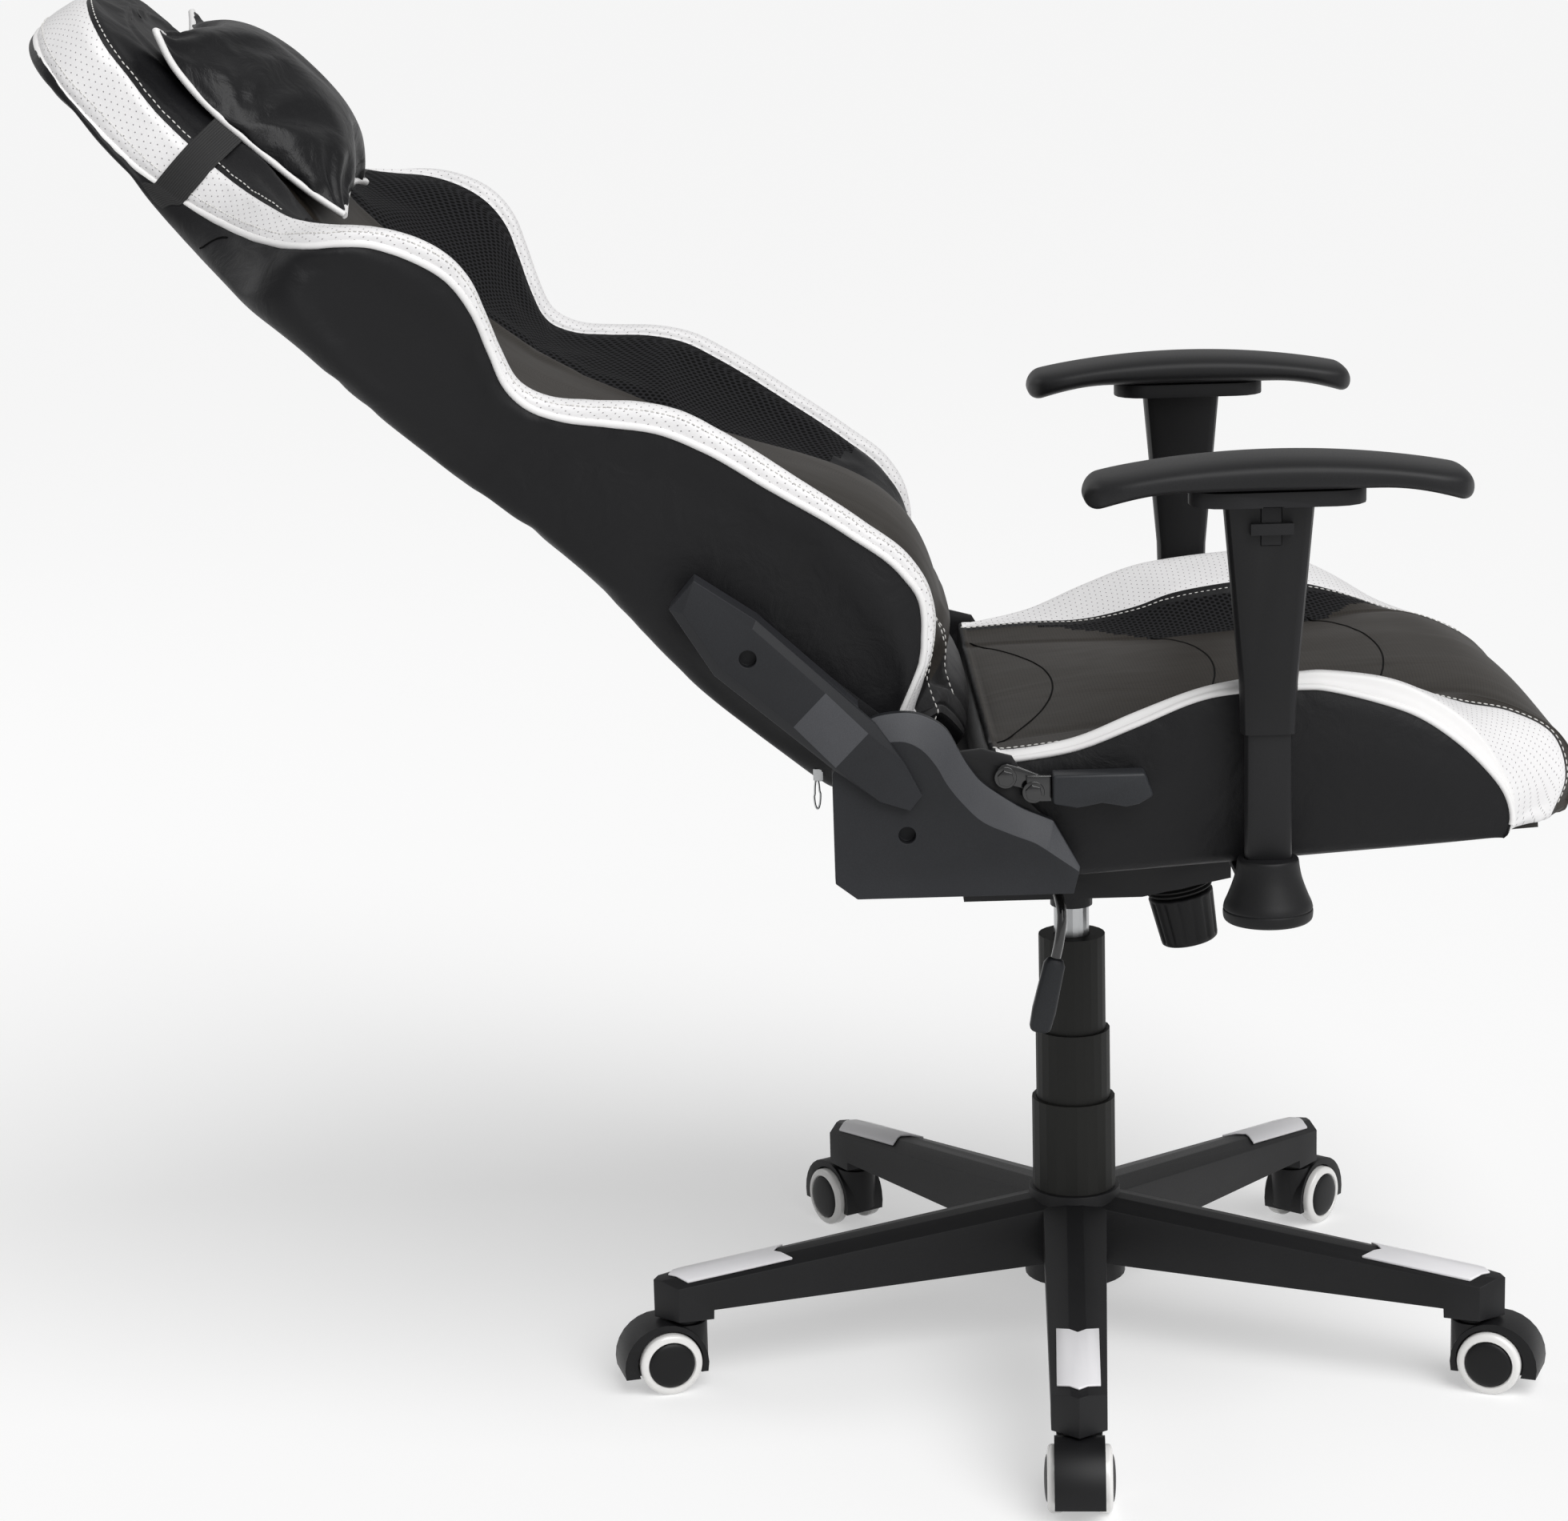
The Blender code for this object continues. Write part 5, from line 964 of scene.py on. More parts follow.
def seatRow(pipe, crest, inner, valley, middle, foot):
    count = seatColumns
    line = []
    base = np.array((foot[1], foot[0], seatShape["rim"]))
    for i in range(count["side"]):
        u = i / count["side"]
        point = base + (pipe - base) * u
        tall = pipe[2] - base[2]
        out = seatShape["bulge"] * min(1.0, tall / 0.09) * math.sin(math.pi * u) ** 0.75
        line.append(point + np.array((out, 0, 0)))
    for i in range(count["roll"]):
        turn = math.pi / 2 * i / count["roll"]
        line.append(pipe + (crest - pipe) * np.array((1 - math.cos(turn), i / count["roll"], math.sin(turn))))
    over = crest + (inner - crest) * 0.5 + np.array((0, 0, 0.16 * abs(crest[0] - inner[0])))
    for i in range(count["band"]):
        u = i / count["band"]
        line.append((1 - u) ** 2 * crest + 2 * u * (1 - u) * over + u * u * inner)
    knee = valley + (inner - valley) * np.array((0.45, 0.4, 0.22))
    for i in range(count["wing"]):
        u = i / count["wing"]
        line.append((1 - u) ** 2 * inner + 2 * u * (1 - u) * knee + u * u * valley)
    for i in range(count["panel"] + 1):
        u = i / count["panel"]
        line.append(valley + (middle - valley) * np.array((u, 1 - (1 - u) ** 2, 1 - (1 - u) ** 2.4)))
    return line


def buildSeat():
    shape = seatShape
    last = shape["piping"][-1][0]
    at = np.linspace(0, last, shape["rows"] + 1)
    seamed = ("piping", "crest", "inner", "valley")
    tables = {key: smoothTable(shape[key], at) for key in (*seamed, "middle", "foot")}
    rows = []
    for i in range(len(at)):
        keys = [tables[key][i][[2, 0, 1]] for key in seamed]
        middle = np.array((0.0, *tables["middle"][i]))
        rows.append(seatRow(*keys, middle, tables["foot"][i]))
    top = np.array(rows)
    # The rear: a rounded edge, a wall, and the low shelf under the backrest.
    back = []
    wall, shelf = shape["wallY"], shape["shelf"]
    for past, high, fall in shape["wall"]:
        row = top[0].copy()
        row[:, 1] = wall + past
        lowered = shelf + (row[:, 2] - shelf) * high - fall * ramp(0.05, 0.09, row[:, 2])
        row[:, 2] = np.minimum(row[:, 2], lowered)
        back.append(row)
    for z in (shelf - 0.004, 0.010, shape["rim"]):
        row = back[-1].copy()
        row[:, 1] = shape["shelfEnd"]
        row[:, 2] = np.minimum(row[:, 2], z)
        row[:, 0] = np.minimum(row[:, 0], 0.251)
        back.append(row)
    grid = np.concatenate((np.array(back[::-1]), top))
    lead = len(back)
    count, columns, _ = grid.shape
    c = seatColumns
    edge = {"pipe": c["side"], "crest": c["side"] + c["roll"]}
    edge["inner"] = edge["crest"] + c["band"]
    edge["valley"] = edge["inner"] + c["wing"]
    across = np.arange(columns)
    work = grid.copy()
    level = grid[..., 1]
    sewn = (np.arange(count) >= lead)[:, None].astype(float)
    work[..., 2] -= 0.0034 * sewn * nearColumn(columns, edge["valley"], 0.9)
    work[..., 2] -= 0.0016 * sewn * nearColumn(columns, edge["inner"], 0.7)
    work[..., 0] -= 0.0014 * sewn * nearColumn(columns, edge["pipe"], 0.8)
    # Three curved seams across the middle panel, bowed towards the front.
    seams = np.zeros((count, columns))
    for middleY, bow, _ in shape["seams"]:
        line = middleY + bow * (np.abs(grid[..., 0]) / 0.16) ** 2
        near = np.exp(-(((level - line) / 0.0026) ** 2)) * (across > edge["valley"])[None, :] * sewn
        seams = np.maximum(seams, near)
    work[..., 2] -= 0.0024 * seams * (grid[..., 2] > 0.06)
    full = np.concatenate((work, work[:, -2::-1] * mirrorX), axis=1)
    around = full.shape[1]
    points = placed(full, seatPlace)
    mesh = meshFrom("seat_cushion_cover", points.reshape(-1, 3), sheetFaces(count, around))
    u, v = clothLengths(work, edge["inner"])
    uv = np.stack((u, v), axis=-1)
    # The middle panel's rows lie straight across it.
    panel = across > edge["valley"]
    uv[:, panel, 0] = grid[:, panel, 0]
    uv[:, panel, 1] = v[:, -1][:, None]
    station = (np.arange(count) - lead) * last / shape["rows"]
    ends = np.nonzero((station < 2.2) | (station > 9.4))[0]
    wing = np.arange(edge["inner"] + 1, edge["valley"] + 1)
    uv[np.ix_(ends, wing, [0])] = grid[np.ix_(ends, wing, [0])]
    uv[np.ix_(ends, wing, [1])] = v[ends][:, [-1]][:, None]
    uv = np.concatenate((uv, uv[:, -2::-1]), axis=1)
    setUvs(mesh, uv.reshape(-1, 2))
    # The mesh is a leaf between the stitched edge and the middle panel.
    leaf = ramp(2.0, 4.6, station) * (1 - ramp(7.6, 9.8, station)) * (edge["valley"] - edge["inner"] - 2)
    index = np.zeros((count - 1, around - 1), int)
    for j in range(around - 1):
        k = j if j < columns - 1 else around - 2 - j
        for i in range(lead, count - 1):
            if edge["pipe"] <= k < edge["crest"]:
                index[i, j] = 4
            elif edge["crest"] <= k < edge["inner"]:
                index[i, j] = 1
            elif edge["inner"] + 2 <= k < edge["inner"] + 2 + leaf[i]:
                index[i, j] = 2
            elif edge["inner"] + 2 <= k:
                index[i, j] = 3
    mesh.polygons.foreach_set("material_index", index.ravel().astype(np.int32))
    piece = newPiece("seat_cushion_cover", mesh, blackLeather, whiteBand, blackMesh, embossedPanel, whitePiping)
    hold = np.zeros((count, columns))
    for key, wide in (("pipe", 1.2), ("crest", 2.0), ("inner", 1.0), ("valley", 1.0)):
        hold = np.maximum(hold, nearColumn(columns, edge[key], wide))
    hold = np.maximum(hold, 0.9 * seams)
    hold[:, 0] = 1
    hold[:, 1] = 0.6
    hold[: lead + 2] = 1
    hold[-1] = 1
    hold[-2] = 0.7
    hold = np.concatenate((hold, hold[:, -2::-1]), axis=1)
    puffed(piece, np.clip(hold.ravel(), 0, 1), shape["cap"])
    now = coordsOf(mesh).reshape(count, around, 3)
    # The underside: a flat rim, then up over the board, closed across the middle.
    inverse = seatPlace.inverted()
    work = bmesh.new()
    work.from_mesh(mesh)
    bmesh.ops.remove_doubles(work, verts=work.verts, dist=0.00005)
    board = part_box("seat_board")
    halfX = board[1][0] + 0.0012
    cosine = math.cos(seatSlope)
    frontY, rearY = board[0][1] / cosine - 0.0022, board[1][1] / cosine + 0.0022
    rim = [e for e in work.edges if e.is_boundary]
    for shift in (shape["rim"], shape["boardClear"]):
        made = bmesh.ops.extrude_edge_only(work, edges=rim)["geom"]
        rim = [g for g in made if isinstance(g, bmesh.types.BMEdge)]
        for vert in {v for e in rim for v in e.verts}:
            spot = inverse @ vert.co
            spot.x = max(-halfX, min(halfX, spot.x))
            spot.y = max(frontY, min(rearY, spot.y))
            spot.z = shift
            vert.co = seatPlace @ spot
        rim = [e for e in rim if e.is_boundary]
    bmesh.ops.holes_fill(work, edges=rim, sides=0)
    bmesh.ops.triangulate(work, faces=[f for f in work.faces if len(f.verts) > 4])
    bmesh.ops.remove_doubles(work, verts=work.verts, dist=0.00005)
    bmesh.ops.recalc_face_normals(work, faces=work.faces)
    work.to_mesh(mesh)
    work.free()
    softened(piece)
    return piece, now, edge, lead


seatCushion, seatPoints, seatEdge, seatLead = buildSeat()
print("seat padded:", len(seatCushion.data.vertices), "points")


def seatLines(column, last, out):
    # One column of the seat's points on both sides, from the rear edge to the given row.
    center = np.array((0.0, -0.15, 0.44))
    both = (column, seatPoints.shape[1] - 1 - column)
    return [offsetLine(seatPoints, at, seatLead, last, out, center) for at in both]


seatTrim = {"pipingRadius": 0.0024, "stitch": {"Pitch": 0.0050, "Length": 0.0037, "Thickness": 0.00055}}
lastRow = len(seatPoints)
rows = seatLines(seatEdge["pipe"], lastRow - 5, 0.0004)
seatPiping = grown("seat_piping", rows, pipingCord, whitePiping, Radius=seatTrim["pipingRadius"])
rows = seatLines(seatEdge["inner"] + 1, lastRow - 3, 0.0005)
seatStitches = grown("seat_stitching", rows, stitchRows, whiteThread, **seatTrim["stitch"])

# The middle panel is sewn from four pieces. A thin black cord lies down in each curved seam: painted shade of the
# seam's groove.
down = seatPlace.to_3x3() @ Vector((0, 0, -1))
rows = []
for middleY, bow, reach in seatShape["seams"]:
    across = np.linspace(-reach, reach, 90)
    rows.append(placed([(x, middleY + bow * (abs(x) / 0.16) ** 2, 0.16) for x in across], seatPlace))
seatSeamShade = grown("seat_panel_seams", laid(rows, seatCushion, 0.0, down), pipingCord, seamShadeCord, Radius=0.0007)
print("seat trimmed")

# Head pillow

pillowShape = {
    "low": 0.5615,  # height of the lower and upper corners along the back
    "high": 0.7490,
    "halfWidth": 0.1145,
    "sideWaist": 0.005,  # how far each edge pulls in between its corners
    "lowWaist": 0.010,
    "highWaist": 0.019,
    # depth of the sewn rim beside the head, from the lower corner to the upper one
    "rim": [(-1.0, 0.0205), (-0.75, 0.0172), (-0.4, 0.0150), (-0.05, 0.0142), (0.22, 0.0142), (0.5, 0.0165), (0.78, 0.0225), (1.0, 0.0320)],
    "middleRim": 0.026,
    "tilt": 0.0045,  # the left end sits this much higher than the middle
    "rear": 0.0226,
    "front": 0.0695,
    "across": 52,
    "along": 44,
    "cap": 0.005,
    "pipingRadius": 0.0027,
}


def buildPillow():
    shape = pillowShape
    quarter = math.pi / 2 * 0.97  # points lie closer together near the rim
    a, b = (np.sin(np.linspace(-quarter, quarter, shape[key] + 1)) / math.sin(quarter) for key in ("across", "along"))
    across, up = np.meshgrid(a, b)
    middle, half = (shape["low"] + shape["high"]) / 2, (shape["high"] - shape["low"]) / 2
    pull = 1 - np.abs(across) ** 1.6
    x = across * (shape["halfWidth"] - shape["sideWaist"] * (1 - np.abs(up) ** 1.6))
    waist = np.where(up < 0, shape["lowWaist"], shape["highWaist"])
    s = middle + up * (half - waist * pull * np.abs(up)) + shape["tilt"] * across
    edgeRim = smoothTable(shape["rim"], b)[:, 0][:, None]
    rim = edgeRim + (shape["middleRim"] - edgeRim) * pull
    full = ((1 - np.abs(across) ** 2.2) * (1 - np.abs(up) ** 2.1)) ** 0.56
    # Folds that run from each corner towards the middle, and from the strap's ends.
    gathers = np.zeros_like(across)
    for cx in (-1, 1):
        for cb in (-1, 1, 0.05):
            away, over = (across - cx) * 0.115, (up - cb) * 0.093
            reach, angle = np.hypot(away, over), np.arctan2(over, -cx * away)
            fold = np.sin(8.5 * angle + 1.3 * cx + 2 * cb) * np.clip(reach / 0.018, 0, 1)
            gathers += np.exp(-((reach / 0.052) ** 2)) * fold
    front = rim + (shape["front"] - rim) * full + 0.0024 * gathers * (full > 0)
    rear = rim + (shape["rear"] - rim) * np.clip(full * 1.5, 0, 1)
    rear = np.minimum(rear, front - 0.0002 * (full <= 0))
    grids = [np.stack((x, -d, s), axis=-1) for d in (front, rear)]
    points = placed(np.concatenate([g.reshape(-1, 3) for g in grids]), backPlace)
    rows, columns = across.shape
    size = rows * columns
    quads = sheetFaces(rows, columns)
    mesh = meshFrom("head_pillow_cover", points, np.concatenate((quads, quads[:, ::-1] + size)))
    piece = newPiece("head_pillow_cover", mesh, pillowLeather)
    # The two halves are sewn along the rim. The rear half, behind the sitter's head, hardly moves.
    at = np.arange(size).reshape(rows, columns)
    rim = [int(i) for i in np.concatenate((at[0, :-1], at[:-1, -1], at[-1, :0:-1], at[:0:-1, 0]))]
    work = bmesh.new()
    work.from_mesh(mesh)
    work.verts.ensure_lookup_table()
    hold = work.verts.layers.float.new("hold")
    for index in range(size, 2 * size):
        work.verts[index][hold] = 0.7
    for index in rim:
        work.verts[index + size].co = work.verts[index].co
        work.verts[index][hold] = work.verts[index + size][hold] = 1.0
    rimPoints = [np.array(work.verts[i].co) for i in rim]
    bmesh.ops.remove_doubles(work, verts=work.verts, dist=0.00002)
    bmesh.ops.recalc_face_normals(work, faces=work.faces)
    work.verts.ensure_lookup_table()
    held = np.array([v[hold] for v in work.verts])
    work.to_mesh(mesh)
    work.free()
    puffed(piece, held, shape["cap"], slack=0.045)
    softened(piece)
    return piece, np.array(rimPoints + rimPoints[:2])


headPillow, pillowRim = buildPillow()
pillowPiping = grown("head_pillow_piping", [pillowRim], pipingCord, whitePiping, Radius=pillowShape["pipingRadius"])

strapShape = {
    # its lower and upper edge, by height along the back
    "front": (0.6475, 0.6725),
    "rear": (0.6590, 0.6835),
    "width": 0.026,
    "lift": 0.0009,
    "thickness": 0.0014,
    "across": 8,
}


def buildStrap():
    shape = strapShape
    half = backForm[lobeRows : len(backHeights) + lobeRows - 1]
    level = half[:, :, 1]
    # The strap rises towards the rear: 0 behind the head, 1 in front of it.
    turn = np.clip((half[50, :, 2] + 0.06) / 0.08, 0, 1)
    low, high = (rear + (front - rear) * turn for front, rear in zip(shape["front"], shape["rear"]))
    lines = []
    for share in np.linspace(0, 1, shape["across"] + 1):
        line = []
        for j, s in enumerate(low + (high - low) * share):
            x, d = (np.interp(s, level[:, j], half[:, j, axis]) for axis in (0, 2))
            line.append((x, -d, s))
        lines.append(line)
    ring, faces = wholeRings(np.array(lines))
    rows = len(ring)
    for _ in range(2):
        ring = 0.5 * ring + 0.25 * (np.roll(ring, 1, axis=1) + np.roll(ring, -1, axis=1))
    flat = ring[..., :2].copy()
    tangent = np.roll(flat, -1, axis=1) - np.roll(flat, 1, axis=1)
    outward = np.stack((tangent[..., 1], -tangent[..., 0]), axis=-1)
    outward /= np.maximum(np.linalg.norm(outward, axis=-1, keepdims=True), 1e-9)
    center = flat.mean(axis=1, keepdims=True)
    outward *= np.where((outward * (flat - center)).sum(axis=-1, keepdims=True) < 0, -1, 1)
    ring[..., :2] = flat + outward * shape["lift"]
    mesh = meshFrom("head_pillow_strap", placed(ring, backPlace).reshape(-1, 3), faces)
    length = np.concatenate(([0], np.cumsum(np.linalg.norm(np.diff(ring[0], axis=0), axis=1))))
    wide = np.linspace(0, shape["width"], rows)
    uv = np.stack(np.broadcast_arrays(wide[:, None], length[None, :]), axis=-1)
    setUvs(mesh, uv.reshape(-1, 2))
    cleaned(mesh)
    piece = newPiece("head_pillow_strap", mesh, elasticBand)
    applied(piece, ("SOLIDIFY", {"thickness": shape["thickness"], "offset": 1.0}))
    shadeSmooth(piece.data, 50)
    return piece


pillowStrap = buildStrap()
print("pillow and strap made")

# Mouldings and steel


def bodyOf(nodeName):
    return frame["nodes"][nodeName].parent.name.replace("body:", "")


def stands(piece, *nodeNames):
    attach(piece, bodyOf(nodeNames[0]))
    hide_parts(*nodeNames)
    return piece


def rounding(width, segments, angle):
    limit = {"limit_method": "ANGLE", "angle_limit": math.radians(angle)}
    return "BEVEL", {"width": width, "segments": segments, **limit}


def eased(nodeName, finish, width=0.0006, segments=2, angle=32):
    # A copy of the CAD moulding with its faces joined up and its edges rounded as a mould leaves them.
    source = frame["nodes"][nodeName]
    mesh = source.data.copy()
    mesh.transform(source.matrix_world)
    mesh.materials.clear()
    work = bmesh.new()
    work.from_mesh(mesh)
    bmesh.ops.remove_doubles(work, verts=work.verts, dist=0.00001)
    bmesh.ops.dissolve_limit(work, angle_limit=math.radians(0.5), verts=work.verts, edges=work.edges)
    work.to_mesh(mesh)
    work.free()
    piece = newPiece(f"{nodeName}_moulding", mesh, finish)
    applied(piece, rounding(width, segments, angle))
    shadeSmooth(piece.data, 38)
    return stands(piece, nodeName)


def solidFrom(name, finish, points, faces, *holes, bevel=0.0005, sharp=30, second=None):
    # A closed moulding from its corners and faces, with round holes cut and its edges eased.
    mesh = meshFrom(name, points, faces)
    if second:
        for index in second[1]:
            mesh.polygons[index].material_index = 1
    cleaned(mesh)
    piece = newPiece(name, mesh, finish, *([second[0]] if second else []))
    cutters = []
    for place, radius, depth in holes:
        drill = bmesh.new()
        at = Matrix.Translation(place) @ Matrix.Rotation(math.pi / 2, 4, "Y")
        size = {"radius1": radius, "radius2": radius, "depth": depth}
        bmesh.ops.create_cone(drill, cap_ends=True, segments=40, matrix=at, **size)
        cutter = bpy.data.meshes.new("drill")
        drill.to_mesh(cutter)
        drill.free()
        cutters.append(bpy.data.objects.new("drill", cutter))
        bpy.context.scene.collection.objects.link(cutters[-1])
    cut = {"operation": "DIFFERENCE", "solver": "EXACT"}
    steps = [("BOOLEAN", {"object": cutter, **cut}) for cutter in cutters]
    applied(piece, *steps, rounding(bevel, 2, 12))
    for cutter in cutters:
        bpy.data.objects.remove(cutter)
    shadeSmooth(piece.data, sharp)
    return piece


hingeCover = {
    # the lower cover's outline as (y, z) from the hinge: the bevelled part over the top and down the front
    "outer": [
        (0.028, 0.038), (0.0158, 0.0440), (-0.0040, 0.0460), (-0.0190, 0.0425), (-0.0330, 0.0330), (-0.0425, 0.0160),
        (-0.0490, 0.0050), (-0.0570, -0.0055), (-0.0690, -0.0150), (-0.0870, -0.0265), (-0.1085, -0.0360), (-0.1275, -0.0710),
    ],
    "inner": [
        (0.0180, 0.0262), (0.0125, 0.0262), (-0.0028, 0.0264), (-0.0153, 0.0200), (-0.0253, 0.0080), (-0.0326, -0.0053),
        (-0.0426, -0.0187), (-0.0576, -0.0336), (-0.0779, -0.0434), (-0.0940, -0.0500), (-0.1035, -0.0560), (-0.1262, -0.0722),
    ],
    "rest": [
        (-0.1220, -0.0885), (0.0330, -0.0885), (0.0485, -0.0765),
        (0.0490, 0.0035), (0.0445, 0.0130), (0.0380, 0.0260),
    ],
    "bevelDrop": 0.0082,
    "screw": (-0.0035, -0.0420),
    "screwRadius": 0.0062,
}

upperCover = {
    # corner: (along the back, depth, how far below the outermost face)
    "corners": {
        "A": (0.2060, 0.0115, 0.0040), "B": (0.2055, -0.0155, 0.0052), "C": (0.1966, -0.0105, 0.0016),
        "D": (0.1540, 0.0193, 0.0050), "E": (0.1527, 0.0135, 0.0), "F": (0.1529, -0.0224, 0.0),
        "G": (0.1500, -0.0305, 0.0062), "H": (0.0860, 0.0190, 0.0050), "I": (0.0836, 0.0129, 0.0),
        "J": (0.0844, -0.0204, 0.0), "K": (0.0419, -0.0234, 0.0030), "L": (0.0390, -0.0258, 0.0062),
        "M": (0.0410, 0.0185, 0.0060), "N": (0.0412, 0.0107, 0.0024), "O": (0.0071, 0.0110, 0.0064),
        "P": (-0.0185, 0.0015, 0.0070), "Q": (-0.0195, -0.0125, 0.0072), "R": (0.0010, -0.0218, 0.0070),
    },
    "rim": "ADHMOPQRLGB",
    "faces": ("ACB", "ADEFC", "DHIE", "EIJF", "HMNI", "INKJ", "MON", "NOPQRK", "KRL", "FJKLG", "CFGB"),
    "thick": [
        (0.0190, 0.0575), (0.0192, 0.086), (0.0190, 0.154), (0.0110, 0.2055),
        (-0.0155, 0.2045), (-0.0300, 0.150), (-0.0262, 0.0575),
    ],
    "screw": (0.1410, -0.0050),
}


def buildHingeCovers():
    for name, side in sides.items():
        low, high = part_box(f"lower_hinge_cover_{name}")
        near, far = sorted((abs(low[0]), abs(high[0])))
        shape = hingeCover
        y0, z0 = hingeLine
        corner = len(shape["outer"]) - 2
        steps = np.linspace(0, corner, 5 * corner + 1)
        lines = []
        for key in ("outer", "inner"):
            line = smoothTable([(i, *spot) for i, spot in enumerate(shape[key][: corner + 1])], steps)
            lines.append([tuple(spot) for spot in line] + [shape[key][-1]])
        top = [(side * (far - shape["bevelDrop"]), y0 + y, z0 + z) for y, z in lines[0]]
        flat = [(side * far, y0 + y, z0 + z) for y, z in lines[1]]
        rest = [(side * far, y0 + y, z0 + z) for y, z in shape["rest"]]
        count = len(top)
        points = top + flat + rest
        rim = list(range(count)) + list(range(2 * count, 2 * count + len(rest)))
        under = len(points)
        points += [(side * near, points[i][1], points[i][2]) for i in rim]
        faces = [(i, i + 1, count + i + 1, count + i) for i in range(count - 1)]
        faces.append(tuple(range(count, 2 * count)) + tuple(range(2 * count, 2 * count + len(rest))))
        faces.append((0, count, 2 * count + len(rest) - 1))
        faces.append((count - 1, 2 * count, 2 * count - 1))
        faces.append(tuple(range(under, under + len(rim))))
        for i in range(len(rim)):
            k = (i + 1) % len(rim)
            faces.append((rim[i], rim[k], under + k, under + i))
        hole = ((side * far, y0 + shape["screw"][0], z0 + shape["screw"][1]), shape["screwRadius"], 0.018)
        # The bevel faces take the lighter second finish: a painted highlight on the bevel.
        looks = {"bevel": 0.0006, "sharp": 14, "second": (coverLitBevel, range(count - 1))}
        piece = solidFrom(f"lower_hinge_cover_{name}_moulding", coverPlastic, points, faces, hole, **looks)
        stands(piece, f"lower_hinge_cover_{name}")

        low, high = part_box(f"upper_hinge_cover_{name}")
        near, far = sorted((abs(low[0]), abs(high[0])))
        corners = upperCover["corners"]
        letters = list(corners)
        points = [(side * (far - corners[c][2]), -corners[c][1], corners[c][0]) for c in letters]
        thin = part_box(f"lower_hinge_cover_{name}")
        thinFace = max(abs(thin[0][0]), abs(thin[1][0])) + 0.0011
        under = len(points)
        points += [(side * thinFace, -corners[c][1], corners[c][0]) for c in upperCover["rim"]]
        faces = [tuple(letters.index(c) for c in face) for face in upperCover["faces"]]
        rim = upperCover["rim"]
        faces.append(tuple(range(under, under + len(rim))))
        for i in range(len(rim)):
            k = (i + 1) % len(rim)
            faces.append((letters.index(rim[i]), letters.index(rim[k]), under + k, under + i))
        first = len(points)
        block = upperCover["thick"]
        for x in (near, thinFace + 0.0012):
            points += [(side * x, -d, s) for d, s in block]
        size = len(block)
        faces += [tuple(range(start, start + size)) for start in (first, first + size)]
        faces += between(first, first + size, size)
        points = placed(points, backPlace)
        spot = backPlace @ Vector((side * far, -upperCover["screw"][1], upperCover["screw"][0]))
        hole = (tuple(spot), hingeCover["screwRadius"], 0.017)
        # One facet takes the lighter second finish: a painted highlight on it.
        looks = {"bevel": 0.0005, "sharp": 12, "second": (coverLitBevel, [5])}
        piece = solidFrom(f"upper_hinge_cover_{name}_moulding", coverPlastic, points, faces, hole, **looks)
        stands(piece, f"upper_hinge_cover_{name}")


buildHingeCovers()


def lathe(profile, axis, center, steps):
    # Spins (radius, along) points round an axis through center: (points, faces).
    axis = Vector(axis).normalized()
    side = axis.orthogonal().normalized()
    other = axis.cross(side)
    center = Vector(center)
    points, faces = [], []
    for radius, along in profile:
        for i in range(steps):
            turn = 2 * math.pi * i / steps
            points.append(center + axis * along + (side * math.cos(turn) + other * math.sin(turn)) * radius)
    for k in range(len(profile) - 1):
        faces += between(k * steps, (k + 1) * steps, steps)
    return points, faces


casterShape = {
    "treadRadius": 0.0250,
    "edge": 0.0042,  # the tread's rounded shoulder
    "hubRadius": 0.0182,
    "dome": 0.0024,
    "steps": 64,
}


def buildWheels():
    shape = casterShape
    for number in range(1, 6):
        turn = math.radians(4.1 + 72 * (number - 1))
        across = Vector((math.sin(turn), math.cos(turn), 0))
        for letter in "ab":
            nodeName = f"caster_wheel_{number}{letter}"
            node = frame["nodes"][nodeName]
            points = [node.matrix_world @ v.co for v in node.data.vertices]
            reach = [p.dot(across) for p in points]
            outer = max(reach, key=abs)
            sign = 1 if outer > 0 else -1
            inner = min(reach, key=abs)
            heights = [p.z for p in points]
            # The dome widens the box on one side only, so the axle is found from the tread's own points.
            rim = [p for p, r in zip(points, reach) if abs(abs(r) - abs(inner)) < 0.0008]
            center = Vector(np.mean([tuple(p) for p in rim], axis=0))
            center -= across * center.dot(across)
            center.z = (min(heights) + max(heights)) / 2
            face = abs(outer) - shape["dome"]
            start = abs(inner)
            r, e, hub = shape["treadRadius"] - 0.0001, shape["edge"], shape["hubRadius"]
            tread = [(0.0034, start), (r - 0.004, start)]
            for a in np.linspace(0, math.pi / 2, 5):
                tread.append((r - 0.002 + 0.002 * math.sin(a), start + 0.002 - 0.002 * math.cos(a)))
            for a in np.linspace(0, math.pi / 2, 9):
                tread.append((r - e + e * math.cos(a), face - e * 0.75 + e * 0.75 * math.sin(a)))
            tread += [(hub + 0.0012, face + 0.0001), (hub + 0.0006, face - 0.0006), (hub + 0.0002, face - 0.0016)]
            cap = [(hub, face - 0.0016), (hub - 0.0003, face - 0.0002)]
            for a in np.linspace(0.08, math.pi / 2 - 0.02, 10):
                cap.append(((hub - 0.0008) * math.cos(a), face + shape["dome"] * math.sin(a)))
            whole = tread + cap
            vertices, faces = lathe(whole, across * sign, center, shape["steps"])
            faces += endFaces(len(vertices), shape["steps"])
            mesh = meshFrom(nodeName + "_tyre", vertices, faces)
            black = (len(tread) - 1) * shape["steps"]
            index = [int(i >= black) for i in range(len(faces))]
            mesh.polygons.foreach_set("material_index", index)
            cleaned(mesh, 0.000005)
            piece = newPiece(nodeName + "_tyre", mesh, treadPlastic, casterPlastic)
            shadeSmooth(piece.data, 35)
            stands(piece, nodeName)


buildWheels()

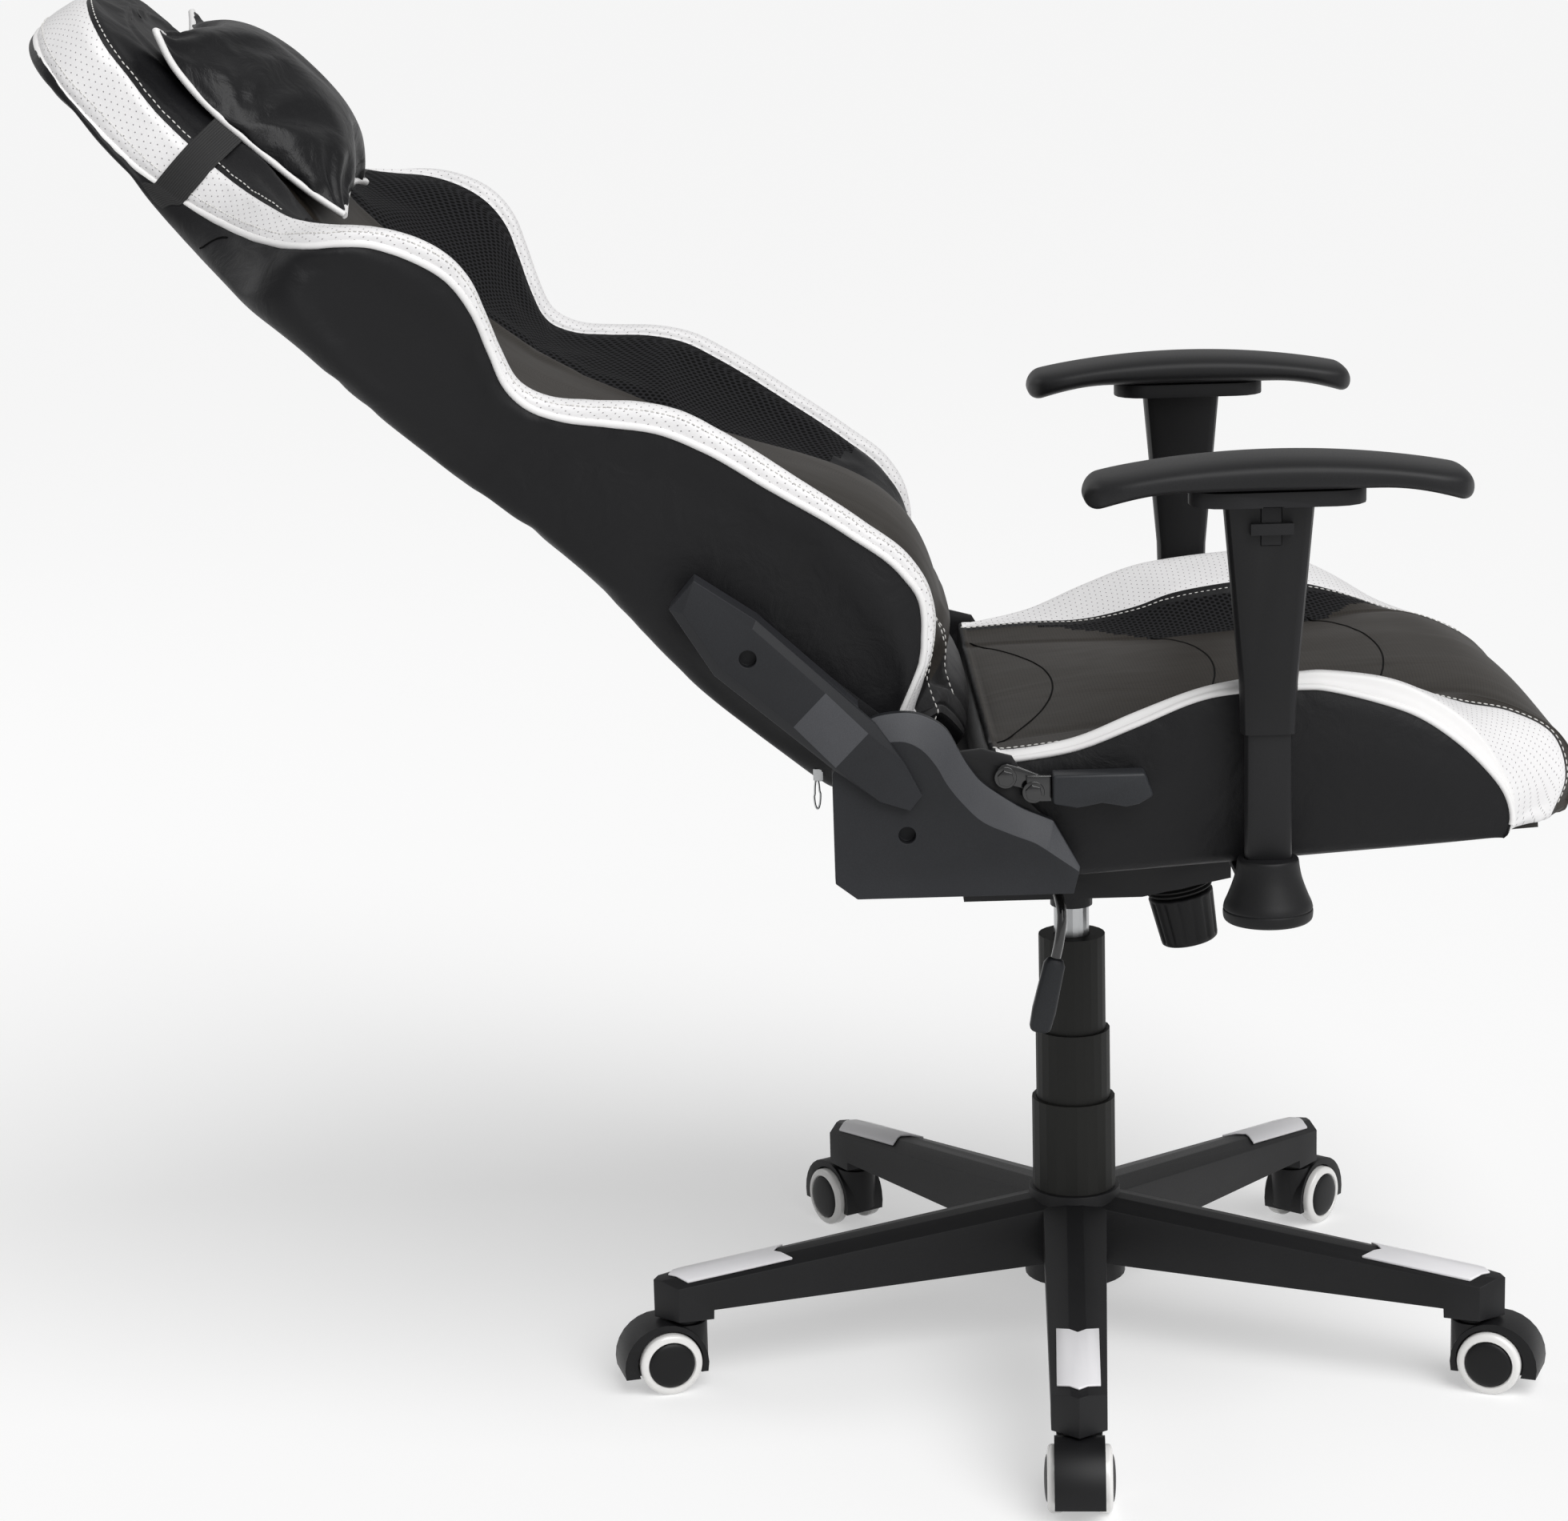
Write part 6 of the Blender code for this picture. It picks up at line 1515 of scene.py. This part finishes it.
for number in range(1, 6):
    eased(f"caster_housing_{number}", casterPlastic, width=0.0012, segments=3)
    eased(f"leg_cap_{number}", capPlastic, width=0.0007, segments=2, angle=25)
eased("five_star_base", basePlastic, width=0.0014, segments=3, angle=14)
for name in sides:
    eased(f"arm_sleeve_{name}", blackPlastic, width=0.0009, segments=3)
    eased(f"arm_trigger_{name}", blackPlastic, width=0.0022, segments=4)
    eased(f"arm_post_{name}", blackPlastic, width=0.0008)
    eased(f"hinge_plate_{name}", powderSteel, width=0.0005)
    eased(f"arm_bar_{name}", powderSteel, width=0.0006)
eased("recline_lever_grip", gripPlastic, width=0.0022, segments=3, angle=28)
eased("gas_lever_paddle", gripPlastic, width=0.0016, segments=3)
eased("tilt_housing", powderSteel, width=0.0010)
eased("tilt_plate", powderSteel, width=0.0006)


padShape = {
    "plate": 0.068,  # the flat underside reaches this far from the middle
    "tip": 0.034,  # length over which the ends narrow
    "roll": 0.012,  # length over which they round off
    "crown": 0.014,
    "topCrown": 0.0018,
    "sections": 72,
    "around": 40,
}


def buildArmPads():
    shape = padShape
    for name in sides:
        low, high = [Vector(c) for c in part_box(f"arm_pad_{name}")]
        middle = (low + high) / 2
        half = Vector(((high.x - low.x) / 2, (high.y - low.y) / 2, 0))
        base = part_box(f"arm_sleeve_{name}")[1][2] + 0.0003
        plate, tip, roll = (shape[key] for key in ("plate", "tip", "roll"))
        thick = high.z - base
        points = []
        for i in range(shape["sections"] + 1):
            u = math.sin((i / shape["sections"] * 2 - 1) * math.pi / 2)
            reach = abs(u) * half.y
            drop = shape["crown"] * u * u
            under = shape["crown"] * (max(0.0, reach - plate) / (half.y - plate)) ** 2
            topZ, lowZ = base + thick - drop, base - under
            # Round in plan at both ends, and rounded off over the last few millimetres.
            inside = max(0.0, reach - (half.y - tip)) / tip
            rolled = max(0.0, reach - (half.y - roll)) / roll
            shrink = math.sqrt(max(0.0, 1 - rolled**2))
            wide = half.x * (1 - 0.30 * inside**2.2) * (0.35 + 0.65 * shrink)
            tall = (topZ - lowZ) / 2 * max(shrink, 0.02)
            center = (topZ + lowZ) / 2
            for k in range(shape["around"]):
                turn = 2 * math.pi * k / shape["around"]
                c, s = math.cos(turn), math.sin(turn)
                px = math.copysign(abs(c) ** 0.50, c) * wide
                pz = math.copysign(abs(s) ** 0.62, s) * tall
                if s > 0:
                    pz -= shape["topCrown"] * (px / half.x) ** 2 * shrink
                points.append((middle.x + px, middle.y + u * half.y, center + pz))
        n = shape["around"]
        faces = [face for i in range(shape["sections"]) for face in between(i * n, (i + 1) * n, n)]
        faces += endFaces(len(points), n)
        mesh = cleaned(meshFrom(f"arm_pad_{name}_skin", points, faces), 0.00001)
        piece = newPiece(f"arm_pad_{name}_skin", mesh, padSkin)
        shadeSmooth(piece.data)
        stands(piece, f"arm_pad_{name}")


buildArmPads()
print("mouldings dressed")


cupShape = {
    # the armrest cup from its foot up: radius, height
    "profile": [
        (0.0215, 0.0004), (0.0285, 0.0004), (0.0306, 0.0012), (0.0319, 0.0030), (0.0323, 0.0062), (0.0322, 0.0088),
        (0.0316, 0.0094), (0.0316, 0.0100), (0.0321, 0.0106), (0.0312, 0.0140), (0.0290, 0.0190), (0.0262, 0.0262),
        (0.0240, 0.0330), (0.0226, 0.0400), (0.0220, 0.0448), (0.0212, 0.0464), (0.0198, 0.0469),
    ],
    "steps": 56,
}


def buildCups():
    shape = cupShape
    for name in sides:
        low, high = [Vector(c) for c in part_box(f"arm_cup_{name}")]
        middle = (low + high) / 2
        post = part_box(f"arm_post_{name}")
        hole = (Vector(post[1]) - Vector(post[0])) / 2
        table = [(i, *p) for i, p in enumerate(shape["profile"])]
        heights = smoothTable(table, np.linspace(0, len(table) - 1, 60))
        points, faces = lathe([(r, z) for r, z in heights], (0, 0, 1), (middle.x, middle.y, low.z), shape["steps"])
        # The open top goes over the post, and a wall runs down inside it.
        steps = shape["steps"]
        last = (len(heights) - 1) * steps
        ring = [Vector(p) for p in points[last : last + steps]]
        for depth in (0.0, 0.030):
            start = len(points)
            for spot in ring:
                away = Vector((spot.x - middle.x, spot.y - middle.y))
                reach = (abs(away.x / (hole.x + 0.0006)) ** 4 + abs(away.y / (hole.y + 0.0006)) ** 4) ** 0.25
                points.append(Vector((middle.x + away.x / reach, middle.y + away.y / reach, spot.z - depth)))
            before = last if depth == 0 else start - steps
            faces += between(before, start, steps)
        faces += endFaces(len(points), steps)[::-1]
        mesh = cleaned(meshFrom(f"arm_cup_{name}_bell", points, faces), 0.00001)
        piece = newPiece(f"arm_cup_{name}_bell", mesh, blackPlastic)
        shadeSmooth(piece.data, 40)
        stands(piece, f"arm_cup_{name}")


buildCups()

knobShape = {
    "lean": 11.0,
    "axis": (0.0, -0.083, 0.390),
    "boot": {"length": 0.0178, "folds": 5, "outer": 0.0260, "inner": 0.0236},
    "knob": {
        "top": -0.0184, "bottom": -0.0598, "radius": 0.0261, "taper": 0.0036, "flutes": 14, "depth": 0.0012,
        # share of the length, and how far its rounded rims step in there
        "levels": [
            (0.0, -0.003), (0.01, -0.0012), (0.035, -0.0002), (0.06, 0.0), (0.09, 0.0), (0.5, 0.0), (0.86, 0.0),
            (0.9, 0.0), (0.955, -0.0004), (0.98, -0.0016), (0.995, -0.0036), (1.0, -0.0056),
        ],
    },
}


def buildKnob():
    lean = math.radians(knobShape["lean"])
    place = Matrix.Translation(knobShape["axis"]) @ Matrix.Rotation(-lean, 4, "X")
    boot = knobShape["boot"]
    profile = [(boot["inner"] - 0.004, -0.0008), (boot["inner"], -0.0008)]
    steps = 10 * boot["folds"]
    for i in range(1, steps):
        wave = 0.5 - 0.5 * math.cos(2 * math.pi * i * boot["folds"] / steps)
        radius = boot["inner"] + (boot["outer"] - boot["inner"]) * wave**0.6
        profile.append((radius, -0.0008 - (boot["length"] - 0.0012) * i / steps))
    profile += [(boot["inner"], -boot["length"]), (boot["inner"] - 0.004, -boot["length"])]
    points, faces = lathe(profile, (0, 0, 1), (0, 0, 0), 56)
    faces += endFaces(len(points), 56)
    mesh = cleaned(meshFrom("spring_boot_bellows", placed([tuple(p) for p in points], place), faces), 0.00001)
    piece = newPiece("spring_boot_bellows", mesh, blackRubber)
    shadeSmooth(piece.data, 60)
    stands(piece, "spring_boot")

    knob = knobShape["knob"]
    around = knob["flutes"] * 14
    points, faces = [], []
    length = knob["top"] - knob["bottom"]
    for share, inset in knob["levels"]:
        groove = knob["depth"] * float(ramp(0.05, 0.09, share) * (1 - ramp(0.86, 0.93, share)))
        for i in range(around):
            turn = 2 * math.pi * i / around
            phase = (turn * knob["flutes"] / (2 * math.pi)) % 1.0
            dip = groove * math.exp(-(((phase - 0.5) / 0.16) ** 2))
            radius = knob["radius"] - knob["taper"] * share + inset - dip
            points.append((radius * math.cos(turn), radius * math.sin(turn), knob["top"] - length * share))
    for k in range(len(knob["levels"]) - 1):
        faces += between(k * around, (k + 1) * around, around)
    # A shallow dish in the end.
    for radius, rise in ((0.0150, 0.0), (0.0142, 0.0008), (0.0060, 0.0010)):
        start = len(points)
        for turn in (2 * math.pi * i / around for i in range(around)):
            points.append((radius * math.cos(turn), radius * math.sin(turn), knob["bottom"] + rise))
        faces += between(start - around, start, around)
    faces += endFaces(len(points), around)
    mesh = cleaned(meshFrom("tension_knob_fluted", placed(points, place), faces), 0.00001)
    piece = newPiece("tension_knob_fluted", mesh, blackPlastic)
    shadeSmooth(piece.data, 45)
    stands(piece, "tension_knob")


buildKnob()


def tubeAlong(name, finish, points, radius, sides=16, rounds=3):
    # A round bar through the points, with its bends rounded and its ends closed.
    path = [Vector(p) for p in points]
    for _ in range(rounds):
        cut = [path[0]]
        for a, b in zip(path[:-1], path[1:]):
            cut += [a.lerp(b, 0.25), a.lerp(b, 0.75)]
        path = cut + [path[-1]]
    rings, faces = [], []
    across = (path[1] - path[0]).orthogonal().normalized()
    for i, spot in enumerate(path):
        ahead = (path[min(i + 1, len(path) - 1)] - path[max(i - 1, 0)]).normalized()
        across = (across - ahead * across.dot(ahead)).normalized()
        other = ahead.cross(across)
        for k in range(sides):
            turn = 2 * math.pi * k / sides
            rings.append(spot + (across * math.cos(turn) + other * math.sin(turn)) * radius)
    for i in range(len(path) - 1):
        faces += between(i * sides, (i + 1) * sides, sides)
    faces += endFaces(len(rings), sides)
    mesh = cleaned(meshFrom(name, rings, faces), 0.00001)
    piece = newPiece(name, mesh, finish)
    shadeSmooth(piece.data, 50)
    return piece


leverShape = {
    # the gas lever's wire, from the housing to the paddle
    "wire": [
        (-0.0578, 0.0215, 0.4090), (-0.1090, 0.0215, 0.4080), (-0.1210, 0.0190, 0.4050),
        (-0.1285, 0.0165, 0.3900), (-0.1310, 0.0195, 0.3700), (-0.1310, 0.0223, 0.3580),
    ],
    "radius": 0.0038,
    "bolts": [(0.0670, 0.5335), (0.0475, 0.5235)],  # the recline bracket's bolts: y, z
    "boltHead": 0.0062,
    "block": ((0.0345, 0.0520), (0.5165, 0.5350)),
}

wire = tubeAlong("gas_lever_wire", glossSteel, leverShape["wire"], leverShape["radius"])
stands(wire, "gas_lever_rod")


def boxed(work, low, high):
    made = bmesh.ops.create_cube(work, size=1.0)["verts"]
    low, high = Vector(low), Vector(high)
    for vert in made:
        vert.co = Vector([(a + b) / 2 + (b - a) * c for a, b, c in zip(low, high, vert.co)])
    return made


def buildReclineBracket():
    source = frame["nodes"]["recline_lever_arm"]
    work = bmesh.new()
    work.from_mesh(source.data)
    bmesh.ops.transform(work, matrix=source.matrix_world, verts=work.verts)
    bmesh.ops.remove_doubles(work, verts=work.verts, dist=0.00001)
    bmesh.ops.dissolve_limit(work, angle_limit=math.radians(0.5), verts=work.verts, edges=work.edges)
    outer = min(v.co.x for v in work.verts)
    head = leverShape["boltHead"]
    across = Matrix.Rotation(math.pi / 2, 4, "Y")
    (y0, y1), (z0, z1) = leverShape["block"]
    boxed(work, (outer - 0.0052, y0, z0), (outer + 0.0012, y1, z1))
    for y, z in leverShape["bolts"]:
        # One bolt stands on the plate, the other on the welded block: a six-sided head and its washer.
        headOut, washerOut = (0.0022, 0.0004) if y > y1 else (0.0066, 0.0054)
        hexagon = Matrix.Translation((outer - headOut, y, z)) @ across @ Matrix.Rotation(0.3, 4, "Z")
        washer = Matrix.Translation((outer - washerOut, y, z)) @ across
        for sides, radius, depth, at in ((6, head, 0.0046, hexagon), (28, head + 0.0018, 0.0012, washer)):
            size = {"radius1": radius, "radius2": radius, "depth": depth}
            bmesh.ops.create_cone(work, cap_ends=True, segments=sides, matrix=at, **size)
    mesh = bpy.data.meshes.new("recline_lever_bracket")
    work.to_mesh(mesh)
    work.free()
    piece = newPiece("recline_lever_bracket", mesh, glossSteel)
    applied(piece, rounding(0.0009, 3, 30))
    shadeSmooth(piece.data, 40)
    stands(piece, "recline_lever_arm")


buildReclineBracket()

zipShape = {
    "near": (-0.2350, 0.2005, 0.5315),
    "slider": (0.0026, 0.0070, 0.0100),
    "loop": 0.0225,
    "width": 0.0046,
    "wire": 0.00075,
    "steps": 32,
    "sides": 8,
}


def buildZip():
    # The cover's zip ends at the rear lower corner: a slider with its pull hanging from it.
    tree = surfaceOf(backrest)
    spot, normal = tree.find_nearest(Vector(zipShape["near"]))[:2]
    work = bmesh.new()
    center = spot + normal * 0.0016
    half = Vector(zipShape["slider"]) / 2
    boxed(work, center - half, center + half)
    bmesh.ops.bevel(work, geom=list(work.edges), offset=0.0008, segments=2, affect="EDGES")
    top = center + Vector((0, normal.y * 0.003, -0.003))
    steps, sides, loop = (zipShape[key] for key in ("steps", "sides", "loop"))
    path = []
    for i in range(steps):
        turn = 2 * math.pi * i / steps
        width = zipShape["width"] / 2 * (0.75 if math.cos(turn) > 0 else 1.0)
        path.append(top + Vector((0, math.sin(turn) * width, -loop / 2 + math.cos(turn) * loop / 2)))
    rings = []
    right = Vector((1, 0, 0))
    for i, at in enumerate(path):
        ahead = (path[(i + 1) % steps] - path[i - 1]).normalized()
        other = ahead.cross(right)
        angles = np.linspace(0, 2 * math.pi, sides + 1)[:-1]
        out = [(right * math.cos(a) + other * math.sin(a)) * zipShape["wire"] for a in angles]
        rings.append([work.verts.new(at + away) for away in out])
    for i in range(steps):
        a, b = rings[i], rings[(i + 1) % steps]
        for k in range(sides):
            work.faces.new((a[k], a[(k + 1) % sides], b[(k + 1) % sides], b[k]))
    bmesh.ops.recalc_face_normals(work, faces=work.faces)
    mesh = bpy.data.meshes.new("cover_zip_pull")
    work.to_mesh(mesh)
    work.free()
    piece = newPiece("cover_zip_pull", mesh, zincSteel)
    shadeSmooth(piece.data, 40)
    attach(piece, "backrest")


buildZip()
print("small fittings made")


# Finishes of the carried-over mouldings and steel

nodeFinishes = [
    (powderSteel, (
        "gas_cylinder", "tilt_housing", "tilt_plate", "hinge_plate", "hinge_pin", "arm_bar", "back_frame",
    )),
    (blackPlastic, ("tension_knob", "arm_post", "arm_cup", "arm_sleeve", "arm_trigger")),
    (gripPlastic, ("gas_lever_paddle", "recline_lever_grip")),
    (glossSteel, ("gas_lever_rod", "recline_lever_arm")),
    (coverPlastic, ("lower_hinge_cover", "upper_hinge_cover")),
    (basePlastic, ("five_star_base",)),
    (capPlastic, ("leg_cap",)),
    (casterPlastic, ("caster_housing",)),
    (treadPlastic, ("caster_wheel",)),
    (zincSteel, ("gas_spindle",)),
    (coverSleeve, ("column_cover",)),
    (blackRubber, ("spring_boot",)),
    (boardWood, ("seat_board",)),
    (padSkin, ("arm_pad",)),
]

for name, node in frame["nodes"].items():
    finish = next((finish for finish, starts in nodeFinishes if name.startswith(starts)), blackLeather)
    for slot in range(len(node.data.materials)):
        node.data.materials[slot] = finish
    if not len(node.data.materials):
        node.data.materials.append(finish)

# Which body each piece moves with

for piece, body in (
    (backrest, "backrest"),
    (backPiping, "backrest"),
    (backStitches, "backrest"),
    (bandStitches, "backrest"),
    (neckSeamShade, "backrest"),
    (headPillow, "backrest"),
    (pillowPiping, "backrest"),
    (pillowStrap, "backrest"),
    (seatCushion, "seat"),
    (seatPiping, "seat"),
    (seatStitches, "seat"),
    (seatSeamShade, "seat"),
):
    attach(piece, body)

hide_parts("back_cushion")
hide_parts("head_pillow")
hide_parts("pillow_strap")
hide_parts("seat_cushion")

# Floor, light and camera

studio = {
    "reach": 150,  # the floor runs this many metres each way
    "floor": "#f4f4f4",
    "paper": 0.62,  # how pale the floor is where it is looked at, and how much it glows there
    "glow": 0.44,
    # the surroundings: the light they give, how bright they look, how bright they mirror
    "world": 0.22,
    "sky": 0.95,
    "mirrored": 0.5,
    "sun": (2.2, (-0.58, -0.34, 1.0), 48),  # strength, where it stands, how wide it looks in degrees
    # power in watts, place, size in metres
    "key": (18.0, (-3.6, -1.2, 2.2), 2.6),
    "front": (4.0, (-1.2, -4.0, 1.8), 2.0),
    "rim": (12.0, (1.8, 3.2, 2.6), 2.0),
}


def seenRays(tree, *kinds):
    # 1 where one of these rays looks straight at the surroundings.
    rays = addNode(tree, "ShaderNodeLightPath")
    seen = 0.0
    for kind in kinds:
        pair = {0: seen, 1: rays.outputs[f"Is {kind} Ray"]}
        seen = addNode(tree, "ShaderNodeMath", pair, operation="MAXIMUM").outputs[0]
    return seen


def buildStudio():
    reach = studio["reach"]
    corners = [(-reach, -reach, -0.0002), (reach, -reach, -0.0002), (reach, reach, -0.0002), (-reach, reach, -0.0002)]
    floor = meshFrom("floor", corners, [(0, 1, 2, 3)])
    finish = bpy.data.materials.new("studio_floor")
    finish.use_nodes = True
    tree = finish.node_tree
    tree.nodes.clear()
    plain = addNode(tree, "ShaderNodeBsdfDiffuse", {"Color": linearColor(studio["floor"])})
    paper = addNode(tree, "ShaderNodeBsdfDiffuse", {"Color": (*[studio["paper"]] * 3, 1)})
    glow = addNode(tree, "ShaderNodeEmission", {"Color": (1, 1, 1, 1), "Strength": studio["glow"]})
    pale = addNode(tree, "ShaderNodeAddShader", {0: paper.outputs[0], 1: glow.outputs[0]})
    seen = seenRays(tree, "Camera", "Glossy", "Transmission")
    mixed = addNode(tree, "ShaderNodeMixShader", {0: seen, 1: plain.outputs[0], 2: pale.outputs[0]})
    addNode(tree, "ShaderNodeOutputMaterial", {"Surface": mixed.outputs[0]})
    newPiece("floor", floor, finish)
    world = bpy.context.scene.world or bpy.data.worlds.new("studio")
    bpy.context.scene.world = world
    world.use_nodes = True
    tree = world.node_tree
    tree.nodes.clear()
    glow = studio["world"]
    for level, kinds in ((studio["sky"], ("Camera", "Transmission")), (studio["mirrored"], ("Glossy",))):
        more = {0: seenRays(tree, *kinds), 1: level - studio["world"], 2: glow}
        glow = addNode(tree, "ShaderNodeMath", more, operation="MULTIPLY_ADD").outputs[0]
    sky = addNode(tree, "ShaderNodeBackground", {"Color": (1, 1, 1, 1), "Strength": glow})
    addNode(tree, "ShaderNodeOutputWorld", {"Surface": sky.outputs[0]})
    target = Vector((0, 0.1, 0.55))
    strength, place, width = studio["sun"]
    sun = bpy.data.lights.new("sun", "SUN")
    sun.energy = strength
    sun.angle = math.radians(width)
    lamps = [(sun, Vector(place) * 4)]
    for name in ("key", "front", "rim"):
        power, place, size = studio[name]
        lamp = bpy.data.lights.new(name, "AREA")
        lamp.energy = power
        lamp.size = size
        lamps.append((lamp, Vector(place)))
    for lamp, place in lamps:
        lit = bpy.data.objects.new(lamp.name, lamp)
        bpy.context.scene.collection.objects.link(lit)
        lit.location = place
        lit.rotation_euler = (target - place).to_track_quat("-Z", "Y").to_euler()


buildStudio()

# place in metres, turns in radians; focal length and picture width share one unit
view = {"place": (-2.92, 0.225, 1.168), "pitch": -0.2290, "roll": -0.0283, "focal": 4760.0, "width": 1960.0}


def buildCamera():
    camera = bpy.data.cameras.new("camera")
    camera.sensor_width = 36.0
    camera.lens = 36.0 * view["focal"] / view["width"]
    camera.clip_end = 200.0
    eye = bpy.data.objects.new("camera", camera)
    bpy.context.scene.collection.objects.link(eye)
    forward = Vector((math.cos(view["pitch"]), 0, math.sin(view["pitch"])))
    right = Vector((0, -1, 0))
    up = right.cross(forward)
    cosine, sine = math.cos(view["roll"]), math.sin(view["roll"])
    turned = Matrix((cosine * right + sine * up, -sine * right + cosine * up, -forward)).transposed()
    eye.matrix_world = Matrix.Translation(view["place"]) @ turned.to_4x4()
    bpy.context.scene.camera = eye


buildCamera()
bpy.context.scene.view_settings.view_transform = "Standard"
print("studio ready")
